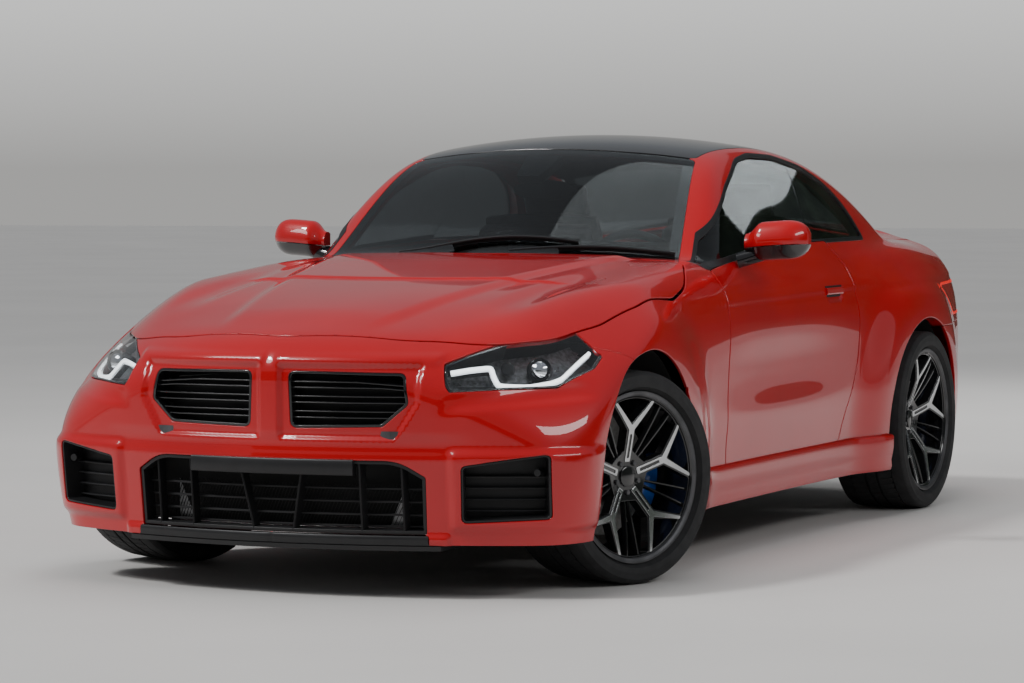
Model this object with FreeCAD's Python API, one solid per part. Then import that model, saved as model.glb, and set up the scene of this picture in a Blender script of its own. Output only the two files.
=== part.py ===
"""Two-door coupe: body shell, doors, bonnet, boot lid, cabin, axles and wheels.

Millimetres. The car stands on Z = 0 and faces -Y; +X is its left side.
The origin is on the ground below the middle of the car.
"""

import FreeCAD
import Part
import math
import os

from FreeCAD import Vector

# Overall sizes
LENGTH = 4580.0
WIDTH = 1886.0
HEIGHT = 1425.0
WHEELBASE = 2747.0
FRONT_OVERHANG = 835.0

# Wheels and tyres
TRACK_FRONT = 1617.0
TRACK_REAR = 1605.0
TYRE_RADIUS_FRONT = 337.0
TYRE_RADIUS_REAR = 339.0
TYRE_WIDTH_FRONT = 268.0
TYRE_WIDTH_REAR = 276.0
TYRE_SHOULDER = 34.0
RIM_RADIUS = 271.0
RIM_BARREL_RADIUS = 259.0
RIM_WALL = 9.0
RIM_FLANGE = 8.0
RIM_WIDTH_FRONT = 246.0
RIM_WIDTH_REAR = 258.0
HUB_RADIUS = 72.0
HUB_SEAT = 18.0
HUB_CAP_RADIUS = 34.0
HUB_CAP_DEPTH = 5.0
SIDEWALL = 14.0
SIDEWALL_BULGE = 7.0
TREAD_CROWN = 3.0
SPOKE_COUNT = 5
SPOKE_DEPTH = 30.0
SPOKE_WIDTH = 17.0
SPOKE_SLOT = 15.0
SPOKE_FORK_RADIUS = 150.0
SPOKE_SPREAD = 78.0
RIB_WIDTH = 9.0
DISH_FRONT = 34.0
DISH_REAR = 58.0
DISC_RADIUS = 190.0
DISC_THICKNESS = 34.0
DISC_HAT_RADIUS = 96.0
DISC_HAT_WALL = 7.0
DISC_PLANE = -42.0
DISC_VENT = 10.0
STUB_RADIUS = 22.0
SHAFT_CLEARANCE = 0.06
STEER_PARKED = 21.0
KINGPIN_INSET = 85.0
CARRIER_RADIUS = 62.0
CARRIER_DEPTH = 46.0
CALIPER_LENGTH = 210.0
CALIPER_WALL = 27.0
CALIPER_REACH = 214.0
CALIPER_ROOT = 118.0
PAD_GAP = 4.0
RUNNING_GAP = 6.0

# Body field: where its big surfaces lie and how they round into each other
SHOULDER_BLEND = 150.0
NOSE_BLEND = 120.0
TAIL_BLEND = 150.0
CREASE_BLEND = 70.0
SILL_BLEND = 80.0
RAIL_BLEND = 90.0
WAIST_BLEND = 50.0
BELT_BLEND = 60.0
CREASE_Z = 800.0
SILL_TURN_Z = 330.0
BELT_Z = 940.0
DOOR_HOLLOW = 13.0
DOOR_HOLLOW_Z = 610.0
DOOR_HOLLOW_HEIGHT = 230.0
DOOR_HOLLOW_LENGTH = 1150.0
DOOR_HOLLOW_Y = -60.0
FLARE_FRONT = 42.0
FLARE_REAR = 44.0
FLARE_REACH = 330.0
FLARE_TOP_Z = 930.0
ARCH_RADIUS_FRONT = 397.0
ARCH_RADIUS_REAR = 390.0
ROOF_CROWN = 50.0
ROOF_HALF_WIDTH = 566.0
CABIN_Y = 150.0
CABIN_LOW_Z = 850.0
NOSE_INSET = 30.0
NOSE_SWEEP = 250.0
NOSE_TOP_Z = 690.0
NOSE_TOP_FALL = 320.0
NOSE_LEAN_LENGTH = 294.0
NOSE_LOW_Z = 420.0
TAIL_INSET = 8.0
TAIL_SWEEP = 170.0
TAIL_TOP_Z = 590.0
TAIL_LOW_Z = 505.0

# Slopes of those surfaces
SHOULDER_SLOPE_SHARE = 0.42
SILL_SLOPE_SHARE = 0.22
NOSE_TUCK_SHARE = 0.1
TAIL_LEAN_SHARE = 0.26
TAIL_TUCK_SHARE = 0.25
TUMBLE_SHARE = 0.40
TUMBLE_BOW_SHARE = 0.12
CABIN_SWEEP_SHARE = 0.35

# Walls, gaps and clearances
SKIN = 4.0
BUMPER_WALL = 7.0
FENDER_WALL = 8.0
DOOR_THICKNESS = 78.0
SIDE_WALL = 60.0
ROOF_WALL = 24.0
LID_WALL = 24.0
GLASS_WALL = 5.0
GLASS_INSET = 3.0
SHUT_GAP = 6.5
SEAM_GAP = 0.8
SEAT_GAP = 0.3
OVERRUN = 60.0

FRONT_Y = -LENGTH / 2
REAR_Y = LENGTH / 2
HALF = WIDTH / 2
AXLE_FRONT_Y = FRONT_Y + FRONT_OVERHANG
AXLE_REAR_Y = AXLE_FRONT_Y + WHEELBASE
KINGPIN_X = TRACK_FRONT / 2 - KINGPIN_INSET
SECTION_Z = HEIGHT * 0.4

# Knots of the long curves: places along the car as shares of half its length,
# sizes as shares of half its width or of its height.
HALF_WIDTH_SHARES = [(-1.0, 0.93), (-0.83, 0.955), (-0.635, 0.955), (-0.4, 0.94), (-0.15, 0.928),
                     (0.1, 0.925), (0.35, 0.936), (0.564, 0.958), (0.7, 0.945), (0.8, 0.915),
                     (0.9, 0.862), (1.0, 0.79)]
TOP_SHARES = [(-1.06, 0.48), (-1.0, 0.52), (-0.95, 0.554), (-0.85, 0.597), (-0.635, 0.649),
              (-0.45, 0.684), (-0.31, 0.709), (-0.1, 0.722), (0.25, 0.737), (0.5, 0.752),
              (0.68, 0.757), (0.82, 0.757), (0.95, 0.752), (1.0, 0.735)]
DROP_SHARES = [(-1.0, 0.133), (-0.87, 0.091), (-0.786, 0.042), (-0.7, 0.011), (-0.57, 0.004),
               (-0.44, 0.011), (-0.31, 0.025), (-0.13, 0.056), (0.13, 0.067), (0.44, 0.056),
               (0.66, 0.077), (0.87, 0.112), (1.0, 0.126)]
ROOF_SHARES = [(-0.46, 0.56), (-0.33, 0.706), (-0.25, 0.79), (-0.17, 0.877), (-0.1, 0.941),
               (-0.04, 0.974), (0.03, 0.992), (0.11, 1.0), (0.24, 0.995), (0.37, 0.975),
               (0.48, 0.94), (0.57, 0.897), (0.66, 0.84), (0.74, 0.78), (0.85, 0.68)]
BELT_WIDTH_SHARES = [(-0.4, 0.80), (-0.28, 0.815), (-0.1, 0.845), (0.1, 0.855), (0.3, 0.857),
                     (0.5, 0.83), (0.65, 0.79), (0.8, 0.71)]

# Outlines of the panels as (y, z) seen from the side, (x, y) seen from above or
# (x, z) seen from the front: shares of half the length, half the width and the height.
DOOR_SHARES = [(-0.262, 0.14), (-0.278, 0.24), (-0.279, 0.36), (-0.266, 0.52), (-0.258, 0.62),
               (-0.258, 0.672), (-0.05, 0.706), (0.19, 0.725), (0.262, 0.726), (0.30, 0.66),
               (0.302, 0.53), (0.29, 0.40), (0.235, 0.27), (0.19, 0.14)]
SIDE_GLASS_SHARES = [(-0.288, 0.672), (-0.05, 0.706), (0.19, 0.725), (0.475, 0.7255), (0.452, 0.80),
                     (0.40, 0.868), (0.32, 0.916), (0.22, 0.943), (0.12, 0.948), (0.05, 0.934),
                     (-0.05, 0.869), (-0.14, 0.794)]
GLASS_SEAM_SHARES = [(0.183, 0.68), (0.283, 1.0)]
BONNET_SHARES = [(0.0, -0.944), (0.41, -0.917), (0.66, -0.868), (0.80, -0.79), (0.872, -0.70),
                 (0.904, -0.60), (0.905, -0.47), (0.882, -0.40), (0.79, -0.315), (0.735, -0.303),
                 (0.45, -0.329), (0.0, -0.349)]
LAMP_SHARES = [(0.566, 0.503), (0.671, 0.539), (0.823, 0.5655), (0.845, 0.566), (0.914, 0.535),
               (0.930, 0.517), (0.932, 0.485), (0.876, 0.4505), (0.751, 0.449), (0.601, 0.4435),
               (0.5875, 0.455), (0.567, 0.4975)]
KIDNEY_SHARES = [(0.066, 0.488), (0.462, 0.488), (0.476, 0.416), (0.390, 0.368), (0.074, 0.363)]
KIDNEY_SLAT_SHARES = [0.393, 0.425, 0.457]
LOWER_INTAKE_SHARES = [(0.442, 0.297), (0.529, 0.262), (0.525, 0.138), (-0.525, 0.138), (-0.529, 0.262),
                       (-0.442, 0.297)]
FIN_SHARES = [(0.455, 0.455), (0.315, 0.315), (0.122, 0.072)]
PLATE_BAR_SHARES = [(0.295, 0.300), (0.295, 0.262), (-0.295, 0.262), (-0.295, 0.300)]
SIDE_INTAKE_SHARES = [(0.640, 0.288), (0.905, 0.314), (0.900, 0.174), (0.634, 0.165)]
WINDSCREEN_SHARES = [(0.0, -0.336), (0.42, -0.314), (0.715, -0.262), (0.575, -0.043), (0.30, -0.060),
                     (0.0, -0.066)]
ROOF_PLAN_SHARES = [(0.0, -0.064), (0.30, -0.058), (0.57, -0.041), (0.585, 0.10), (0.575, 0.30),
                    (0.535, 0.475), (0.27, 0.492), (0.0, 0.497)]
REAR_WINDOW_SHARES = [(0.0, 0.499), (0.27, 0.494), (0.53, 0.478), (0.645, 0.715), (0.33, 0.742), (0.0, 0.748)]
BOOT_SHARES = [(0.0, 0.752), (0.33, 0.746), (0.615, 0.722), (0.66, 0.80), (0.655, 0.90), (0.60, 1.02),
               (0.0, 1.02)]
BOOT_REAR_SHARES = [(0.68, 1.0), (0.68, 0.625), (0.60, 0.622), (0.455, 0.612), (0.44, 0.505),
                    (0.41, 0.49), (0.0, 0.485)]
TAIL_LAMP_SHARES = [(0.47, 0.605), (0.62, 0.615), (0.80, 0.612), (0.99, 0.605), (0.99, 0.49), (0.86, 0.495),
                    (0.62, 0.498), (0.46, 0.51)]
TAIL_LAMP_SIDE_SHARES = [(0.685, 0.592), (0.71, 0.60), (0.80, 0.63), (1.06, 0.66), (1.06, 0.46), (0.83, 0.47)]
DIFFUSER_SHARES = [(0.60, 0.265), (0.66, 0.20), (0.70, 0.125), (-0.70, 0.125), (-0.66, 0.20), (-0.60, 0.265)]
FENDER_SHARES = [(-0.748, 0.75), (-0.748, 0.527), (-0.70, 0.508), (-0.655, 0.42), (-0.50, 0.42),
                 (-0.50, 0.10), (-0.268, 0.10), (-0.268, 0.24), (-0.25, 0.27), (-0.25, 0.69), (-0.315, 0.70),
                 (-0.315, 0.75)]

# Seams between fixed panels at the tail
TAIL_SEAM_Y = 1950.0
TAIL_LAMP_WRAP = 410.0
BUMPER_SEAM_Z = 690.0
LAMP_DEPTH = 100.0
LAMP_INSET = 2.0
GRILLE_INSET = 22.0
GRILLE_DEPTH = 40.0
GRILLE_FRAME = 9.0
SLAT_HEIGHT = 13.0
SLAT_PITCH = 19.0
FIN_WIDTH = 9.0
SCREEN_INSET = 70.0
SCREEN_WALL = 8.0
BLADE_HEIGHT = 8.0
SPLITTER_OUT = 16.0
SPLITTER_WIDTH = 150.0
SPLITTER_WALL = 14.0
SPLITTER_Z = 150.0
SPLITTER_HALF = 540.0
BUMPER_LOW_Z = 165.0
SKIRT_OUT = 14.0
SKIRT_HEIGHT = 128.0
SKIRT_WIDTH = 190.0
DIFFUSER_INSET = 12.0

FENDER_SEAM_Y = -1712.0
FENDER_END_Y = -560.0
BONNET_END_Y = -640.0
LID_LOW_ANGLE = 14.0
BOOT_AXIS_Y = 1880.0
BOOT_AXIS_Z = 760.0
BOOT_HINGE_Y = 1722.0
BOOT_HINGE_Z = 1078.0
BOOT_SWING_ANGLES = (15.0, 25.0, 37.5, 50.0, 62.5, 75.0, 78.0)
BOOT_LOW_ANGLE = 14.0
BOOT_HALF = 680.0
BOOT_LOW_Z = BOOT_REAR_SHARES[-1][1] * HEIGHT
TAIL_PANEL_TOP_Z = 1010.0
SKIRT_Z = 300.0
DOOR_INNER_X = 700.0
DOOR_FLANGE = 24.0
DOOR_STEP = 14.0
PILLAR_WIDTH = 46.0
NOSE_LIP = 120.0
LAMP_LOW_Z = 600.0
LAMP_TOP_Z = 830.0
GRILLE_LOW_Z = 480.0
LOWER_LOW_Z = 180.0
LOWER_TOP_Z = 450.0
DOOR_GLASS_FRONT_Y = -592.0
QUARTER_END_Y = 1130.0
GLASS_LOW_ANGLE = 24.0
GLASS_HIGH_ANGLE = 62.0

TAIL_LAMP_LOW_Z = 690.0
TAIL_LAMP_HIGH_Z = 890.0
TAIL_LAMP_DEPTH = 70.0
FLOOR_FRONT_Y = -1750.0
KICK_Y = 1040.0
LOAD_FLOOR_Z = 390.0
DOOR_AXIS_X = 842.0
DOOR_AXIS_Y = -490.0
HINGE_BEND_X = 712.0
HINGE_BEND_Y = -515.0
HINGE_LOW_Z = 400.0
HINGE_HIGH_Z = 730.0
HINGE_POCKET = 50.0
HINGE_STRAP = 30.0
HINGE_PIN = 8.0
POST_REAR_Y = -616.0
RAIL_X = 428.0
RAIL_WIDTH = 64.0
RAIL_Z = 500.0
RAIL_HEIGHT = 80.0
RAIL_FRONT_Y = -2150.0
BEAM_HALF = 560.0
BEAM_DEPTH = 60.0
SCUTTLE_DEPTH = 60.0
SCUTTLE_Z = 900.0
HINGE_POST_TOP_Z = 880.0
SHELF_END_Y = 1640.0
LINER_GAP = 12.0
LINER_WALL = 4.0
LINER_INNER_FRONT_X = 470.0
LINER_WINDOW = 270.0
LINER_OUTER_X = 880.0
HOOD_RISE = 45.0
SUBFRAME_REACH = 190.0
DRIVE_HALF = 120.0
EXHAUST_END_Y = 2235.0

SIDE_FRONT_Y = -720.0
SIDE_REAR_Y = 2130.0
DOOR_REAR_Y = 800.0
ROOF_FRONT_Y = -170.0
ROOF_REAR_Y = 1160.0
SCREEN_LOW_Y = -800.0
SCREEN_HIGH_Y = -80.0
BACKLIGHT_HIGH_Y = 1060.0
BACKLIGHT_LOW_Y = 1760.0

# Cabin and load space
SILL_INNER_X = 745.0
FLOOR_Z = 165.0
FLOOR_WALL = 22.0
CABIN_FRONT_Y = -735.0
SEAT_WALL_Y = 1190.0
BULKHEAD_WALL = 14.0
SHELF_Z = 985.0
LOAD_END_Y = 2110.0
TUNNEL_WIDTH = 250.0
TUNNEL_HEIGHT = 190.0
DASH_DEPTH = 400.0
DASH_TOP_Z = 968.0
DASH_LOW_Z = 610.0
CONSOLE_WIDTH = 220.0
CONSOLE_TOP_Z = 560.0
SEAT_X = 375.0
SEAT_WIDTH = 500.0
SEAT_FRONT_Y = -20.0
SEAT_BACK_Y = 520.0
SEAT_CUSHION_Z = 520.0
SEAT_TOP_Z = 1120.0
HEADREST_TOP_Z = 1245.0
SEAT_THICKNESS = 130.0
SEAT_RAIL = 34.0
BENCH_FRONT_Y = 790.0
BENCH_Z = 540.0
BENCH_TOP_Z = 960.0
BENCH_WIDTH = 1120.0
STEERING_RADIUS = 184.0
STEERING_RIM = 15.0
STEERING_Y = -215.0
STEERING_Z = 905.0
STEERING_TILT = 24.0
COLUMN_RADIUS = 34.0

# Wheel carriers and what hangs them
SUBFRAME_Z = 216.0
SUBFRAME_TUBE = 52.0
SUBFRAME_HALF = 340.0
ARM_TUBE = 30.0
BALL_Z = 225.0
UPPER_BALL_Z = 460.0
EYE_RADIUS = 20.0
EYE_DEPTH = 26.0

# Engine, radiator and exhaust
ENGINE_LENGTH = 760.0
ENGINE_WIDTH = 430.0
ENGINE_HEIGHT = 560.0
ENGINE_Z = 250.0
ENGINE_FRONT_Y = -1930.0
RADIATOR_DEPTH = 60.0
RADIATOR_Y = -2110.0
RADIATOR_Z = 200.0
RADIATOR_HEIGHT = 500.0
PIPE_RADIUS = 34.0
PIPE_X = 52.0
PIPE_Z = 195.0
PIPE_START_Y = -1225.0
TIP_RADIUS = 50.0
TIP_WALL = 3.0
TIP_LENGTH = 130.0
TIP_SPACING = 120.0
TIP_X = 270.0
TIP_Z = 255.0
SILENCER_HEIGHT = 170.0
SILENCER_DEPTH = 270.0
SILENCER_WIDTH = 980.0

# Mirrors
MIRROR_TIP_X = 1031.0
MIRROR_ROOT_X = 850.0
MIRROR_Y = -300.0
MIRROR_Z = 1050.0
MIRROR_DEPTH = 118.0
MIRROR_HEIGHT = 138.0
MIRROR_STALK = 52.0


class Curve:
    """A natural cubic spline through knots, straight past its ends."""

    def __init__(self, knots, x_size, y_size):
        self.x = [k[0] * x_size for k in knots]
        self.y = [k[1] * y_size for k in knots]
        count = len(knots)
        self.m = [0.0] * count
        ratio = [0.0] * count
        rest = [0.0] * count
        for i in range(1, count - 1):
            before = self.x[i] - self.x[i - 1]
            after = self.x[i + 1] - self.x[i]
            bend = 6 * ((self.y[i + 1] - self.y[i]) / after - (self.y[i] - self.y[i - 1]) / before)
            pivot = 2 * (before + after) - before * ratio[i - 1]
            ratio[i] = after / pivot
            rest[i] = (bend - before * rest[i - 1]) / pivot
        for i in range(count - 2, 0, -1):
            self.m[i] = rest[i] - ratio[i] * self.m[i + 1]

    def __call__(self, at):
        x, y, m = self.x, self.y, self.m
        inside = min(max(at, x[0]), x[-1])
        i = 0
        while i < len(x) - 2 and inside > x[i + 1]:
            i += 1
        h = x[i + 1] - x[i]
        a = (x[i + 1] - inside) / h
        b = (inside - x[i]) / h
        value = a * y[i] + b * y[i + 1] + ((a ** 3 - a) * m[i] + (b ** 3 - b) * m[i + 1]) * h * h / 6
        if at > inside:
            value += ((y[i + 1] - y[i]) / h + h / 6 * (2 * m[i + 1] + m[i])) * (at - inside)
        if at < inside:
            value += ((y[i + 1] - y[i]) / h - h / 6 * (2 * m[i] + m[i + 1])) * (at - inside)
        return value


half_width_at = Curve(HALF_WIDTH_SHARES, LENGTH / 2, HALF)
top_at = Curve(TOP_SHARES, LENGTH / 2, HEIGHT)
drop_at = Curve(DROP_SHARES, LENGTH / 2, HEIGHT)
roof_at = Curve(ROOF_SHARES, LENGTH / 2, HEIGHT)
belt_width_at = Curve(BELT_WIDTH_SHARES, LENGTH / 2, HALF)


def smooth_min(a, b, blend):
    """The lesser of two lengths, rounded over where they are within blend of each other."""
    h = max(blend - abs(a - b), 0.0) / blend
    return min(a, b) - h * h * h * blend / 6


def smooth_max(a, b, blend):
    return -smooth_min(-a, -b, blend)


def step(t):
    """0 below 0, 1 above 1, and a smooth rise between them."""
    t = min(max(t, 0.0), 1.0)
    return t * t * t * (t * (6 * t - 15) + 10)


def bell(t):
    """1 at 0, falling smoothly to 0 at -1 and 1."""
    return 1 - step(abs(t))


def flare(y, z, axle_y, radius, arch, rise):
    """How far a wheel arch's flare stands out of the body side."""
    past = (math.hypot(y - axle_y, z - radius) - arch) / FLARE_REACH
    return rise * (1 - step(past)) * (1 - step((z - CREASE_Z) / (FLARE_TOP_Z - CREASE_Z)))


def side_at(y, z):
    """Half width of the lower body."""
    x = half_width_at(y)
    x -= DOOR_HOLLOW * bell((z - DOOR_HOLLOW_Z) / DOOR_HOLLOW_HEIGHT) * bell(
        (y - DOOR_HOLLOW_Y) / DOOR_HOLLOW_LENGTH)
    x = smooth_min(x, x - SHOULDER_SLOPE_SHARE * (z - CREASE_Z), CREASE_BLEND)
    x = smooth_min(x, x + SILL_SLOPE_SHARE * (z - SILL_TURN_Z), SILL_BLEND)
    x += flare(y, z, AXLE_FRONT_Y, TYRE_RADIUS_FRONT, ARCH_RADIUS_FRONT, FLARE_FRONT)
    x += flare(y, z, AXLE_REAR_Y, TYRE_RADIUS_REAR, ARCH_RADIUS_REAR, FLARE_REAR)
    return x


def deck_at(x, y):
    """Height of the bonnet, waist and boot surface."""
    return top_at(y) - drop_at(y) * (x / HALF) ** 2


def nose_at(x, z):
    """Place of the front face along the car."""
    across = (x / HALF) ** 2
    lean = max(z - NOSE_TOP_Z + NOSE_TOP_FALL * across, 0.0)
    tuck = max(NOSE_LOW_Z - z, 0.0)
    return FRONT_Y + NOSE_INSET + NOSE_SWEEP * across + lean * lean / NOSE_LEAN_LENGTH + NOSE_TUCK_SHARE * tuck


def tail_at(x, z):
    """Place of the rear face along the car."""
    lean = max(z - TAIL_TOP_Z, 0.0)
    tuck = max(TAIL_LOW_Z - z, 0.0)
    return REAR_Y - TAIL_INSET - TAIL_SWEEP * (x / HALF) ** 2 - TAIL_LEAN_SHARE * lean - TAIL_TUCK_SHARE * tuck


def body_field(x, y, z):
    """Above 0 inside the lower body."""
    x = abs(x)
    inside = smooth_min(side_at(y, z) - x, deck_at(x, y) - z, SHOULDER_BLEND)
    inside = smooth_min(inside, y - nose_at(x, z), NOSE_BLEND)
    return smooth_min(inside, tail_at(x, z) - y, TAIL_BLEND)


def cabin_field(x, y, z):
    """Above 0 inside the glass house."""
    x = abs(x)
    up = smooth_max(z - BELT_Z, 0.0, BELT_BLEND)
    side = belt_width_at(y) - TUMBLE_SHARE * up - TUMBLE_BOW_SHARE * up * up / (HEIGHT - BELT_Z)
    along = CABIN_Y + (y - CABIN_Y) * (1 + CABIN_SWEEP_SHARE * (x / HALF) ** 2)
    roof = roof_at(along) - ROOF_CROWN * (x / ROOF_HALF_WIDTH) ** 2
    return min(smooth_min(side - x, roof - z, RAIL_BLEND), z - CABIN_LOW_Z)


def car_field(x, y, z):
    return smooth_max(body_field(x, y, z), cabin_field(x, y, z), WAIST_BLEND)


def reach(start, way):
    """How far a ray from inside runs until it leaves the car."""
    low = 0.0
    high = LENGTH
    for _ in range(30):
        middle = (low + high) / 2
        if car_field(start.x + way.x * middle, start.y + way.y * middle, start.z + way.z * middle) > 0:
            low = middle
        else:
            high = middle
    return low


def span(low, high, count):
    return [low + (high - low) * i / (count - 1) for i in range(count)]


def section_rays(y_low, y_high, along, angle_low, angle_high, around):
    """Rays across the car from its long axis. Angle 0 points to the left, 90 up."""
    return [[(Vector(0, y, SECTION_Z), Vector(math.cos(math.radians(a)), 0, math.sin(math.radians(a))))
             for y in span(y_low, y_high, along)] for a in span(angle_low, angle_high, around)]


def corner_rays(axis_y, angle_low, angle_high, around, z_low, z_high, up):
    """Level rays from an upright axis. Angle 0 points to the left, -90 to the front."""
    return [[(Vector(0, axis_y, z), Vector(math.cos(math.radians(a)), math.sin(math.radians(a)), 0))
             for z in span(z_low, z_high, up)] for a in span(angle_low, angle_high, around)]


def roll_rays(axis_y, axis_z, angle_low, angle_high, around, x_low, x_high, across):
    """Rays in upright planes along the car. Angle 0 points to the rear, 90 up."""
    return [[(Vector(x, axis_y, axis_z), Vector(0, math.cos(math.radians(a)), math.sin(math.radians(a))))
             for x in span(x_low, x_high, across)] for a in span(angle_low, angle_high, around)]


def wall(rays, thickness, inset=0.0):
    """A closed sheet that lies along the car's outer surface."""
    outer = []
    inner = []
    for row in rays:
        depths = [reach(start, way) - inset for start, way in row]
        outer.append([start + way * depth for (start, way), depth in zip(row, depths)])
        inner.append([start + way * (depth - thickness) for (start, way), depth in zip(row, depths)])
    skins = []
    for rows in (outer, inner):
        skin = Part.BSplineSurface()
        skin.interpolate(rows)
        skins.append(skin)
    edges = [[skin.uIso(skin.bounds()[0]), skin.uIso(skin.bounds()[1]),
              skin.vIso(skin.bounds()[2]), skin.vIso(skin.bounds()[3])] for skin in skins]
    faces = [skin.toShape() for skin in skins]
    faces += [Part.makeRuledSurface(a.toShape(), b.toShape()) for a, b in zip(*edges)]
    shell = Part.makeShell(faces)
    shell.sewShape()
    solid = Part.makeSolid(shell)
    if solid.Volume < 0:
        solid.reverse()
    return solid


def side_place(a, b, depth):
    return Vector(depth, a, b)


def top_place(a, b, depth):
    return Vector(a, b, depth)


def front_place(a, b, depth):
    return Vector(a, depth, b)


def scaled(shares, a_size, b_size):
    return [(a * a_size, b * b_size) for a, b in shares]


def side_points(shares):
    return scaled(shares, LENGTH / 2, HEIGHT)


def top_points(shares):
    """A full outline from its left half, which starts and ends on the middle line."""
    left = scaled(shares, HALF, LENGTH / 2)
    return left + [(-a, b) for a, b in left[-2:0:-1]]


def front_points(shares):
    return scaled(shares, HALF, HEIGHT)


def prism(points, place, low, high, radius=0.0, grow=0.0):
    """A straight block over an outline, its corners rounded and its edge moved outwards."""
    corners = [place(a, b, low) for a, b in points]
    edges = []
    if radius:
        ends = []
        for i, corner in enumerate(corners):
            before = corners[i - 1] - corner
            after = corners[(i + 1) % len(corners)] - corner
            turn = math.pi - before.getAngle(after)
            if turn < math.radians(3):
                ends.append((corner, corner))
                continue
            cut = min(radius * math.tan(turn / 2), before.Length * 0.45, after.Length * 0.45)
            start = corner + before.normalize() * cut
            end = corner + after.normalize() * cut
            ends.append((start, end))
            middle = (start + end) / 2
            bulge = cut / math.tan(turn / 2) * (1 / math.cos(turn / 2) - 1)
            arc_middle = corner + (middle - corner).normalize() * bulge
            edges.append(Part.Arc(start, arc_middle, end).toShape())
        for i, (start, end) in enumerate(ends):
            follow = ends[(i + 1) % len(ends)][0]
            if (follow - end).Length > SEAT_GAP:
                edges.append(Part.makeLine(end, follow))
        wire = Part.Wire(Part.__sortEdges__(edges))
    else:
        wire = Part.makePolygon(corners + corners[:1])
    if grow:
        wire = wire.makeOffset2D(grow, 2)
    way = place(0.0, 0.0, high) - place(0.0, 0.0, low)
    return Part.Face(wire).extrude(way)


def box(x_low, x_high, y_low, y_high, z_low, z_high):
    return Part.makeBox(x_high - x_low, y_high - y_low, z_high - z_low, Vector(x_low, y_low, z_low))


def mirrored(shape):
    return shape.mirror(Vector(0, 0, 0), Vector(1, 0, 0))


def both(shape):
    """A left piece and its right twin."""
    return Part.makeCompound(shape.Solids + mirrored(shape).Solids)


def biggest(shape):
    return max(shape.Solids, key=lambda s: s.Volume)


def rod(start, end, radius):
    way = end - start
    return Part.makeCylinder(radius, way.Length, start, way)


def arch_block(axle_y, radius, arch, x_low, x_high):
    """The round hole of a wheel arch, open below."""
    hole = Part.makeCylinder(arch, x_high - x_low, Vector(x_low, axle_y, radius), Vector(1, 0, 0))
    return hole.fuse(box(x_low, x_high, axle_y - arch, axle_y + arch, -OVERRUN, radius))


def save(name, shape):
    solids = shape.Solids
    shape = solids[0] if len(solids) == 1 else Part.makeCompound(solids)
    faulty = [s for s in solids if not s.isValid() or s.Volume <= 0]
    print(name, len(solids), round(shape.Volume / 1e6, 2), "FAULTY" if faulty or not solids else "")
    shape.exportStep(os.path.join("parts", name + ".step"))


def side_prism(shares, radius=0.0, grow=0.0):
    return prism(side_points(shares), side_place, SEAT_X, HALF + OVERRUN, radius, grow)


def top_prism(shares, grow=0.0, low=SECTION_Z):
    return prism(top_points(shares), top_place, low, HEIGHT + OVERRUN, SHUT_GAP * 5, grow)


def front_prism(shares, radius=0.0, grow=0.0):
    return prism(front_points(shares), front_place, FRONT_Y - OVERRUN, FENDER_SEAM_Y, radius, grow)


def rear_prism(shares, radius=0.0, grow=0.0):
    return prism(front_points(shares), front_place, TAIL_SEAM_Y - TAIL_LAMP_WRAP, REAR_Y + OVERRUN,
                 radius, grow)


def below(z):
    return box(-WIDTH, WIDTH, -LENGTH, LENGTH, -OVERRUN, z)


def window_block(grow):
    """The side window's opening, which leaves the windscreen pillar its width."""
    return side_prism(SIDE_GLASS_SHARES, SHUT_GAP * 3, grow).cut(top_prism(WINDSCREEN_SHARES,
                                                                           PILLAR_WIDTH - grow))


def tail_lamp_block(grow):
    """The tail lamp's outline from behind and from the side at once."""
    return rear_prism(TAIL_LAMP_SHARES, SHUT_GAP, grow).common(side_prism(TAIL_LAMP_SIDE_SHARES,
                                                                          SHUT_GAP, grow))


def make_body_side(shell, lamp_hole):
    """The left frame in one piece: pillars, roof rail and rear quarter."""
    side = shell.cut(side_prism(DOOR_SHARES, SHUT_GAP * 5, SHUT_GAP))
    side = side.cut(window_block(0.0)).cut(lamp_hole)
    side = side.cut(arch_block(AXLE_REAR_Y, TYRE_RADIUS_REAR, ARCH_RADIUS_REAR, SEAT_X, WIDTH))
    side = side.cut(top_prism(ROOF_PLAN_SHARES, SEAM_GAP / 2))
    side = side.cut(top_prism(WINDSCREEN_SHARES, SEAM_GAP / 2))
    side = side.cut(top_prism(REAR_WINDOW_SHARES, SEAM_GAP / 2))
    side = side.cut(top_prism(BOOT_SHARES, SHUT_GAP))
    side = side.cut(top_prism(BONNET_SHARES, SHUT_GAP))
    side = side.cut(side_prism(FENDER_SHARES, 0.0, SEAM_GAP))
    side = side.cut(box(-WIDTH, WIDTH, AXLE_REAR_Y, LENGTH, -OVERRUN, BUMPER_SEAM_Z + SEAM_GAP))
    side = side.cut(box(-WIDTH, WIDTH, TAIL_SEAM_Y, LENGTH, -OVERRUN, HEIGHT))
    return biggest(side.cut(below(SKIRT_Z)))


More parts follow.
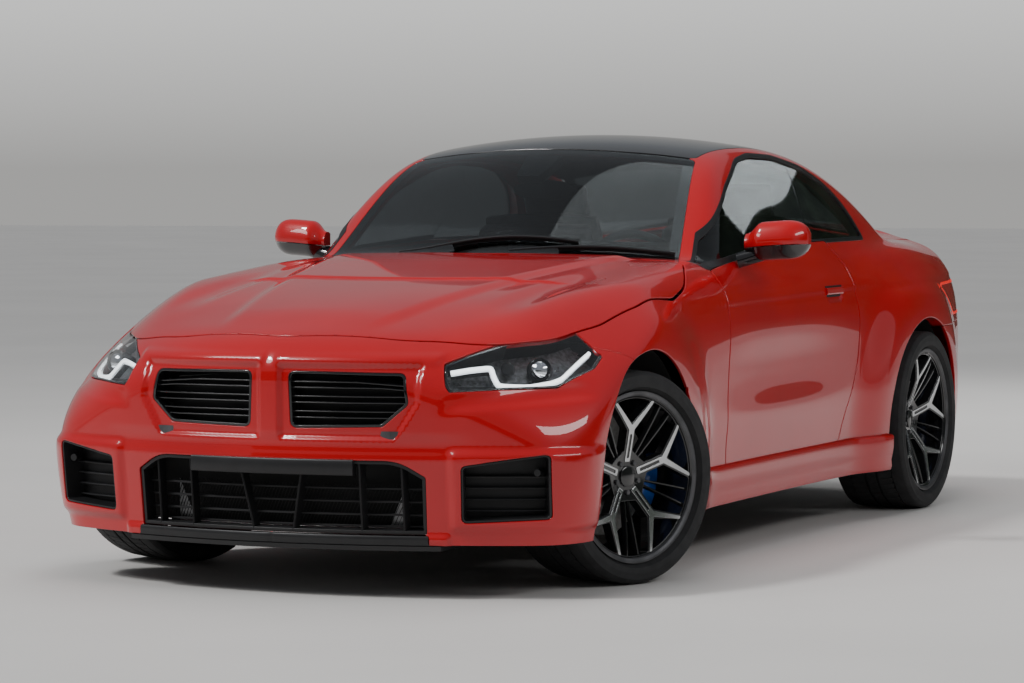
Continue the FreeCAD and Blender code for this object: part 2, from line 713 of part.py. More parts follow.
def make_door():
    """The left door below its window: an outer skin that laps over a thicker inner box."""
    rays = section_rays(SIDE_FRONT_Y, DOOR_REAR_Y, 34, -28, 35, 22)
    door = wall(rays, DOOR_FLANGE).common(side_prism(DOOR_SHARES, SHUT_GAP * 5))
    door = door.fuse(wall(rays, DOOR_THICKNESS).common(side_prism(DOOR_SHARES, SHUT_GAP * 5, -DOOR_STEP)))
    for z in (HINGE_LOW_Z, HINGE_HIGH_Z):
        door = door.cut(box(SILL_INNER_X / 2, DOOR_AXIS_X + HINGE_PIN * 2, DOOR_AXIS_Y - OVERRUN * 3,
                            DOOR_AXIS_Y + HINGE_PIN * 2, z - HINGE_POCKET / 2, z + HINGE_POCKET / 2))
    door = door.cut(box(-WIDTH, DOOR_INNER_X, -LENGTH, LENGTH, 0, HEIGHT))
    return biggest(door.cut(below(SKIRT_Z + SHUT_GAP)))


def make_side_glass():
    """The left door's frameless window and the fixed quarter window behind it."""
    whole = wall(section_rays(DOOR_GLASS_FRONT_Y, QUARTER_END_Y, 36, GLASS_LOW_ANGLE, GLASS_HIGH_ANGLE, 16),
                 GLASS_WALL, GLASS_INSET)
    pane = whole.common(window_block(-SHUT_GAP))
    seam = side_points(GLASS_SEAM_SHARES)
    ahead = [seam[0], seam[1], (-HALF * 2, seam[1][1]), (-HALF * 2, seam[0][1] - OVERRUN * 3),
             (seam[0][0] - OVERRUN, seam[0][1] - OVERRUN * 3)]
    ahead_block = prism(ahead, side_place, SEAT_X, HALF + OVERRUN, 0.0, -SHUT_GAP / 2)
    behind_block = prism(ahead, side_place, SEAT_X, HALF + OVERRUN, 0.0, SHUT_GAP / 2)
    belt = side_points(DOOR_SHARES[5:9])
    strip = [(y, z + SEAT_GAP) for y, z in belt] + [(y, z + SHUT_GAP * 3) for y, z in reversed(belt)]
    foot = whole.common(prism(strip, side_place, SEAT_X, HALF + OVERRUN))
    foot = foot.cut(top_prism(WINDSCREEN_SHARES, PILLAR_WIDTH + SHUT_GAP))
    door_glass = pane.fuse(foot).common(ahead_block)
    door_glass = door_glass.cut(box(SEAT_X, WIDTH, -LENGTH, DOOR_GLASS_FRONT_Y + SHUT_GAP, -OVERRUN, HEIGHT))
    door_glass = door_glass.cut(side_prism(FENDER_SHARES, 0.0, SHUT_GAP))
    quarter_hole = window_block(-SEAT_GAP).cut(side_prism(DOOR_SHARES, SHUT_GAP * 5, SHUT_GAP))
    return biggest(door_glass), biggest(whole.common(quarter_hole).cut(behind_block))


def make_bonnet():
    rays = section_rays(FRONT_Y + OVERRUN, BONNET_END_Y, 44, LID_LOW_ANGLE, 180 - LID_LOW_ANGLE, 40)
    lid = wall(rays, LID_WALL).common(top_prism(BONNET_SHARES))
    return biggest(lid)


def make_boot_lid():
    """The boot lid bends over the tail: a deck and an upright face."""
    rays = roll_rays(BOOT_AXIS_Y, BOOT_AXIS_Z, -BOOT_LOW_ANGLE, 128, 40, -BOOT_HALF, BOOT_HALF, 26)
    lid = wall(rays, LID_WALL)
    return biggest(lid.common(top_prism(BOOT_SHARES)).common(boot_face_block(0.0)))


def lid_swings(lid):
    """The boot lid at the angles it opens through, for its neighbours to leave it room."""
    swings = []
    for angle in BOOT_SWING_ANGLES:
        swung = lid.copy()
        swung.rotate(Vector(0, BOOT_HINGE_Y, BOOT_HINGE_Z), Vector(1, 0, 0), angle)
        swings.append(swung)
    return swings


def boot_face_block(grow):
    left = front_points(BOOT_REAR_SHARES)
    outline = left + [(-x, z) for x, z in left[-2::-1]]
    return prism(outline, front_place, BOOT_AXIS_Y - BOOT_HALF, REAR_Y + OVERRUN, SHUT_GAP * 3, grow)


def make_tail_panel(lid_hole, lamp_hole):
    """The end of the body round the boot lid and the tail lamps."""
    rays = corner_rays(AXLE_REAR_Y, 18, 162, 50, BUMPER_SEAM_Z + SEAM_GAP / 2, TAIL_PANEL_TOP_Z, 18)
    panel = wall(rays, FENDER_WALL * 2)
    panel = panel.cut(box(-WIDTH, WIDTH, -LENGTH, TAIL_SEAM_Y + SEAM_GAP / 2, -OVERRUN, HEIGHT))
    panel = panel.cut(lid_hole).cut(lamp_hole)
    return panel


def make_fender():
    rays = section_rays(FENDER_SEAM_Y, FENDER_END_Y, 34, -26, 52, 30)
    fender = wall(rays, FENDER_WALL).common(side_prism(FENDER_SHARES))
    fender = fender.cut(top_prism(BONNET_SHARES, SHUT_GAP))
    fender = fender.cut(side_prism(DOOR_SHARES, SHUT_GAP * 5, SHUT_GAP))
    fender = fender.cut(arch_block(AXLE_FRONT_Y, TYRE_RADIUS_FRONT, ARCH_RADIUS_FRONT, SEAT_X, WIDTH))
    return biggest(fender.cut(below(SKIRT_Z)))


def make_front_bumper():
    rays = corner_rays(AXLE_FRONT_Y, -168, -12, 60, BUMPER_LOW_Z, NOSE_TOP_Z + NOSE_LIP, 24)
    bumper = wall(rays, BUMPER_WALL)
    bumper = bumper.cut(top_prism(BONNET_SHARES, SHUT_GAP))
    fender = side_prism(FENDER_SHARES, 0.0, SEAM_GAP)
    arch = arch_block(AXLE_FRONT_Y, TYRE_RADIUS_FRONT, ARCH_RADIUS_FRONT, SEAT_X, WIDTH)
    bumper = bumper.cut(fender).cut(mirrored(fender)).cut(arch).cut(mirrored(arch))
    bumper = bumper.cut(box(-WIDTH, WIDTH, AXLE_FRONT_Y, LENGTH, -OVERRUN, HEIGHT))
    lamp = front_prism(LAMP_SHARES, SHUT_GAP, SEAM_GAP)
    bumper = bumper.cut(lamp).cut(mirrored(lamp))
    kidney = front_prism(KIDNEY_SHARES, SHUT_GAP * 4)
    intake = front_prism(SIDE_INTAKE_SHARES, SHUT_GAP * 3)
    bumper = bumper.cut(kidney).cut(mirrored(kidney)).cut(intake).cut(mirrored(intake))
    return biggest(bumper.cut(front_prism(LOWER_INTAKE_SHARES, SHUT_GAP * 2)))


def make_headlamp():
    rays = corner_rays(AXLE_FRONT_Y, -85, -15, 30, LAMP_LOW_Z, LAMP_TOP_Z, 14)
    lamp = wall(rays, LAMP_DEPTH, LAMP_INSET).common(front_prism(LAMP_SHARES, SHUT_GAP))
    lid_rays = section_rays(FRONT_Y + OVERRUN * 2, FENDER_SEAM_Y + OVERRUN * 3, 16, LID_LOW_ANGLE, 90, 22)
    lid_void = wall(lid_rays, LID_WALL + SHUT_GAP + OVERRUN, -OVERRUN).common(top_prism(BONNET_SHARES,
                                                                                        SHUT_GAP))
    return biggest(lamp.cut(lid_void))


def front_wall(low_z, high_z, thickness, inset, around=30):
    return wall(corner_rays(AXLE_FRONT_Y, -140, -40, around, low_z, high_z, 12), thickness, inset)


def make_upper_grille():
    """A frame and three pairs of level slats in each of the two openings."""
    block = front_wall(GRILLE_LOW_Z, NOSE_TOP_Z + OVERRUN / 2, GRILLE_DEPTH, GRILLE_INSET)
    opening = front_prism(KIDNEY_SHARES, SHUT_GAP * 4, -SEAT_GAP)
    hole = front_prism(KIDNEY_SHARES, SHUT_GAP * 3, -GRILLE_FRAME)
    ring = front_wall(GRILLE_LOW_Z, NOSE_TOP_Z + OVERRUN / 2, GRILLE_DEPTH + GRILLE_INSET, BUMPER_WALL / 2)
    grille = ring.common(opening).cut(hole)
    bars = []
    for share in KIDNEY_SLAT_SHARES:
        for z in (share * HEIGHT - SLAT_PITCH / 2, share * HEIGHT + SLAT_PITCH / 2):
            bars.append(box(0, HALF, FRONT_Y, AXLE_FRONT_Y, z - SLAT_HEIGHT / 2, z + SLAT_HEIGHT / 2))
    slats = block.common(Part.makeCompound(bars)).common(opening)
    return biggest(grille.fuse(slats.Solids))


def make_lower_grille():
    """Fins and the bare plate bar in the middle intake."""
    block = front_wall(LOWER_LOW_Z, LOWER_TOP_Z, GRILLE_DEPTH, BUMPER_WALL)
    opening = front_prism(LOWER_INTAKE_SHARES, SHUT_GAP * 2, -SEAT_GAP)
    frame = block.common(opening).cut(front_prism(LOWER_INTAKE_SHARES, SHUT_GAP * 2, -GRILLE_FRAME))
    fins = []
    for top, low in FIN_SHARES:
        for side in (-1, 1):
            fin = [(side * top * HALF - FIN_WIDTH / 2, LOWER_TOP_Z), (side * top * HALF + FIN_WIDTH / 2,
                                                                      LOWER_TOP_Z),
                   (side * low * HALF + FIN_WIDTH / 2, LOWER_LOW_Z), (side * low * HALF - FIN_WIDTH / 2,
                                                                      LOWER_LOW_Z)]
            fins.append(prism(fin, front_place, FRONT_Y, AXLE_FRONT_Y))
    fins = block.common(Part.makeCompound(fins)).common(opening)
    bar = front_wall(LOWER_LOW_Z, LOWER_TOP_Z, GRILLE_DEPTH,
                     -BUMPER_WALL).common(front_prism(PLATE_BAR_SHARES))
    return biggest(frame.fuse(fins.Solids + bar.Solids))


def make_side_intakes():
    """The screen and one thin blade in the left intake."""
    opening = front_prism(SIDE_INTAKE_SHARES, SHUT_GAP * 3, -SEAT_GAP)
    low_z = SIDE_INTAKE_SHARES[3][1] * HEIGHT - OVERRUN
    high_z = SIDE_INTAKE_SHARES[1][1] * HEIGHT + OVERRUN
    rays = corner_rays(AXLE_FRONT_Y, -75, -22, 24, low_z, high_z, 12)
    duct = wall(rays, SCREEN_INSET, BUMPER_WALL / 2).common(opening)
    duct = duct.cut(front_prism(SIDE_INTAKE_SHARES, SHUT_GAP * 3, -SKIN))
    screen = wall(rays, SCREEN_WALL, SCREEN_INSET).common(opening)
    blade_z = (low_z + high_z) / 2
    blade = wall(rays, SCREEN_INSET, BUMPER_WALL * 2).common(opening).common(
        box(0, WIDTH, FRONT_Y, AXLE_FRONT_Y, blade_z, blade_z + BLADE_HEIGHT))
    return biggest(duct.fuse(screen.Solids + blade.Solids))


def make_splitter():
    rays = corner_rays(AXLE_FRONT_Y, -150, -30, 50, SPLITTER_Z, SPLITTER_Z + SPLITTER_WALL, 4)
    lip = wall(rays, SPLITTER_WIDTH, -SPLITTER_OUT)
    return biggest(lip.common(box(-SPLITTER_HALF, SPLITTER_HALF, FRONT_Y, AXLE_FRONT_Y, 0, HEIGHT)))


def make_skirt():
    """The ledge along the sill, between the wheels."""
    low = AXLE_FRONT_Y + ARCH_RADIUS_FRONT
    high = AXLE_REAR_Y - ARCH_RADIUS_REAR
    rays = [[(Vector(0, y, z), Vector(1, 0, 0)) for z in span(SKIRT_Z - SKIRT_HEIGHT, SKIRT_Z, 6)]
            for y in span(low, high, 24)]
    skirt = wall(rays, SKIRT_WIDTH, -SKIRT_OUT)
    return biggest(skirt.cut(box(-WIDTH, SILL_INNER_X, -LENGTH, LENGTH, 0, HEIGHT)))


def make_rear_bumper(lamp_hole):
    rays = corner_rays(AXLE_REAR_Y, 9, 171, 58, BUMPER_LOW_Z + SKIRT_OUT * 3,
                       BUMPER_SEAM_Z - SEAM_GAP / 2, 16)
    bumper = wall(rays, BUMPER_WALL)
    arch = arch_block(AXLE_REAR_Y, TYRE_RADIUS_REAR, ARCH_RADIUS_REAR, SEAT_X, WIDTH)
    bumper = bumper.cut(arch).cut(mirrored(arch)).cut(boot_face_block(SHUT_GAP)).cut(lamp_hole)
    bumper = bumper.cut(rear_prism(DIFFUSER_SHARES))
    return biggest(bumper)


def make_diffuser():
    low_z = DIFFUSER_SHARES[2][1] * HEIGHT
    high_z = DIFFUSER_SHARES[0][1] * HEIGHT
    rays = corner_rays(AXLE_REAR_Y, 50, 130, 24, low_z, high_z, 8)
    diffuser = wall(rays, GRILLE_DEPTH, DIFFUSER_INSET / 4).common(rear_prism(DIFFUSER_SHARES, 0.0,
                                                                              -SEAT_GAP))
    for x in tip_places():
        diffuser = diffuser.cut(rod(Vector(x, AXLE_REAR_Y, TIP_Z), Vector(x, LENGTH, TIP_Z),
                                    TIP_RADIUS + SHUT_GAP))
    return biggest(diffuser)


def tip_places():
    return [side * (TIP_X + end * TIP_SPACING / 2) for side in (-1, 1) for end in (-1, 1)]


def turned(points):
    """A ring turned about the X axis from a profile of (x, radius) points."""
    wire = Part.makePolygon([Vector(x, 0, r) for x, r in points + points[:1]])
    return Part.Face(wire).revolve(Vector(0, 0, 0), Vector(1, 0, 0), 360)


def make_tyre(radius, width, rim_width):
    """One tyre with its hollow: beads on the rim, bulged sidewalls, rounded shoulders."""
    bead = rim_width / 2 - RIM_FLANGE - SEAT_GAP
    half = width / 2
    bulge = half + SIDEWALL_BULGE
    middle = (radius + RIM_RADIUS) / 2
    low = RIM_BARREL_RADIUS + SEAT_GAP
    outer = [(bead, low), (bead, RIM_RADIUS), (bulge, middle), (half, radius - TYRE_SHOULDER / 2),
             (half - TYRE_SHOULDER, radius - TREAD_CROWN)]
    inner = [(half - TYRE_SHOULDER, radius - SIDEWALL), (half - SIDEWALL, middle), (bead - SIDEWALL, low)]
    edges = []
    right = [Vector(x, 0, r) for x, r in outer]
    left = [Vector(-x, 0, r) for x, r in reversed(outer)]
    inner_left = [Vector(-x, 0, r) for x, r in inner]
    inner_right = [Vector(x, 0, r) for x, r in reversed(inner)]
    edges.append(Part.makeLine(right[0], right[1]))
    edges.append(Part.Arc(right[1], right[2], right[3]).toShape())
    edges.append(Part.makeLine(right[3], right[4]))
    edges.append(Part.Arc(right[4], Vector(0, 0, radius), left[0]).toShape())
    edges.append(Part.makeLine(left[0], left[1]))
    edges.append(Part.Arc(left[1], left[2], left[3]).toShape())
    edges.append(Part.makeLine(left[3], left[4]))
    edges.append(Part.makeLine(left[4], inner_left[2]))
    edges.append(Part.makeLine(inner_left[2], inner_left[1]))
    edges.append(Part.makeLine(inner_left[1], inner_left[0]))
    edges.append(Part.makeLine(inner_left[0], inner_right[2]))
    edges.append(Part.makeLine(inner_right[2], inner_right[1]))
    edges.append(Part.makeLine(inner_right[1], inner_right[0]))
    edges.append(Part.makeLine(inner_right[0], right[0]))
    face = Part.Face(Part.Wire(Part.__sortEdges__(edges)))
    return face.revolve(Vector(0, 0, 0), Vector(1, 0, 0), 360)


def spoke_outline(side, radius):
    """One arm of a forked spoke in the wheel's plane, as (y, z) points."""
    root = HUB_RADIUS * 0.6
    near = SPOKE_SLOT / 2
    inner = [(near, root), (near, SPOKE_FORK_RADIUS * 0.8), (near * 1.6, SPOKE_FORK_RADIUS),
             (SPOKE_SPREAD - SPOKE_WIDTH, radius)]
    outer = [(SPOKE_SPREAD + SPOKE_WIDTH / 2, radius), (near + SPOKE_WIDTH * 1.4, SPOKE_FORK_RADIUS),
             (near + SPOKE_WIDTH * 1.1, SPOKE_FORK_RADIUS * 0.8), (near + SPOKE_WIDTH * 1.3, root)]
    return [(side * y, z) for y, z in inner + outer]


def make_rim(rim_width, dish):
    """Barrel with two flanges, hub, five forked spokes and five thin ribs between them."""
    half = rim_width / 2
    flange = RIM_FLANGE
    outer = RIM_BARREL_RADIUS
    inner = RIM_BARREL_RADIUS - RIM_WALL
    barrel = turned([(half, RIM_RADIUS), (half - flange, RIM_RADIUS), (half - flange, outer),
                     (-half + flange, outer),
                     (-half + flange, RIM_RADIUS), (-half, RIM_RADIUS), (-half, inner),
                     (half - flange, inner),
                     (half, inner + flange)])
    edge = half - flange
    hub_face = edge - dish
    face = [(hub_face, 0), (hub_face, HUB_RADIUS), (edge, outer - RIM_WALL / 2),
            (edge - SPOKE_DEPTH, outer - RIM_WALL / 2),
            (HUB_SEAT + (edge - HUB_SEAT) * 0.35, HUB_RADIUS * 1.5), (HUB_SEAT, HUB_RADIUS), (HUB_SEAT, 0)]
    dish_block = turned(face)
    arms = []
    for i in range(SPOKE_COUNT):
        for side in (-1, 1):
            arm = prism(spoke_outline(side, outer), side_place, 0, rim_width)
            arm.rotate(Vector(0, 0, 0), Vector(1, 0, 0), 360 * i / SPOKE_COUNT)
            arms.append(arm)
    arms = arms[0].fuse(arms[1:]).common(dish_block)
    ribs = []
    rib_back = turned([(edge - SPOKE_DEPTH, 0), (edge - SPOKE_DEPTH, outer), (edge - SPOKE_DEPTH * 2, outer),
                       (HUB_SEAT, HUB_RADIUS), (HUB_SEAT, 0)])
    for i in range(SPOKE_COUNT):
        rib = prism([(-RIB_WIDTH, 0), (-RIB_WIDTH / 2, outer - RIM_WALL / 2),
                     (RIB_WIDTH / 2, outer - RIM_WALL / 2),
                     (RIB_WIDTH, 0)], side_place, 0, rim_width)
        rib.rotate(Vector(0, 0, 0), Vector(1, 0, 0), 360 * (i + 0.5) / SPOKE_COUNT)
        ribs.append(rib.common(rib_back))
    hub = turned([(HUB_SEAT, 0), (HUB_SEAT, HUB_RADIUS), (hub_face, HUB_RADIUS),
                  (hub_face, HUB_CAP_RADIUS * 1.2),
                  (hub_face + HUB_CAP_DEPTH, HUB_CAP_RADIUS), (hub_face + HUB_CAP_DEPTH, 0)])
    rim = barrel.fuse([hub, arms] + ribs)
    bore = Part.makeCylinder(STUB_RADIUS + SHAFT_CLEARANCE, hub_face - HUB_CAP_DEPTH * 2 - HUB_SEAT,
                             Vector(HUB_SEAT, 0, 0), Vector(1, 0, 0))
    return biggest(rim.cut(bore))


def make_disc():
    """A vented brake disc with its hat, which sits against the hub."""
    low = DISC_PLANE - DISC_THICKNESS / 2
    high = DISC_PLANE + DISC_THICKNESS / 2
    bore = STUB_RADIUS + SHAFT_CLEARANCE
    profile = [(HUB_SEAT, bore), (HUB_SEAT, DISC_HAT_RADIUS), (high, DISC_HAT_RADIUS), (high, DISC_RADIUS),
               (DISC_PLANE + DISC_VENT / 2, DISC_RADIUS),
               (DISC_PLANE + DISC_VENT / 2, DISC_HAT_RADIUS * 1.15),
               (DISC_PLANE - DISC_VENT / 2, DISC_HAT_RADIUS * 1.15),
               (DISC_PLANE - DISC_VENT / 2, DISC_RADIUS),
               (low, DISC_RADIUS), (low, DISC_HAT_RADIUS - DISC_HAT_WALL), (HUB_SEAT - DISC_HAT_WALL,
               DISC_HAT_RADIUS - DISC_HAT_WALL), (HUB_SEAT - DISC_HAT_WALL, bore)]
    return turned(profile)


def make_carrier(dish, rim_width, caliper_side, steered):
    """The upright that carries a wheel, with its stub and brake caliper. Local X points out."""
    back = DISC_PLANE - DISC_THICKNESS / 2 - RUNNING_GAP
    hub_end = rim_width / 2 - RIM_FLANGE - dish - HUB_CAP_DEPTH * 3
    upright = Part.makeCylinder(CARRIER_RADIUS, CARRIER_DEPTH, Vector(back - CARRIER_DEPTH, 0, 0),
                                Vector(1, 0, 0))
    boss = Part.makeCylinder(DISC_HAT_RADIUS - DISC_HAT_WALL - RUNNING_GAP * 3,
                             HUB_SEAT - DISC_HAT_WALL - RUNNING_GAP - back,
                             Vector(back, 0, 0), Vector(1, 0, 0))
    stub = Part.makeCylinder(STUB_RADIUS, hub_end - back, Vector(back, 0, 0), Vector(1, 0, 0))
    inner = DISC_PLANE - DISC_THICKNESS / 2 - PAD_GAP
    outer = DISC_PLANE + DISC_THICKNESS / 2 + PAD_GAP
    ring = turned([(inner - CALIPER_WALL, CALIPER_ROOT), (inner - CALIPER_WALL, CALIPER_REACH),
                   (outer + CALIPER_WALL * 0.7, CALIPER_REACH), (outer + CALIPER_WALL * 0.7, CALIPER_ROOT),
                   (outer, CALIPER_ROOT), (outer, DISC_RADIUS + PAD_GAP), (inner, DISC_RADIUS + PAD_GAP),
                   (inner, CALIPER_ROOT)])
    reach_y = caliper_side * CALIPER_REACH * 1.2
    window = box(-rim_width, rim_width, min(0.0, reach_y), max(0.0, reach_y), -CALIPER_LENGTH / 2,
                 CALIPER_LENGTH / 2)
    caliper = ring.common(window)
    if steered:
        pivot_x = -KINGPIN_INSET
        low = BALL_Z + EYE_DEPTH / 2 + SEAT_GAP - TYRE_RADIUS_FRONT
        high = UPPER_BALL_Z - EYE_DEPTH / 2 - SEAT_GAP - TYRE_RADIUS_FRONT
        upright = upright.fuse(box(pivot_x - EYE_RADIUS / 2, pivot_x + EYE_RADIUS / 2, -EYE_RADIUS,
                                   EYE_RADIUS, low, high))
    bracket = box(back - CARRIER_DEPTH, inner - CALIPER_WALL / 3,
                  min(0.0, caliper_side * CALIPER_ROOT * 1.15),
                  max(0.0, caliper_side * CALIPER_ROOT * 1.15), -CARRIER_RADIUS / 2, CARRIER_RADIUS / 2)
    return upright.fuse([boss, stub, caliper, bracket])


def placed(shape, x, y, z, turn=0.0, pivot=None):
    """A left piece in local wheel axes set at its place and turned about the kingpin."""
    shape = shape.copy()
    shape.translate(Vector(x, y, z))
    if turn:
        shape.rotate(pivot, Vector(0, 0, 1), turn)
    return shape


def make_arm(start, end, radius):
    """A tubular link with an eye at each end."""
    arm = rod(start, end, radius)
    return arm.fuse([Part.makeSphere(radius * 1.3, start), Part.makeSphere(radius * 1.3, end)])


def make_seat():
    """A sports seat: cushion and back with side bolsters and a one-piece headrest."""
    front, back, floor = SEAT_FRONT_Y, SEAT_BACK_Y, CONSOLE_TOP_Z * 0.55
    profile = [(front, floor), (back + SEAT_THICKNESS / 2, floor), (back + SEAT_THICKNESS * 2.3, SEAT_TOP_Z),
               (back + SEAT_THICKNESS * 2.2, HEADREST_TOP_Z), (back + SEAT_THICKNESS * 1.3, HEADREST_TOP_Z),
               (back + SEAT_THICKNESS * 1.2, SEAT_TOP_Z), (back, SEAT_CUSHION_Z),
               (front, SEAT_CUSHION_Z - SEAT_THICKNESS / 5)]
    shell = prism(profile, side_place, SEAT_X - SEAT_WIDTH / 2, SEAT_X + SEAT_WIDTH / 2,
                  SEAT_THICKNESS * 0.45)
    front_view = [(SEAT_X - SEAT_WIDTH / 2, floor), (SEAT_X + SEAT_WIDTH / 2, floor),
                  (SEAT_X + SEAT_WIDTH / 2, SEAT_TOP_Z - SEAT_THICKNESS),
                  (SEAT_X + SEAT_WIDTH * 0.33, SEAT_TOP_Z),
                  (SEAT_X + SEAT_WIDTH * 0.24, HEADREST_TOP_Z), (SEAT_X - SEAT_WIDTH * 0.24, HEADREST_TOP_Z),
                  (SEAT_X - SEAT_WIDTH * 0.33, SEAT_TOP_Z),
                  (SEAT_X - SEAT_WIDTH / 2, SEAT_TOP_Z - SEAT_THICKNESS)]
    outline = prism(front_view, front_place, front - OVERRUN, back + SEAT_THICKNESS * 4, SEAT_THICKNESS * 0.4)
    seat = biggest(shell.common(outline))
    rails = [box(SEAT_X + x - SEAT_RAIL / 2, SEAT_X + x + SEAT_RAIL / 2, front + OVERRUN, back,
                 FLOOR_Z + FLOOR_WALL, floor + SEAT_RAIL)
             for x in (-SEAT_WIDTH * 0.36, SEAT_WIDTH * 0.36)]
    return seat.fuse(rails)


def make_mirror():
    """The left door mirror: a rounded housing on a stalk that stands on the door's shoulder."""
    length = MIRROR_TIP_X - MIRROR_ROOT_X
    sections = []
    for t in (0.0, 0.12, 0.4, 0.75, 0.95, 1.0):
        size = (0.55 + 0.45 * math.sqrt(1 - (1 - min(t / 0.45,
                                                     1.0)) ** 2)) * math.sqrt(max(1 - max((t
                                                                                           - 0.62) / 0.42, 0.0) ** 2, 0.05))
        x = MIRROR_ROOT_X + length * t
        depth = MIRROR_DEPTH * size
        height = MIRROR_HEIGHT * size
        sweep = MIRROR_DEPTH * 0.25 * t
        corners = [(MIRROR_Y + sweep - depth / 2, MIRROR_Z - height / 4), (MIRROR_Y + sweep - depth / 2,
                                                                           MIRROR_Z + height / 4),
                   (MIRROR_Y + sweep - depth / 5, MIRROR_Z + height / 2), (MIRROR_Y + sweep + depth / 2,
                                                                           MIRROR_Z + height / 2),
                   (MIRROR_Y + sweep + depth / 2, MIRROR_Z - height / 2), (MIRROR_Y + sweep - depth / 5,
                                                                           MIRROR_Z - height / 2)]
        points = [Vector(x, y, z) for y, z in corners]
        curve = Part.BSplineCurve()
        curve.interpolate(points, PeriodicFlag=True)
        sections.append(Part.Wire(curve.toShape()))
    housing = Part.makeLoft(sections, True)
    root = Vector(MIRROR_ROOT_X + MIRROR_STALK, MIRROR_Y, MIRROR_Z - MIRROR_HEIGHT / 4)
    foot = Vector(MIRROR_ROOT_X - MIRROR_STALK, MIRROR_Y - MIRROR_STALK / 2, MIRROR_Z - MIRROR_HEIGHT * 0.75)
    stalk = rod(foot, root, MIRROR_STALK / 3)
    return housing.fuse(stalk)


def carve(shape, others):
    """A piece with its neighbours cut out of it, so that they meet face to face."""
    for other in others:
        shape = shape.cut(other)
    return shape


def make_floor():
    """The floor between the sills and the raised tunnel along its middle."""
    wide = SILL_INNER_X
    ahead = LINER_INNER_FRONT_X + LINER_WALL
    astern = liner_inner_rear() + LINER_WALL
    front = AXLE_FRONT_Y + ARCH_RADIUS_FRONT + LINER_GAP + LINER_WALL
    rear = AXLE_REAR_Y - ARCH_RADIUS_REAR - LINER_GAP - LINER_WALL
    outline = [(ahead, FLOOR_FRONT_Y), (ahead, front), (wide, front), (wide, rear), (astern, rear),
               (astern, KICK_Y)]
    outline += [(-x, y) for x, y in reversed(outline)]
    pan = prism(outline, top_place, FLOOR_Z, FLOOR_Z + FLOOR_WALL)
    half = TUNNEL_WIDTH / 2
    top = FLOOR_Z + TUNNEL_HEIGHT
    ridge = [(-half, FLOOR_Z), (-half * 0.8, top), (half * 0.8, top), (half, FLOOR_Z)]
    hollow = [(-half + FLOOR_WALL, FLOOR_Z - FLOOR_WALL), (-half * 0.8 + FLOOR_WALL, top - FLOOR_WALL),
              (half * 0.8 - FLOOR_WALL, top - FLOOR_WALL), (half - FLOOR_WALL, FLOOR_Z - FLOOR_WALL)]
    tunnel = prism(ridge, front_place, CABIN_FRONT_Y, KICK_Y, FLOOR_WALL)
    channel = prism(hollow, front_place, PIPE_START_Y - OVERRUN, KICK_Y + OVERRUN, FLOOR_WALL / 2)
    return biggest(pan.fuse(tunnel).cut(channel))


def liner_inner_rear():
    return TRACK_REAR / 2 - TYRE_WIDTH_REAR / 2 - RUNNING_GAP * 6


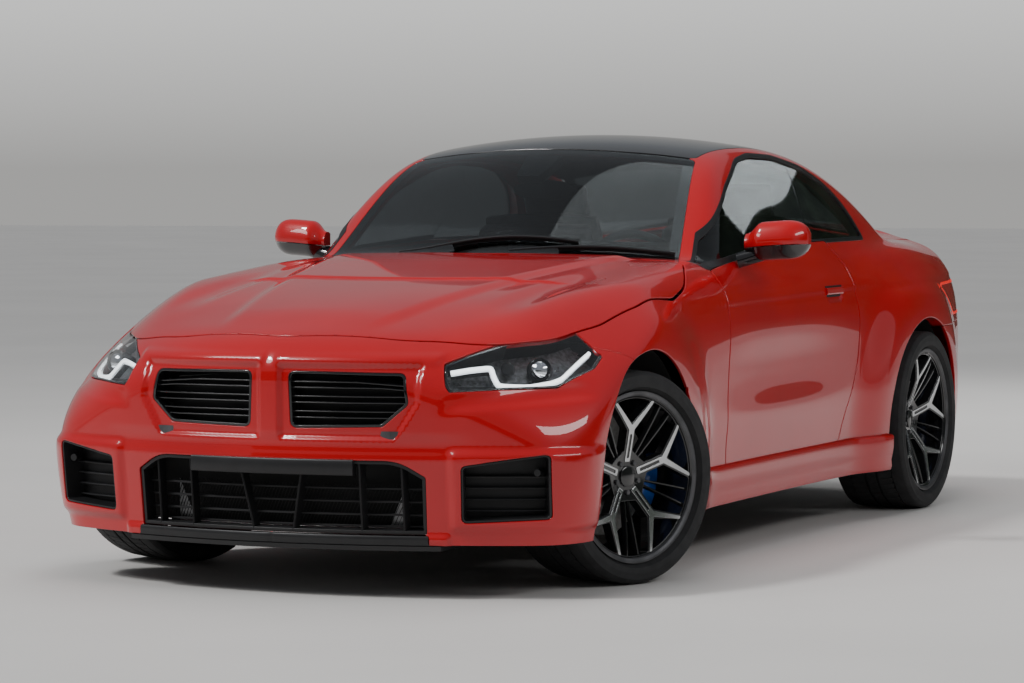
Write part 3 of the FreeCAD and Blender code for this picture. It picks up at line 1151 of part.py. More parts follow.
def make_bulkheads():
    """Upright walls before and behind the cabin with the hinge posts, scuttle, rear shelf and load floor."""
    half = SILL_INNER_X
    base = FLOOR_Z + FLOOR_WALL
    front_y = CABIN_FRONT_Y - BULKHEAD_WALL
    inner = half - BULKHEAD_WALL * 7
    front = box(-half, half, front_y, CABIN_FRONT_Y, base, HINGE_POST_TOP_Z)
    scuttle = box(-inner, inner, front_y, CABIN_FRONT_Y, HINGE_POST_TOP_Z, DASH_TOP_Z)
    gutter = box(-inner, inner, front_y - SCUTTLE_DEPTH, front_y, SCUTTLE_Z, SCUTTLE_Z + BULKHEAD_WALL)
    pieces = [scuttle, gutter]
    for side in (-1, 1):
        low, high = sorted((side * inner, side * half))
        pieces.append(box(low, high, CABIN_FRONT_Y, POST_REAR_Y, base, HINGE_POST_TOP_Z))
        for z in (HINGE_LOW_Z, HINGE_HIGH_Z):
            axis = Vector(side * DOOR_AXIS_X, DOOR_AXIS_Y, z)
            bend = Vector(side * HINGE_BEND_X, HINGE_BEND_Y, z)
            root = Vector(side * (half - HINGE_STRAP * 2), POST_REAR_Y - HINGE_STRAP, z)
            pieces.append(flat_strap(root, bend, HINGE_PIN * 1.5, HINGE_STRAP))
            pieces.append(flat_strap(bend, axis, HINGE_PIN * 1.5, HINGE_STRAP))
            pin_half = HINGE_POCKET / 2 - SEAT_GAP
            pieces.append(rod(axis - Vector(0, 0, pin_half), axis + Vector(0, 0, pin_half), HINGE_PIN))
    pipe_top = PIPE_Z + PIPE_RADIUS * 1.5
    pipe_half = TUNNEL_WIDTH / 2
    front = front.fuse(pieces).cut(box(-pipe_half, pipe_half, front_y, CABIN_FRONT_Y, 0, pipe_top))
    narrow = liner_inner_rear()
    kick = box(-narrow, narrow, KICK_Y, KICK_Y + BULKHEAD_WALL, FLOOR_Z, LOAD_FLOOR_Z)
    kick = kick.cut(box(-pipe_half, pipe_half, KICK_Y, KICK_Y + BULKHEAD_WALL, 0, pipe_top))
    load_floor = box(-narrow, narrow, KICK_Y, LOAD_END_Y, LOAD_FLOOR_Z, LOAD_FLOOR_Z + BULKHEAD_WALL)
    back = box(-narrow, narrow, SEAT_WALL_Y, SEAT_WALL_Y + BULKHEAD_WALL, LOAD_FLOOR_Z, SHELF_Z)
    shelf = box(-narrow, narrow, SEAT_WALL_Y, SHELF_END_Y, SHELF_Z - BULKHEAD_WALL, SHELF_Z)
    end_wall = box(-narrow, narrow, LOAD_END_Y - BULKHEAD_WALL, LOAD_END_Y, LOAD_FLOOR_Z, BUMPER_SEAM_Z)
    sill_rays = corner_rays(AXLE_REAR_Y, 50, 130, 20, BUMPER_SEAM_Z - OVERRUN, BUMPER_SEAM_Z + OVERRUN, 5)
    sill = box(-WIDTH, WIDTH, LOAD_END_Y - BULKHEAD_WALL, LENGTH, BUMPER_SEAM_Z - BULKHEAD_WALL,
               BOOT_LOW_Z - SEAT_GAP)
    sill = sill.common(wall(sill_rays, OVERRUN * 3, BUMPER_WALL + SEAT_GAP))
    return Part.makeCompound([front, kick.fuse([load_floor, back, shelf, end_wall, sill])])


def flat_strap(start, end, half_width, height):
    """A level bar between two upright lines, round at its end."""
    way = end - start
    bar = Part.makeBox(way.Length, half_width * 2, height, Vector(0, -half_width, -height / 2))
    bar = bar.fuse(Part.makeCylinder(half_width, height, Vector(way.Length, 0, -height / 2)))
    bar.Placement = FreeCAD.Placement(start, FreeCAD.Rotation(Vector(1, 0, 0), way))
    return bar


def make_front_frame(bumper_void, bonnet_void):
    """Two rails from the bulkhead, the crash beam across them and the bonnet's catch bar."""
    start = CABIN_FRONT_Y - BULKHEAD_WALL
    pieces = []
    for side in (-1, 1):
        x = side * RAIL_X
        pieces.append(box(x - RAIL_WIDTH / 2, x + RAIL_WIDTH / 2, RAIL_FRONT_Y, start, RAIL_Z,
                          RAIL_Z + RAIL_HEIGHT))
        pieces.append(box(x - RAIL_WIDTH / 2, x + RAIL_WIDTH / 2, RADIATOR_Y + RADIATOR_DEPTH,
                          RADIATOR_Y + RADIATOR_DEPTH * 2,
                          SPLITTER_Z + SPLITTER_WALL, HEIGHT))
    pieces.append(box(-BEAM_HALF, BEAM_HALF, RAIL_FRONT_Y - BEAM_DEPTH, RAIL_FRONT_Y, RAIL_Z - BEAM_DEPTH,
                      RAIL_Z + BEAM_DEPTH / 5))
    for low, high in ((RADIATOR_Z, RADIATOR_Z + BEAM_DEPTH), (RADIATOR_Z + RADIATOR_HEIGHT, HEIGHT)):
        pieces.append(box(-RAIL_X, RAIL_X, RADIATOR_Y + RADIATOR_DEPTH, RADIATOR_Y + RADIATOR_DEPTH * 2,
                          low, high))
    frame = pieces[0].fuse(pieces[1:])
    return biggest(frame.cut(bumper_void).cut(bonnet_void))


def make_wheelhouses():
    """Round liners above the wheels, each closed on its inner side."""
    pieces = []
    for axle_y, radius, arch, track, tyre in (
            (AXLE_FRONT_Y, TYRE_RADIUS_FRONT, ARCH_RADIUS_FRONT, TRACK_FRONT, TYRE_WIDTH_FRONT),
            (AXLE_REAR_Y, TYRE_RADIUS_REAR, ARCH_RADIUS_REAR, TRACK_REAR, TYRE_WIDTH_REAR)):
        inner_x = LINER_INNER_FRONT_X if axle_y < 0 else liner_inner_rear()
        low_z = FLOOR_Z + FLOOR_WALL
        profile = arch_profile(axle_y, radius, arch + LINER_GAP + LINER_WALL, low_z)
        hollow = arch_profile(axle_y, radius, arch + LINER_GAP, low_z - OVERRUN)
        outer = prism_wire(profile, inner_x, LINER_OUTER_X)
        house = outer.cut(prism_wire(hollow, inner_x + LINER_WALL, WIDTH))
        house = house.cut(box(inner_x - OVERRUN, inner_x + OVERRUN, axle_y - LINER_WINDOW,
                              axle_y + LINER_WINDOW,
                              low_z, UPPER_BALL_Z + EYE_RADIUS * 2))
        pieces.append(house)
    return Part.makeCompound(pieces)


def arch_profile(axle_y, centre_z, radius, low_z):
    start = Vector(0, axle_y - radius, centre_z)
    end = Vector(0, axle_y + radius, centre_z)
    arc = Part.Arc(start, Vector(0, axle_y, centre_z + radius), end).toShape()
    left = Vector(0, axle_y - radius, low_z)
    right = Vector(0, axle_y + radius, low_z)
    lines = [Part.makeLine(end, right), Part.makeLine(right, left), Part.makeLine(left, start)]
    return Part.Wire(Part.__sortEdges__([arc] + lines))


def prism_wire(wire, x_low, x_high):
    face = Part.Face(wire)
    face.translate(Vector(x_low, 0, 0))
    return face.extrude(Vector(x_high - x_low, 0, 0))


def make_dashboard():
    """The full-width dashboard with an instrument hood on the driver's side."""
    back = CABIN_FRONT_Y + SEAT_GAP
    profile = [(back, DASH_LOW_Z), (back + DASH_DEPTH * 0.8, DASH_LOW_Z),
               (back + DASH_DEPTH * 0.85, DASH_LOW_Z * 1.25),
               (back + DASH_DEPTH, DASH_TOP_Z - OVERRUN), (back + DASH_DEPTH * 0.8, DASH_TOP_Z),
               (back, DASH_TOP_Z)]
    half = SILL_INNER_X - BULKHEAD_WALL * 7 - SEAT_GAP
    dash = prism(profile, side_place, -half, half, SEAT_THICKNESS * 0.3)
    hood = [(back + DASH_DEPTH * 0.55, DASH_TOP_Z - OVERRUN),
            (back + DASH_DEPTH * 1.12, DASH_TOP_Z - OVERRUN * 0.6),
            (back + DASH_DEPTH * 1.12, DASH_TOP_Z + HOOD_RISE),
            (back + DASH_DEPTH * 0.55, DASH_TOP_Z + HOOD_RISE / 2)]
    middle, way = steering_axis()
    column = rod(middle - way * (DASH_DEPTH * 0.5), middle - way * (STEERING_RIM * 1.2 + SEAT_GAP),
                 COLUMN_RADIUS)
    dash = dash.fuse(column)
    return biggest(dash.fuse(prism(hood, side_place, SEAT_X - STEERING_RADIUS, SEAT_X + STEERING_RADIUS,
                                   HOOD_RISE / 2)))


def make_console():
    base = FLOOR_Z + TUNNEL_HEIGHT
    start = CABIN_FRONT_Y + DASH_DEPTH
    profile = [(start, base), (BENCH_FRONT_Y - OVERRUN, base),
               (BENCH_FRONT_Y - OVERRUN, CONSOLE_TOP_Z * 0.92),
               (start + DASH_DEPTH, CONSOLE_TOP_Z), (start, CONSOLE_TOP_Z + OVERRUN)]
    return prism(profile, side_place, -CONSOLE_WIDTH / 2, CONSOLE_WIDTH / 2, FLOOR_WALL)


def make_bench():
    """The rear seat: two moulded places in one cushion and one back."""
    floor = FLOOR_Z + TUNNEL_HEIGHT + SEAT_GAP
    back = SEAT_WALL_Y - SEAT_GAP
    profile = [(BENCH_FRONT_Y, floor), (back, floor), (back, BENCH_TOP_Z),
               (back - SEAT_THICKNESS * 0.7, BENCH_TOP_Z),
               (back - SEAT_THICKNESS * 1.5, BENCH_Z), (BENCH_FRONT_Y, BENCH_Z + SEAT_THICKNESS * 0.2)]
    bench = prism(profile, side_place, -BENCH_WIDTH / 2, BENCH_WIDTH / 2, SEAT_THICKNESS * 0.35)
    raised = LOAD_FLOOR_Z + BULKHEAD_WALL + SEAT_GAP
    return bench.cut(box(-WIDTH, WIDTH, KICK_Y - SEAT_GAP, LENGTH, floor, raised))


def make_steering_wheel():
    """Rim, hub and three spokes about the Z axis, before it is tilted."""
    rim = Part.makeTorus(STEERING_RADIUS, STEERING_RIM)
    hub = Part.makeCylinder(COLUMN_RADIUS * 1.7, STEERING_RIM * 2.4, Vector(0, 0, -STEERING_RIM * 1.2))
    spokes = []
    for angle in (0, 180, 270):
        spoke = Part.makeBox(STEERING_RADIUS, COLUMN_RADIUS * 0.9, STEERING_RIM,
                             Vector(0, -COLUMN_RADIUS * 0.45, -STEERING_RIM / 2))
        spoke.rotate(Vector(0, 0, 0), Vector(0, 0, 1), angle)
        spokes.append(spoke)
    return rim.fuse([hub] + spokes)


def steering_axis():
    """Where the steering wheel's middle is, and the way its shaft runs towards the driver."""
    tilt = math.radians(STEERING_TILT)
    return Vector(SEAT_X, STEERING_Y, STEERING_Z), Vector(0, math.cos(tilt), math.sin(tilt))


def make_front_subframe():
    """Cross tubes, side tubes and a lower arm and track rod to each carrier."""
    ahead = AXLE_FRONT_Y - SUBFRAME_REACH
    behind = AXLE_FRONT_Y + SUBFRAME_REACH
    half = SUBFRAME_HALF
    z = SUBFRAME_Z
    pieces = [rod(Vector(-half, y, z), Vector(half, y, z), SUBFRAME_TUBE / 2) for y in (ahead, behind)]
    pieces += [rod(Vector(x, ahead, z), Vector(x, behind, z), SUBFRAME_TUBE / 2) for x in (-half, half)]
    for side in (-1, 1):
        for y in (ahead, behind):
            pieces.append(rod(Vector(side * half, y, z), Vector(side * half, y, RAIL_Z - SEAT_GAP),
                              ARM_TUBE / 2))
            low, high = sorted((side * (half - ARM_TUBE / 2), side * RAIL_X))
            pieces.append(box(low, high, y - ARM_TUBE, y + ARM_TUBE, RAIL_Z - ARM_TUBE / 2,
                              RAIL_Z - SEAT_GAP))
            pieces.append(box(low, low + ARM_TUBE, y - ARM_TUBE, y + ARM_TUBE,
                              FLOOR_Z + FLOOR_WALL + SEAT_GAP, z))
            for height in (BALL_Z, UPPER_BALL_Z):
                pieces.append(rod(Vector(side * half, y, height), Vector(side * KINGPIN_X, AXLE_FRONT_Y,
                                                                         height),
                                  ARM_TUBE / 2.5))
        for height in (BALL_Z, UPPER_BALL_Z):
            pieces.append(rod(Vector(side * KINGPIN_X, AXLE_FRONT_Y, height - EYE_DEPTH / 2),
                              Vector(side * KINGPIN_X, AXLE_FRONT_Y, height + EYE_DEPTH / 2), EYE_RADIUS))
    for y in (ahead, behind):
        pieces.append(box(-PIPE_X, PIPE_X, y - ARM_TUBE / 2, y + ARM_TUBE / 2, z, ENGINE_Z - SEAT_GAP))
    return pieces[0].fuse(pieces[1:])


def make_rear_subframe():
    """Cross tubes, the final drive and two links to each rear carrier."""
    ahead = AXLE_REAR_Y - SUBFRAME_REACH
    behind = AXLE_REAR_Y + SUBFRAME_REACH
    half = SUBFRAME_HALF
    z = SUBFRAME_Z + SUBFRAME_TUBE
    pieces = [rod(Vector(-half, y, z), Vector(half, y, z), SUBFRAME_TUBE / 2) for y in (ahead, behind)]
    pieces += [rod(Vector(x, ahead, z), Vector(x, behind, z), SUBFRAME_TUBE / 2) for x in (-half, half)]
    drive = box(-DRIVE_HALF, DRIVE_HALF, ahead, behind, z - SUBFRAME_TUBE / 2, LOAD_FLOOR_Z - SEAT_GAP)
    pieces.append(drive)
    reach_x = TRACK_REAR / 2 + DISC_PLANE - DISC_THICKNESS / 2 - RUNNING_GAP - CARRIER_DEPTH
    for side in (-1, 1):
        pieces.append(rod(Vector(0, AXLE_REAR_Y, TYRE_RADIUS_REAR), Vector(side * reach_x, AXLE_REAR_Y,
                                                                           TYRE_RADIUS_REAR),
                          ARM_TUBE * 0.7))
        for y in (ahead, behind):
            pieces.append(make_arm(Vector(side * half, y, z), Vector(side * (reach_x + ARM_TUBE / 2),
                                                                     AXLE_REAR_Y + (y - AXLE_REAR_Y) * 0.15,
                                   z + ARM_TUBE), ARM_TUBE / 2))
    return pieces[0].fuse(pieces[1:])


def make_exhaust():
    """Two pipes along the tunnel, a cross silencer and four round tips."""
    z = PIPE_Z
    silencer_y = EXHAUST_END_Y - TIP_LENGTH - SILENCER_DEPTH
    silencer = box(-SILENCER_WIDTH / 2, SILENCER_WIDTH / 2, silencer_y, silencer_y + SILENCER_DEPTH,
                   TIP_Z - SILENCER_HEIGHT / 2, TIP_Z + SILENCER_HEIGHT / 2)
    pieces = [silencer]
    for side in (-1, 1):
        x = side * PIPE_X
        pieces.append(rod(Vector(x, PIPE_START_Y, z), Vector(x, silencer_y + PIPE_RADIUS, z), PIPE_RADIUS))
        pieces.append(rod(Vector(x, PIPE_START_Y + PIPE_RADIUS, z), Vector(x, PIPE_START_Y + PIPE_RADIUS,
                                                                           ENGINE_Z), PIPE_RADIUS))
    exhaust = pieces[0].fuse(pieces[1:])
    for x in tip_places():
        start = Vector(x, silencer_y + SILENCER_DEPTH - TIP_WALL, TIP_Z)
        tube = Part.makeCylinder(TIP_RADIUS, TIP_LENGTH, start, Vector(0, 1, 0))
        bore = Part.makeCylinder(TIP_RADIUS - TIP_WALL, TIP_LENGTH, start + Vector(0, TIP_WALL * 2, 0),
                                 Vector(0, 1, 0))
        exhaust = exhaust.fuse(tube.cut(bore))
    return exhaust


def make_engine():
    return box(-ENGINE_WIDTH / 2, ENGINE_WIDTH / 2, ENGINE_FRONT_Y, ENGINE_FRONT_Y + ENGINE_LENGTH, ENGINE_Z,
               ENGINE_Z + ENGINE_HEIGHT)


def make_radiator():
    half = RAIL_X - RAIL_WIDTH / 2
    return box(-half, half, RADIATOR_Y, RADIATOR_Y + RADIATOR_DEPTH, RADIATOR_Z,
               RADIATOR_Z + RADIATOR_HEIGHT)


def main():
    os.makedirs("parts", exist_ok=True)
    lamp_block = tail_lamp_block(0.0)
    lamp_hole = both(tail_lamp_block(SEAM_GAP))
    lid_hole = boot_face_block(SHUT_GAP).common(top_prism(BOOT_SHARES, SHUT_GAP))
    side = make_body_side(wall(section_rays(SIDE_FRONT_Y, SIDE_REAR_Y, 58, -28, 80, 30), SIDE_WALL),
                          lamp_hole)
    boot_lid = make_boot_lid()
    swings = lid_swings(boot_lid)
    side = biggest(carve(side, swings))
    door = make_door()
    door_glass, quarter_glass = make_side_glass()
    door_glass = biggest(carve(door_glass, [side]))
    mirror = biggest(carve(make_mirror(), [door, door_glass]))
    fender = make_fender()
    bumper = make_front_bumper()
    rear_bumper = make_rear_bumper(lamp_hole)
    headlamp = make_headlamp()
    skirt = make_skirt()
    grille = make_upper_grille()
    lamp_rays = corner_rays(AXLE_REAR_Y, 10, 80, 34, TAIL_LAMP_LOW_Z, TAIL_LAMP_HIGH_Z, 12)
    tail_lamp = wall(lamp_rays, TAIL_LAMP_DEPTH, LAMP_INSET).common(lamp_block).cut(lid_hole)
    lid_rays = section_rays(RADIATOR_Y - OVERRUN, RADIATOR_Y + OVERRUN * 4, 8, 10, 170, 26)
    bonnet_void = wall(lid_rays, LID_WALL + SEAT_GAP + OVERRUN * 3, -OVERRUN * 3)
    beam_rays = corner_rays(AXLE_FRONT_Y, -160, -20, 40, RAIL_Z - OVERRUN * 2,
                            RAIL_Z + RAIL_HEIGHT + OVERRUN, 8)
    bumper_void = wall(beam_rays, BUMPER_WALL + SEAT_GAP)
    roof_rays = section_rays(ROOF_FRONT_Y, ROOF_REAR_Y, 36, 40, 140, 30)
    roof = wall(roof_rays, ROOF_WALL).common(top_prism(ROOF_PLAN_SHARES, -SEAM_GAP / 2))
    screen_rays = section_rays(SCREEN_LOW_Y, SCREEN_HIGH_Y, 26, 28, 152, 36)
    screen = wall(screen_rays, GLASS_WALL, GLASS_INSET).common(top_prism(WINDSCREEN_SHARES, -SEAM_GAP / 2))
    back_rays = section_rays(BACKLIGHT_HIGH_Y, BACKLIGHT_LOW_Y, 26, 28, 152, 34)
    backlight = wall(back_rays, GLASS_WALL, GLASS_INSET).common(top_prism(REAR_WINDOW_SHARES, -SEAM_GAP / 2))
    rear_carrier = make_carrier(DISH_REAR, RIM_WIDTH_REAR, 1, False)
    carriers = both(placed(rear_carrier, TRACK_REAR / 2, AXLE_REAR_Y, TYRE_RADIUS_REAR))
    middle, way = steering_axis()
    wheel = make_steering_wheel()
    wheel.Placement = FreeCAD.Placement(middle, FreeCAD.Rotation(Vector(0, 0, 1), way))

    for name, left in (("body_side", side), ("door", door), ("door_glass", door_glass), ("mirror", mirror),
                       ("fender", fender)):
        save(name + "_left", left)
        save(name + "_right", mirrored(left))
    for name, left in (("quarter_glass", quarter_glass), ("headlamps", headlamp), ("side_skirts", skirt),
                       ("tail_lamps", biggest(tail_lamp)), ("upper_grille", grille),
                       ("side_intakes", make_side_intakes()), ("front_seats", make_seat()),
                       ("wheelhouses", carve(make_wheelhouses(), [side, skirt, headlamp, fender, bumper, rear_bumper]))):
        save(name, both(left))
    save("bonnet", make_bonnet())
    save("boot_lid", boot_lid)
    tail_panel = make_tail_panel(lid_hole, lamp_hole)
    save("tail_panel", tail_panel)
    save("front_bumper", bumper)
    save("lower_grille", biggest(make_lower_grille().cut(bumper)))
    save("splitter", make_splitter())
    save("rear_bumper", rear_bumper)
    save("diffuser", make_diffuser())
    save("roof_panel", biggest(roof))
    save("windscreen", biggest(screen))
    save("rear_window", biggest(carve(backlight, swings)))
    save("floor_pan", make_floor())
    save("bulkheads", carve(make_bulkheads(), [side, mirrored(side), tail_panel]))
    save("dashboard", make_dashboard())
    save("console", make_console())
    save("rear_bench", make_bench())
    save("steering_wheel", wheel)
    save("engine_block", make_engine())
    save("front_frame", biggest(carve(make_front_frame(bumper_void, bonnet_void),
                                      [grille, mirrored(grille)])))
    save("radiator", make_radiator())
    save("front_subframe", make_front_subframe())
    save("rear_subframe", carve(make_rear_subframe(), [carriers]))
    save("exhaust", make_exhaust())
    save("carriers_rear", carriers)
    make_wheels()


def make_wheels():
    """Tyre, rim, disc and carrier at each corner; the front pair is parked turned to the right."""
    front = (make_tyre(TYRE_RADIUS_FRONT, TYRE_WIDTH_FRONT, RIM_WIDTH_FRONT),
             make_rim(RIM_WIDTH_FRONT, DISH_FRONT), make_disc())
    rear = (make_tyre(TYRE_RADIUS_REAR, TYRE_WIDTH_REAR, RIM_WIDTH_REAR),
            make_rim(RIM_WIDTH_REAR, DISH_REAR), make_disc())
    for corner, pieces, track, axle_y, radius in (("front", front, TRACK_FRONT, AXLE_FRONT_Y,
                                                   TYRE_RADIUS_FRONT),
                                                  ("rear", rear, TRACK_REAR, AXLE_REAR_Y, TYRE_RADIUS_REAR)):
        turn = STEER_PARKED if corner == "front" else 0.0
        pivot = Vector(KINGPIN_X, AXLE_FRONT_Y, 0)
        for name, piece in zip(("tyre", "rim", "disc"), pieces):
            left = placed(piece, track / 2, axle_y, radius, -turn, pivot)
            right = mirrored(placed(piece, track / 2, axle_y, radius, turn, pivot))
            save(name + "_" + corner + "_left", left)
            save(name + "_" + corner + "_right", right)
    front_carrier = make_carrier(DISH_FRONT, RIM_WIDTH_FRONT, -1, True)
    save("carrier_front_left", placed(front_carrier, TRACK_FRONT / 2, AXLE_FRONT_Y, TYRE_RADIUS_FRONT,
                                      -STEER_PARKED,
                                      Vector(KINGPIN_X, AXLE_FRONT_Y, 0)))
    save("carrier_front_right", mirrored(placed(front_carrier, TRACK_FRONT / 2, AXLE_FRONT_Y,
                                                TYRE_RADIUS_FRONT,
                                                STEER_PARKED, Vector(KINGPIN_X, AXLE_FRONT_Y, 0))))


main()
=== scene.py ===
import bpy
import bmesh
import math
import numpy as np

from bpy.props import FloatProperty, IntProperty, PointerProperty, FloatVectorProperty
from mathutils import Matrix, Vector
from mathutils.geometry import delaunay_2d_cdt
from mathutils.kdtree import KDTree


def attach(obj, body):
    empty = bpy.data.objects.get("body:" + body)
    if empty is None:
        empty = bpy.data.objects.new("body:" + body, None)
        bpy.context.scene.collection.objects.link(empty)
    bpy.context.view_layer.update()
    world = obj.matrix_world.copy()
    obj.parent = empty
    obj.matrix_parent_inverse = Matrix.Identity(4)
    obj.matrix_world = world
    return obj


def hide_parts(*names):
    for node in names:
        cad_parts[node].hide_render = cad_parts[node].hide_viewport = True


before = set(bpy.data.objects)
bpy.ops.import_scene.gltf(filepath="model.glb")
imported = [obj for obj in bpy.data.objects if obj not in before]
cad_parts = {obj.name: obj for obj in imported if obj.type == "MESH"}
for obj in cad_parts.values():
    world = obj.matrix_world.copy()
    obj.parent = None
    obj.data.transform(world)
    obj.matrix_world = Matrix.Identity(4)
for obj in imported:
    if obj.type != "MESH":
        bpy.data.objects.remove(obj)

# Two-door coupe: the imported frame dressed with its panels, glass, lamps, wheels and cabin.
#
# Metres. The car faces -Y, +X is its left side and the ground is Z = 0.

bl_info = {
    "name": "Two-door coupe",
    "version": (1, 0, 0),
    "blender": (4, 5, 0),
    "location": "View3D > Sidebar > Coupe",
    "description": "Dresses the packed coupe frame with its panels, glass, lamps, wheels and cabin",
    "category": "Object",
}

MM = 0.001

# Sizes shared with the construction, in millimetres
LENGTH = 4580.0
WIDTH = 1886.0
HEIGHT = 1425.0
WHEELBASE = 2747.0
FRONT_OVERHANG = 835.0
TRACK_FRONT = 1617.0
TRACK_REAR = 1605.0
TYRE_RADIUS_FRONT = 337.0
TYRE_RADIUS_REAR = 339.0
SHOULDER_BLEND = 150.0
NOSE_BLEND = 120.0
TAIL_BLEND = 150.0
CREASE_BLEND = 70.0
SILL_BLEND = 80.0
RAIL_BLEND = 90.0
WAIST_BLEND = 50.0
BELT_BLEND = 60.0
CREASE_Z = 800.0
SILL_TURN_Z = 330.0
BELT_Z = 940.0
DOOR_HOLLOW = 13.0
DOOR_HOLLOW_Z = 610.0
DOOR_HOLLOW_HEIGHT = 230.0
DOOR_HOLLOW_LENGTH = 1150.0
DOOR_HOLLOW_Y = -60.0
FLARE_FRONT = 42.0
FLARE_REAR = 44.0
FLARE_REACH = 330.0
FLARE_TOP_Z = 930.0
ARCH_RADIUS_FRONT = 397.0
ARCH_RADIUS_REAR = 390.0
ROOF_CROWN = 50.0
ROOF_HALF_WIDTH = 566.0
CABIN_Y = 150.0
CABIN_LOW_Z = 850.0
NOSE_INSET = 30.0
NOSE_SWEEP = 250.0
NOSE_TOP_Z = 690.0
NOSE_TOP_FALL = 320.0
NOSE_LEAN_LENGTH = 294.0
NOSE_LOW_Z = 420.0
TAIL_INSET = 8.0
TAIL_SWEEP = 170.0
TAIL_TOP_Z = 590.0
TAIL_LOW_Z = 505.0
SHOULDER_SLOPE_SHARE = 0.42
SILL_SLOPE_SHARE = 0.22
NOSE_TUCK_SHARE = 0.1
TAIL_LEAN_SHARE = 0.26
TAIL_TUCK_SHARE = 0.25
TUMBLE_SHARE = 0.40
TUMBLE_BOW_SHARE = 0.12
CABIN_SWEEP_SHARE = 0.35
SHUT_GAP = 6.5
SEAM_GAP = 0.8
DOME = 12.0
PILLAR_WIDTH = 46.0
SKIRT_Z = 300.0
BUMPER_SEAM_Z = 690.0
TAIL_SEAM_Y = 1950.0
FENDER_SEAM_Y = -1712.0

FRONT_Y = -LENGTH / 2
REAR_Y = LENGTH / 2
HALF = WIDTH / 2
AXLE_FRONT_Y = FRONT_Y + FRONT_OVERHANG
AXLE_REAR_Y = AXLE_FRONT_Y + WHEELBASE
SECTION_Z = HEIGHT * 0.4
CHART_RADIUS = 700.0

HALF_WIDTH_SHARES = [(-1.0, 0.93), (-0.83, 0.955), (-0.635, 0.955), (-0.4, 0.94), (-0.15, 0.928),
                     (0.1, 0.925), (0.35, 0.936), (0.564, 0.958), (0.7, 0.945), (0.8, 0.915),
                     (0.9, 0.862), (1.0, 0.79)]
TOP_SHARES = [(-1.06, 0.48), (-1.0, 0.52), (-0.95, 0.554), (-0.85, 0.597), (-0.635, 0.649),
              (-0.45, 0.684), (-0.31, 0.709), (-0.1, 0.722), (0.25, 0.737), (0.5, 0.752),
              (0.68, 0.757), (0.82, 0.757), (0.95, 0.752), (1.0, 0.735)]
DROP_SHARES = [(-1.0, 0.133), (-0.87, 0.091), (-0.786, 0.042), (-0.7, 0.011), (-0.57, 0.004),
               (-0.44, 0.011), (-0.31, 0.025), (-0.13, 0.056), (0.13, 0.067), (0.44, 0.056),
               (0.66, 0.077), (0.87, 0.112), (1.0, 0.126)]
ROOF_SHARES = [(-0.46, 0.56), (-0.33, 0.706), (-0.25, 0.79), (-0.17, 0.877), (-0.1, 0.941),
               (-0.04, 0.974), (0.03, 0.992), (0.11, 1.0), (0.24, 0.995), (0.37, 0.975),
               (0.48, 0.94), (0.57, 0.897), (0.66, 0.84), (0.74, 0.78), (0.85, 0.68)]
BELT_WIDTH_SHARES = [(-0.4, 0.80), (-0.28, 0.815), (-0.1, 0.845), (0.1, 0.855), (0.3, 0.857),
                     (0.5, 0.83), (0.65, 0.79), (0.8, 0.71)]
DOOR_SHARES = [(-0.262, 0.14), (-0.278, 0.24), (-0.279, 0.36), (-0.266, 0.52), (-0.258, 0.62),
               (-0.258, 0.672), (-0.05, 0.706), (0.19, 0.725), (0.262, 0.726), (0.30, 0.66),
               (0.302, 0.53), (0.29, 0.40), (0.235, 0.27), (0.19, 0.14)]
SIDE_GLASS_SHARES = [(-0.288, 0.672), (-0.05, 0.706), (0.19, 0.725), (0.475, 0.7255), (0.452, 0.80),
                     (0.40, 0.868), (0.32, 0.916), (0.22, 0.943), (0.12, 0.948), (0.05, 0.934),
                     (-0.05, 0.869), (-0.14, 0.794)]
GLASS_SEAM_SHARES = [(0.183, 0.68), (0.283, 1.0)]
BONNET_SHARES = [(0.0, -0.944), (0.41, -0.917), (0.66, -0.868), (0.80, -0.79), (0.872, -0.70),
                 (0.904, -0.60), (0.905, -0.47), (0.882, -0.40), (0.79, -0.315), (0.735, -0.303),
                 (0.45, -0.329), (0.0, -0.349)]
LAMP_SHARES = [(0.566, 0.503), (0.671, 0.539), (0.823, 0.5655), (0.845, 0.566), (0.914, 0.535),
               (0.930, 0.517), (0.932, 0.485), (0.876, 0.4505), (0.751, 0.449), (0.601, 0.4435),
               (0.5875, 0.455), (0.567, 0.4975)]
KIDNEY_SHARES = [(0.066, 0.488), (0.462, 0.488), (0.476, 0.416), (0.390, 0.368), (0.074, 0.363)]
LOWER_INTAKE_SHARES = [(0.442, 0.297), (0.529, 0.262), (0.525, 0.138), (-0.525, 0.138), (-0.529, 0.262),
                       (-0.442, 0.297)]
SIDE_INTAKE_SHARES = [(0.640, 0.288), (0.905, 0.314), (0.900, 0.174), (0.634, 0.165)]
WINDSCREEN_SHARES = [(0.0, -0.336), (0.42, -0.314), (0.715, -0.262), (0.575, -0.043), (0.30, -0.060),
                     (0.0, -0.066)]
ROOF_PLAN_SHARES = [(0.0, -0.064), (0.30, -0.058), (0.57, -0.041), (0.585, 0.10), (0.575, 0.30),
                    (0.535, 0.475), (0.27, 0.492), (0.0, 0.497)]
REAR_WINDOW_SHARES = [(0.0, 0.499), (0.27, 0.494), (0.53, 0.478), (0.645, 0.715), (0.33, 0.742),
                      (0.0, 0.748)]
BOOT_SHARES = [(0.0, 0.752), (0.33, 0.746), (0.615, 0.722), (0.66, 0.80), (0.655, 0.90), (0.60, 1.02),
               (0.0, 1.02)]
BOOT_REAR_SHARES = [(0.68, 1.0), (0.68, 0.625), (0.60, 0.622), (0.455, 0.612), (0.44, 0.505), (0.41, 0.49),
                    (0.0, 0.485)]
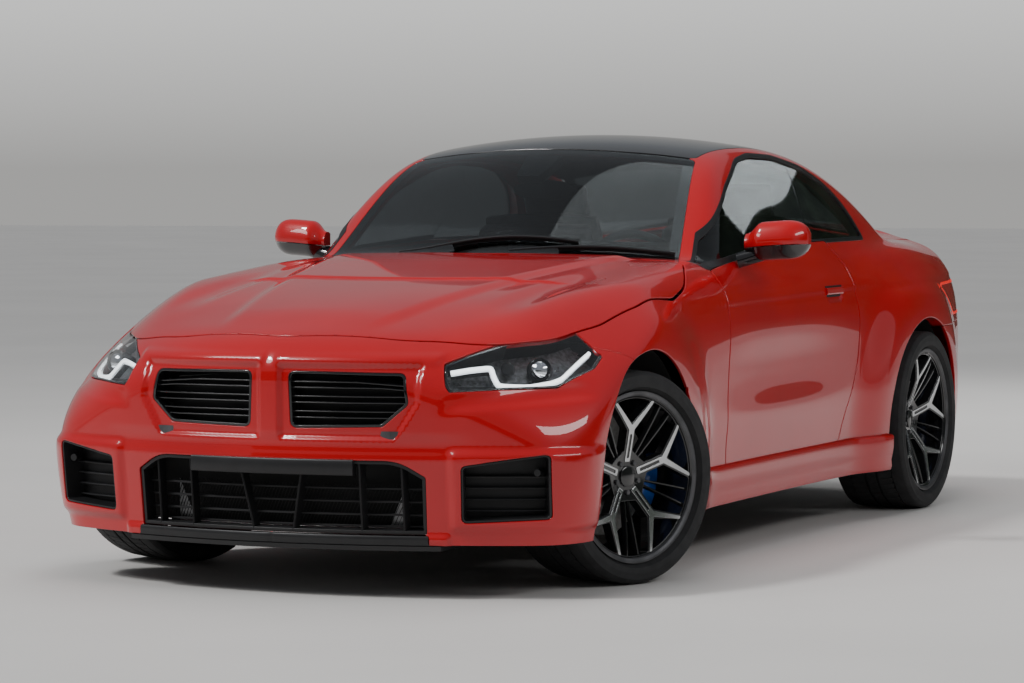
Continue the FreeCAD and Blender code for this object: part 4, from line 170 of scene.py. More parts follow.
TAIL_LAMP_SHARES = [(0.47, 0.605), (0.62, 0.615), (0.80, 0.612), (0.99, 0.605), (0.99, 0.49), (0.86, 0.495),
                    (0.62, 0.498), (0.46, 0.51)]
TAIL_LAMP_SIDE_SHARES = [(0.685, 0.592), (0.71, 0.60), (0.80, 0.63), (1.06, 0.66), (1.06, 0.46),
                         (0.83, 0.47)]
DIFFUSER_SHARES = [(0.60, 0.265), (0.66, 0.20), (0.70, 0.125), (-0.70, 0.125), (-0.66, 0.20),
                   (-0.60, 0.265)]
FENDER_SHARES = [(-0.748, 0.75), (-0.748, 0.527), (-0.70, 0.508), (-0.655, 0.42), (-0.50, 0.42),
                 (-0.50, 0.10), (-0.268, 0.10), (-0.268, 0.24), (-0.25, 0.27), (-0.25, 0.69),
                 (-0.315, 0.70),
                 (-0.315, 0.75)]


class Curve:
    """A natural cubic spline through knots, straight past its ends."""

    def __init__(self, knots, x_size, y_size):
        self.x = np.array([k[0] * x_size for k in knots])
        self.y = np.array([k[1] * y_size for k in knots])
        count = len(knots)
        gaps = np.diff(self.x)
        rows = np.eye(count)
        rest = np.zeros(count)
        for i in range(1, count - 1):
            rows[i, i - 1:i + 2] = gaps[i - 1], 2 * (gaps[i - 1] + gaps[i]), gaps[i]
            rest[i] = 6 * ((self.y[i + 1] - self.y[i]) / gaps[i]
                           - (self.y[i] - self.y[i - 1]) / gaps[i - 1])
        self.m = np.linalg.solve(rows, rest)

    def __call__(self, at):
        x, y, m = self.x, self.y, self.m
        inside = np.clip(at, x[0], x[-1])
        i = np.clip(np.searchsorted(x, inside, side="right") - 1, 0, len(x) - 2)
        h = x[i + 1] - x[i]
        a = (x[i + 1] - inside) / h
        b = (inside - x[i]) / h
        value = a * y[i] + b * y[i + 1] + ((a ** 3 - a) * m[i] + (b ** 3 - b) * m[i + 1]) * h * h / 6
        after = (y[i + 1] - y[i]) / h + h / 6 * (2 * m[i + 1] + m[i])
        before = (y[i + 1] - y[i]) / h - h / 6 * (2 * m[i] + m[i + 1])
        return value + np.where(at > inside, after, before) * (at - inside)


half_width_at = Curve(HALF_WIDTH_SHARES, LENGTH / 2, HALF)
top_at = Curve(TOP_SHARES, LENGTH / 2, HEIGHT)
drop_at = Curve(DROP_SHARES, LENGTH / 2, HEIGHT)
roof_at = Curve(ROOF_SHARES, LENGTH / 2, HEIGHT)
belt_width_at = Curve(BELT_WIDTH_SHARES, LENGTH / 2, HALF)


def smooth_min(a, b, blend):
    h = np.maximum(blend - np.abs(a - b), 0.0) / blend
    return np.minimum(a, b) - h * h * h * blend / 6


def smooth_max(a, b, blend):
    return -smooth_min(-a, -b, blend)


def step(t):
    """0 below 0, 1 above 1, and a smooth rise between them."""
    t = np.clip(t, 0.0, 1.0)
    return t * t * t * (t * (6 * t - 15) + 10)


def bell(t):
    return 1 - step(np.abs(t))


def flare(y, z, axle_y, radius, arch, rise):
    past = (np.hypot(y - axle_y, z - radius) - arch) / FLARE_REACH
    return rise * (1 - step(past)) * (1 - step((z - CREASE_Z) / (FLARE_TOP_Z - CREASE_Z)))


def side_at(y, z):
    x = half_width_at(y)
    x = x - (DOOR_HOLLOW * bell((z - DOOR_HOLLOW_Z) / DOOR_HOLLOW_HEIGHT)
             * bell((y - DOOR_HOLLOW_Y) / DOOR_HOLLOW_LENGTH))
    x = smooth_min(x, x - SHOULDER_SLOPE_SHARE * (z - CREASE_Z), CREASE_BLEND)
    x = smooth_min(x, x + SILL_SLOPE_SHARE * (z - SILL_TURN_Z), SILL_BLEND)
    x = x + flare(y, z, AXLE_FRONT_Y, TYRE_RADIUS_FRONT, ARCH_RADIUS_FRONT, FLARE_FRONT)
    return x + flare(y, z, AXLE_REAR_Y, TYRE_RADIUS_REAR, ARCH_RADIUS_REAR, FLARE_REAR)


def deck_at(x, y):
    return top_at(y) - drop_at(y) * (x / HALF) ** 2


def nose_at(x, z):
    across = (x / HALF) ** 2
    lean = np.maximum(z - NOSE_TOP_Z + NOSE_TOP_FALL * across, 0.0)
    tuck = np.maximum(NOSE_LOW_Z - z, 0.0)
    return (FRONT_Y + NOSE_INSET + NOSE_SWEEP * across + lean * lean / NOSE_LEAN_LENGTH
            + NOSE_TUCK_SHARE * tuck)


def tail_at(x, z):
    lean = np.maximum(z - TAIL_TOP_Z, 0.0)
    tuck = np.maximum(TAIL_LOW_Z - z, 0.0)
    return (REAR_Y - TAIL_INSET - TAIL_SWEEP * (x / HALF) ** 2 - TAIL_LEAN_SHARE * lean
            - TAIL_TUCK_SHARE * tuck)


def body_field(x, y, z):
    x = np.abs(x)
    inside = smooth_min(side_at(y, z) - x, deck_at(x, y) - z, SHOULDER_BLEND)
    inside = smooth_min(inside, y - nose_at(x, z), NOSE_BLEND)
    return smooth_min(inside, tail_at(x, z) - y, TAIL_BLEND)


def cabin_field(x, y, z):
    x = np.abs(x)
    up = smooth_max(z - BELT_Z, 0.0, BELT_BLEND)
    side = belt_width_at(y) - TUMBLE_SHARE * up - TUMBLE_BOW_SHARE * up * up / (HEIGHT - BELT_Z)
    along = CABIN_Y + (y - CABIN_Y) * (1 + CABIN_SWEEP_SHARE * (x / HALF) ** 2)
    roof = roof_at(along) - ROOF_CROWN * (x / ROOF_HALF_WIDTH) ** 2
    return np.minimum(smooth_min(side - x, roof - z, RAIL_BLEND), z - CABIN_LOW_Z)


def car_field(points):
    x, y, z = points[..., 0], points[..., 1], points[..., 2]
    return smooth_max(body_field(x, y, z), cabin_field(x, y, z), WAIST_BLEND)


def reach(starts, ways):
    """Where rays from inside leave the car."""
    low = np.zeros(starts.shape[:-1])
    high = np.full(starts.shape[:-1], LENGTH)
    for _ in range(26):
        middle = (low + high) / 2
        inside = car_field(starts + ways * middle[..., None]) > 0
        low = np.where(inside, middle, low)
        high = np.where(inside, high, middle)
    return starts + ways * low[..., None]


def unit(rows):
    return rows / np.maximum(np.linalg.norm(rows, axis=-1, keepdims=True), 1e-9)


def normals_at(points):
    gradient = np.stack([car_field(points - axis) - car_field(points + axis) for axis in np.eye(3)], -1)
    return unit(gradient)


# The three ways to unroll the surface. Each gives rays for flat places, and flat places for points.

def section_rays(flat):
    angle = flat[:, 1] / CHART_RADIUS
    starts = np.stack([0 * angle, flat[:, 0], 0 * angle + SECTION_Z], -1)
    return starts, np.stack([np.cos(angle), 0 * angle, np.sin(angle)], -1)


def section_flat(points):
    angle = np.arctan2(points[:, 2] - SECTION_Z, points[:, 0])
    angle = np.where(angle < -math.pi / 2, angle + 2 * math.pi, angle)
    return np.stack([points[:, 1], angle * CHART_RADIUS], -1)


def corner_chart(axis_y):
    def rays(flat):
        angle = flat[:, 0] / CHART_RADIUS
        starts = np.stack([0 * angle, 0 * angle + axis_y, flat[:, 1]], -1)
        return starts, np.stack([np.cos(angle), np.sin(angle), 0 * angle], -1)

    def flat(points):
        angle = np.arctan2(points[:, 1] - axis_y, points[:, 0])
        return np.stack([angle * CHART_RADIUS, points[:, 2]], -1)
    return rays, flat


def roll_chart(axis_y, axis_z):
    def rays(flat):
        angle = flat[:, 1] / CHART_RADIUS
        starts = np.stack([flat[:, 0], 0 * angle + axis_y, 0 * angle + axis_z], -1)
        return starts, np.stack([0 * angle, np.cos(angle), np.sin(angle)], -1)

    def flat(points):
        angle = np.arctan2(points[:, 2] - axis_z, points[:, 1] - axis_y)
        return np.stack([points[:, 0], angle * CHART_RADIUS], -1)
    return rays, flat


SECTION = section_rays, section_flat
NOSE = corner_chart(AXLE_FRONT_Y)
TAIL = corner_chart(AXLE_REAR_Y)
DECK = roll_chart(1880.0, 760.0)


# Outlines in the three views

def softened(points, radius, grow=0.0):
    """A closed outline with rounded corners, moved outwards, as dense points."""
    points = np.array(points, float)
    if np.sum(points[:, 0] * np.roll(points[:, 1], -1) - points[:, 1] * np.roll(points[:, 0], -1)) < 0:
        points = points[::-1]
    path = []
    for i, corner in enumerate(points):
        before = points[i - 1] - corner
        after = points[(i + 1) % len(points)] - corner
        long_before, long_after = np.linalg.norm(before), np.linalg.norm(after)
        before, after = before / long_before, after / long_after
        turn = math.pi - math.acos(np.clip(before @ after, -1, 1))
        easy = turn < math.radians(38)
        bend = 400.0 if easy else radius
        cut = min(max(bend * math.tan(turn / 2), 0.01), long_before * 0.47, long_after * 0.47)
        start, end = corner + before * cut, corner + after * cut
        for t in np.linspace(0, 1, 9):
            path.append((1 - t) ** 2 * start + 2 * t * (1 - t) * corner + t * t * end)
    path = np.array(path)
    keep = np.linalg.norm(path - np.roll(path, 1, axis=0), axis=1) > 0.05
    path = path[keep]
    if grow:
        way = np.roll(path, -1, axis=0) - np.roll(path, 1, axis=0)
        way /= np.linalg.norm(way, axis=1, keepdims=True)
        path = path + grow * np.stack([way[:, 1], -way[:, 0]], -1)
    dense = []
    for a, b in zip(path, np.roll(path, -1, axis=0)):
        count = max(1, int(np.linalg.norm(b - a) // 8))
        dense += [a + (b - a) * k / count for k in range(count)]
    return np.array(dense)


def inside(outline, points):
    """Which flat points lie within a closed outline."""
    result = np.zeros(len(points), bool)
    for a, b in zip(outline, np.roll(outline, -1, axis=0)):
        crosses = (a[1] > points[:, 1]) != (b[1] > points[:, 1])
        at = a[0] + (points[:, 1] - a[1]) * (b[0] - a[0]) / (b[1] - a[1] if b[1] != a[1] else 1e-9)
        result ^= crosses & (points[:, 0] < at)
    return result


class Outline:
    """A closed outline seen from the side, from above, from the front or from behind."""

    def __init__(self, view, points, radius=SHUT_GAP * 5, grow=0.0, keep=False, sides=(1, -1)):
        self.view, self.keep, self.sides = view, keep, sides
        self.points = softened(points, radius, grow)

    def holds(self, places):
        x, y, z = np.abs(places[:, 0]), places[:, 1], places[:, 2]
        if self.view == "side":
            return inside(self.points, np.stack([y, z], -1))
        if self.view == "top":
            return inside(self.points, np.stack([x, y], -1))
        within = inside(self.points, np.stack([x, z], -1))
        return within & ((y < FENDER_SEAM_Y) if self.view == "front" else (y > 1550.0))

    def places(self, side):
        """The outline's points laid on the car's surface."""
        a, b = self.points[:, 0], self.points[:, 1]
        zero = 0 * a
        if self.view == "side":
            starts = np.stack([zero, a, b], -1)
            way = (side, 0, 0)
        elif self.view == "top":
            starts = np.stack([a * side, b, zero + SECTION_Z], -1)
            way = (0, 0, 1)
        elif self.view == "front":
            starts = np.stack([a * side, zero + AXLE_FRONT_Y, b], -1)
            way = (0, -1, 0)
        else:
            starts = np.stack([a * side, zero + AXLE_REAR_Y, b], -1)
            way = (0, 1, 0)
        good = car_field(starts) > 0
        return reach(starts, np.broadcast_to(np.array(way, float), starts.shape)), good


def whole(shares):
    """A full plan outline from its left half."""
    return shares + [(-a, b) for a, b in shares[-2:0:-1]]


def side_view(shares, **more):
    return Outline("side", [(a * LENGTH / 2, b * HEIGHT) for a, b in shares], **more)


def top_view(shares, **more):
    return Outline("top", [(a * HALF, b * LENGTH / 2) for a, b in whole(shares)], **more)


def front_view(shares, view="front", **more):
    return Outline(view, [(a * HALF, b * HEIGHT) for a, b in shares], **more)


def arch_outline(axle_y, radius, arch, grow=0.0):
    turn = np.linspace(0, math.pi, 60)
    points = [(axle_y + (arch + grow) * math.cos(t), radius + (arch + grow) * math.sin(t)) for t in turn]
    points += [(axle_y - arch - grow, -60.0), (axle_y + arch + grow, -60.0)]
    return Outline("side", points, radius=1.0)


class Mesh:
    """Points, normals and faces of a piece in the making, in millimetres."""

    def __init__(self):
        self.points = []
        self.normals = []
        self.faces = []

    def add(self, points, normals, faces):
        base = sum(len(p) for p in self.points)
        self.points.append(np.asarray(points, float))
        self.normals.append(np.asarray(normals, float))
        self.faces += [tuple(int(i) + base for i in f) for f in faces]


def carved(points, normals, relief):
    """Raises a skin by a height given at each point, and turns its normals to suit."""
    slope = np.stack([relief(points + axis) - relief(points - axis) for axis in np.eye(3) * 2.0], -1) / 4.0
    slope = slope - normals * np.sum(slope * normals, axis=1)[:, None]
    return points + normals * relief(points)[:, None], unit(normals - slope)


def sheet(chart, u_low, u_high, v_low, v_high, outlines, spacing=16.0, inset=0.0, depth=12.0, lip=2.5,
          half=False,
          relief=None):
    """A panel on the car's surface, trimmed by outlines, with rolled edges and a back."""
    rays, flat = chart
    us = np.linspace(u_low, u_high, max(3, int((u_high - u_low) / spacing) + 1))
    vs = np.linspace(v_low, v_high, max(3, int((v_high - v_low) / spacing) + 1))
    grid = np.stack(np.meshgrid(us, vs, indexing="ij"), -1)
    grid[1::2, 1:-1, 1] += (vs[1] - vs[0]) / 2
    grid = grid.reshape(-1, 2)
    edges = []
    for outline in outlines:
        for side in outline.sides:
            if half and side < 0:
                continue
            places, good = outline.places(side)
            spots = flat(places)
            good &= ((spots[:, 0] > u_low) & (spots[:, 0] < u_high)
                     & (spots[:, 1] > v_low) & (spots[:, 1] < v_high))
            for i in range(len(spots)):
                j = (i + 1) % len(spots)
                if good[i] and good[j] and 0.01 < np.linalg.norm(spots[i] - spots[j]) < 90:
                    edges.append((spots[i], spots[j]))
    lookup = {}
    flat_points = []
    flat_edges = []

    def index(spot):
        key = (round(float(spot[0]), 2), round(float(spot[1]), 2))
        if key not in lookup:
            lookup[key] = len(flat_points)
            flat_points.append(key)
        return lookup[key]

    for a, b in edges:
        i, j = index(a), index(b)
        if i != j:
            flat_edges.append((i, j))
    if flat_points:
        tree = KDTree(len(flat_points))
        for i, (a, b) in enumerate(flat_points):
            tree.insert((a, b, 0), i)
        tree.balance()
        for spot in grid:
            if tree.find((spot[0], spot[1], 0))[2] > spacing * 0.45:
                index(spot)
    else:
        for spot in grid:
            index(spot)
    out_points, _, out_faces, _, _, _ = delaunay_2d_cdt([Vector(p) for p in flat_points], flat_edges, [], 0,
                                                        1e-3)
    spots = np.array([tuple(p) for p in out_points])
    starts, ways = rays(spots)
    points = reach(starts, ways)
    faces = np.array([f for f in out_faces if len(f) == 3])
    centres = points[faces].mean(axis=1)
    wanted = np.ones(len(faces), bool)
    for outline in outlines:
        held = outline.holds(centres)
        wanted &= held if outline.keep else ~held
    flat_area = spots[faces]
    size = (flat_area[:, 1, 0] - flat_area[:, 0, 0]) * (flat_area[:, 2, 1] - flat_area[:, 0, 1]) - (
        flat_area[:, 2, 0] - flat_area[:, 0, 0]) * (flat_area[:, 1, 1] - flat_area[:, 0, 1])
    wanted &= np.abs(size) > 1e-3
    faces = faces[wanted]
    used, faces = np.unique(faces, return_inverse=True)
    faces = faces.reshape(-1, 3)
    points = points[used]
    normals = normals_at(points)
    centre_normals = normals[faces].mean(axis=1)
    built = np.cross(points[faces[:, 1]] - points[faces[:, 0]], points[faces[:, 2]] - points[faces[:, 0]])
    flip = np.sum(built * centre_normals, axis=1) < 0
    faces[flip] = faces[flip][:, ::-1]
    if relief:
        points, normals = carved(points, normals, relief)
    points = points - normals * inset
    return close(points, normals, faces, depth, lip)


def close(points, normals, faces, depth, lip):
    """Rolls the open edges of a skin over and closes its back."""
    directed = {}
    for a, b, c in faces:
        for pair in ((a, b), (b, c), (c, a)):
            directed[pair] = True
    rim = [(a, b) for a, b in directed if (b, a) not in directed]
    out = np.zeros_like(points)
    for a, b in rim:
        way = points[b] - points[a]
        side = np.cross(way, normals[a] + normals[b])
        out[a] += side
        out[b] += side
    at_rim = np.unique(np.array(rim).reshape(-1)) if rim else np.array([], int)
    tangent = unit(out[at_rim])
    tangent = unit(tangent - normals[at_rim] * np.sum(tangent * normals[at_rim], axis=1)[:, None])
    skin = points.copy()
    skin[at_rim] -= tangent * lip
    mesh = Mesh()
    mesh.add(skin, normals, faces)
    count = len(skin)
    rings = [{int(v): int(v) for v in at_rim}]
    base = count
    n = normals[at_rim]
    rows = []
    for angle in (30, 60, 90):
        a = math.radians(angle)
        rows.append((skin[at_rim] + tangent * lip * math.sin(a) - n * lip * (1 - math.cos(a)),
                     n * math.cos(a) + tangent * math.sin(a)))
    edge = skin[at_rim] + tangent * lip
    deep = depth(points)[:, None] if callable(depth) else np.full((len(points), 1), float(depth))
    rows.append((edge - n * deep[at_rim], tangent))
    faces_out = []
    for ring_points, ring_normals in rows:
        ring = {int(v): base + i for i, v in enumerate(at_rim)}
        mesh.points.append(ring_points)
        mesh.normals.append(ring_normals)
        for a, b in rim:
            faces_out.append((rings[-1][b], rings[-1][a], ring[a], ring[b]))
        rings.append(ring)
        base += len(at_rim)
    back = points - normals * deep
    back[at_rim] = rows[-1][0]
    mesh.points.append(back)
    mesh.normals.append(-normals)
    faces_out += [(base + c, base + b, base + a) for a, b, c in faces]
    mesh.faces += [tuple(int(i) for i in f) for f in faces_out]
    return mesh


def build(name, meshes, material, body, replaces=(), mirror=False, smooth=True):
    """A Blender object from meshes in millimetres, with their own normals."""
    if isinstance(meshes, Mesh):
        meshes = [meshes]
    points, normals, faces = [], [], []
    base = 0
    for mesh in meshes:
        p = np.concatenate(mesh.points)
        n = np.concatenate(mesh.normals)
        points.append(p)
        normals.append(n)
        faces += [tuple(i + base for i in f) for f in mesh.faces]
        base += len(p)
    points = np.concatenate(points)
    normals = np.concatenate(normals)
    if mirror:
        points = points * (-1, 1, 1)
        normals = normals * (-1, 1, 1)
        faces = [f[::-1] for f in faces]
    data = bpy.data.meshes.new(name)
    data.from_pydata((points * MM).tolist(), [], faces)
    data.polygons.foreach_set("use_smooth", [smooth] * len(data.polygons))
    if smooth:
        data.normals_split_custom_set_from_vertices(unit(normals).tolist())
    data.materials.append(material)
    piece = bpy.data.objects.new(name, data)
    bpy.context.scene.collection.objects.link(piece)
    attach(piece, body)
    if replaces:
        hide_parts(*replaces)
    return piece


def loose(name, groups, material, body, bevel=0.0, angle=32.0, replaces=(), mirror=False,
          doubles=True):
    """A hard piece from (points in millimetres, faces), with crisp edges and an optional bevel."""
    shape = bmesh.new()
    for points, faces in groups:
        corners = [shape.verts.new((-p[0] * MM if mirror else p[0] * MM, p[1] * MM, p[2] * MM))
                   for p in points]
        for face in faces:
            if len(set(face)) > 2:
                try:
                    shape.faces.new([corners[i] for i in face])
                except ValueError:
                    continue
    if doubles:
        bmesh.ops.remove_doubles(shape, verts=shape.verts, dist=1e-5)
    bmesh.ops.dissolve_degenerate(shape, edges=shape.edges, dist=1e-6)
    bmesh.ops.recalc_face_normals(shape, faces=shape.faces)
    data = bpy.data.meshes.new(name)
    shape.to_mesh(data)
    shape.free()
    data.polygons.foreach_set("use_smooth", [True] * len(data.polygons))
    data.set_sharp_from_angle(angle=math.radians(angle))
    data.materials.append(material)
    piece = bpy.data.objects.new(name, data)
    bpy.context.scene.collection.objects.link(piece)
    if bevel:
        edge = piece.modifiers.new("edge", "BEVEL")
        edge.width = bevel * MM
        edge.segments = 2
        edge.limit_method = "ANGLE"
        edge.angle_limit = math.radians(angle)
        edge.harden_normals = True
    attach(piece, body)
    if replaces:
        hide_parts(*replaces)
    return piece


def sweep(path, ups, section, ends=True, turn=False):
    """Carries a closed section, (across, up) points, along a path. Gives (points, faces)."""
    path = np.asarray(path, float)
    ways = unit(np.roll(path, -1, axis=0)
                - np.roll(path, 1, axis=0)) if turn else unit(np.gradient(path, axis=0))
    ups = np.broadcast_to(np.asarray(ups, float), path.shape)
    sides = unit(np.cross(ways, ups))
    ups = unit(np.cross(sides, ways))
    count = len(section)
    points = [p + s * a + u * b for p, s, u in zip(path, sides, ups) for a, b in section]
    faces = []
    rows = len(path)
    for i in range(rows if turn else rows - 1):
        j = (i + 1) % rows
        for k in range(count):
            m = (k + 1) % count
            faces.append((i * count + k, i * count + m, j * count + m, j * count + k))
    if ends and not turn:
        faces.append(tuple(range(count)))
        faces.append(tuple((rows - 1) * count + k for k in reversed(range(count))))
    return points, faces


def round_section(radius, count=12, squash=1.0):
    return [(radius * math.cos(2 * math.pi * k / count),
             radius * squash * math.sin(2 * math.pi * k / count))
            for k in range(count)]


def box_section(width, height):
    return [(-width / 2, -height / 2), (width / 2, -height / 2), (width / 2, height / 2),
            (-width / 2, height / 2)]


def lathe(profile, count=96, closed=True):
    """Turns (x, radius) points about the X axis. Gives (points, faces)."""
    points = []
    for k in range(count):
        a = 2 * math.pi * k / count
        points += [(x, r * math.cos(a), r * math.sin(a)) for x, r in profile]
    rows = len(profile)
    faces = []
    for k in range(count):
        m = (k + 1) % count
        for i in range(rows if closed else rows - 1):
            j = (i + 1) % rows
            faces.append((k * rows + i, k * rows + j, m * rows + j, m * rows + i))
    return points, faces


def circle(count):
    """The angles of points spaced evenly round a circle."""
    return np.linspace(0, 2 * math.pi, count, endpoint=False)


def joined(rows):
    """A solid through rings of as many points each, closed at its ends."""
    count, last = len(rows[0]), len(rows) - 1
    faces = [(i * count + k, i * count + (k + 1) % count, (i + 1) * count + (k + 1) % count,
              (i + 1) * count + k) for i in range(last) for k in range(count)]
    faces += [tuple(range(count)), tuple(last * count + k for k in range(count))]
    return [p for row in rows for p in row], faces


def slab(front, back):
    """A solid between two outlines of as many points each."""
    count = len(front)
    faces = [tuple(range(count)), tuple(range(2 * count - 1, count - 1, -1))]
    faces += [(i, i + count, (i + 1) % count + count, (i + 1) % count) for i in range(count)]
    return list(front) + list(back), faces


def block(x_low, x_high, y_low, y_high, z_low, z_high):
    points = [(x, y, z) for x in (x_low, x_high) for y in (y_low, y_high) for z in (z_low, z_high)]
    return points, [(0, 1, 3, 2), (4, 6, 7, 5), (0, 4, 5, 1), (2, 3, 7, 6), (0, 2, 6, 4), (1, 5, 7, 3)]


def plane_skin(loops, place, spacing, depth, lip, reach_mm):
    """A flat outline with holes laid on a surface given by place(flat) -> (points, normals)."""
    lookup, flat_points, flat_edges = {}, [], []

    def index(spot):
        key = (round(float(spot[0]), 2), round(float(spot[1]), 2))
        if key not in lookup:
            lookup[key] = len(flat_points)
            flat_points.append(key)
        return lookup[key]

    for outline, _ in loops:
        spots = [index(p) for p in outline]
        flat_edges += [(i, j) for i, j in zip(spots, spots[1:] + spots[:1]) if i != j]
    tree = KDTree(len(flat_points))
    for i, (a, b) in enumerate(flat_points):
        tree.insert((a, b, 0), i)
    tree.balance()
    steps = np.arange(-reach_mm, reach_mm + spacing, spacing)
    grid = np.stack(np.meshgrid(steps, steps, indexing="ij"), -1).reshape(-1, 2)
    for spot in grid:
        if tree.find((spot[0], spot[1], 0))[2] > spacing * 0.45:
            index(spot)
    out_points, _, out_faces, _, _, _ = delaunay_2d_cdt([Vector(p) for p in flat_points], flat_edges, [], 0,
                                                        1e-3)
    spots = np.array([tuple(p) for p in out_points])
    faces = np.array([f for f in out_faces if len(f) == 3])
    centres = spots[faces].mean(axis=1)
    wanted = np.ones(len(faces), bool)
    for outline, keep in loops:
        held = inside(np.array(outline), centres)
        wanted &= held if keep else ~held
    faces = faces[wanted]
    used, faces = np.unique(faces, return_inverse=True)
    faces = faces.reshape(-1, 3)
    points, normals = place(spots[used])
    built = np.cross(points[faces[:, 1]] - points[faces[:, 0]], points[faces[:, 2]] - points[faces[:, 0]])
    flip = np.sum(built * normals[faces].mean(axis=1), axis=1) < 0
    faces[flip] = faces[flip][:, ::-1]
    return close(points, normals, faces, depth, lip)


# Finishes

def finish(name, colour, rough, metallic=0.0, coat=0.0, grain=30.0, spread=0.1, bump=0.0, bump_scale=900.0,
           emission=None, transmission=0.0, ior=1.45, rough_spread=0.25, stretch=None):
    material = bpy.data.materials.new(name)
    material.use_nodes = True
    nodes, links = material.node_tree.nodes, material.node_tree.links
    shader = nodes["Principled BSDF"]
    place = nodes.new("ShaderNodeTexCoord")
    source = place.outputs["Object"]
    if stretch:
        turn = nodes.new("ShaderNodeMapping")
        turn.inputs["Scale"].default_value = stretch
        links.new(source, turn.inputs["Vector"])
        source = turn.outputs["Vector"]
    if not transmission:
        shade = nodes.new("ShaderNodeTexNoise")
        shade.inputs["Scale"].default_value = grain
        shade.inputs["Detail"].default_value = 4.0
        links.new(source, shade.inputs["Vector"])
        ramp = nodes.new("ShaderNodeValToRGB")
        ramp.color_ramp.elements[0].position = 0.35
        ramp.color_ramp.elements[1].position = 0.65
        ramp.color_ramp.elements[0].color = tuple(c * (1 - spread) for c in colour) + (1,)
        ramp.color_ramp.elements[1].color = tuple(min(1, c * (1 + spread)) for c in colour) + (1,)
        links.new(shade.outputs["Fac"], ramp.inputs["Fac"])
        links.new(ramp.outputs["Color"], shader.inputs["Base Color"])
    else:
        shader.inputs["Base Color"].default_value = tuple(colour) + (1,)
    wear = nodes.new("ShaderNodeTexNoise")
    wear.inputs["Scale"].default_value = grain * 0.37
    wear.inputs["Detail"].default_value = 6.0
    links.new(source, wear.inputs["Vector"])
    spread_out = nodes.new("ShaderNodeMapRange")
    spread_out.inputs["To Min"].default_value = rough * (1 - rough_spread)
    spread_out.inputs["To Max"].default_value = rough * (1 + rough_spread)
    links.new(wear.outputs["Fac"], spread_out.inputs["Value"])
    links.new(spread_out.outputs["Result"], shader.inputs["Roughness"])
    shader.inputs["Metallic"].default_value = metallic
    shader.inputs["Coat Weight"].default_value = coat
    shader.inputs["Coat Roughness"].default_value = 0.02
    shader.inputs["IOR"].default_value = ior
    shader.inputs["Transmission Weight"].default_value = transmission
    if bump:
        pits = nodes.new("ShaderNodeTexNoise")
        pits.inputs["Scale"].default_value = bump_scale
        pits.inputs["Detail"].default_value = 3.0
        links.new(source, pits.inputs["Vector"])
        raise_up = nodes.new("ShaderNodeBump")
        raise_up.inputs["Strength"].default_value = bump
        raise_up.inputs["Distance"].default_value = 0.0006
        links.new(pits.outputs["Fac"], raise_up.inputs["Height"])
        links.new(raise_up.outputs["Normal"], shader.inputs["Normal"])
    if emission:
        shader.inputs["Emission Color"].default_value = tuple(emission[:3]) + (1,)
        shader.inputs["Emission Strength"].default_value = emission[3]
    return material


FINISHES = {}


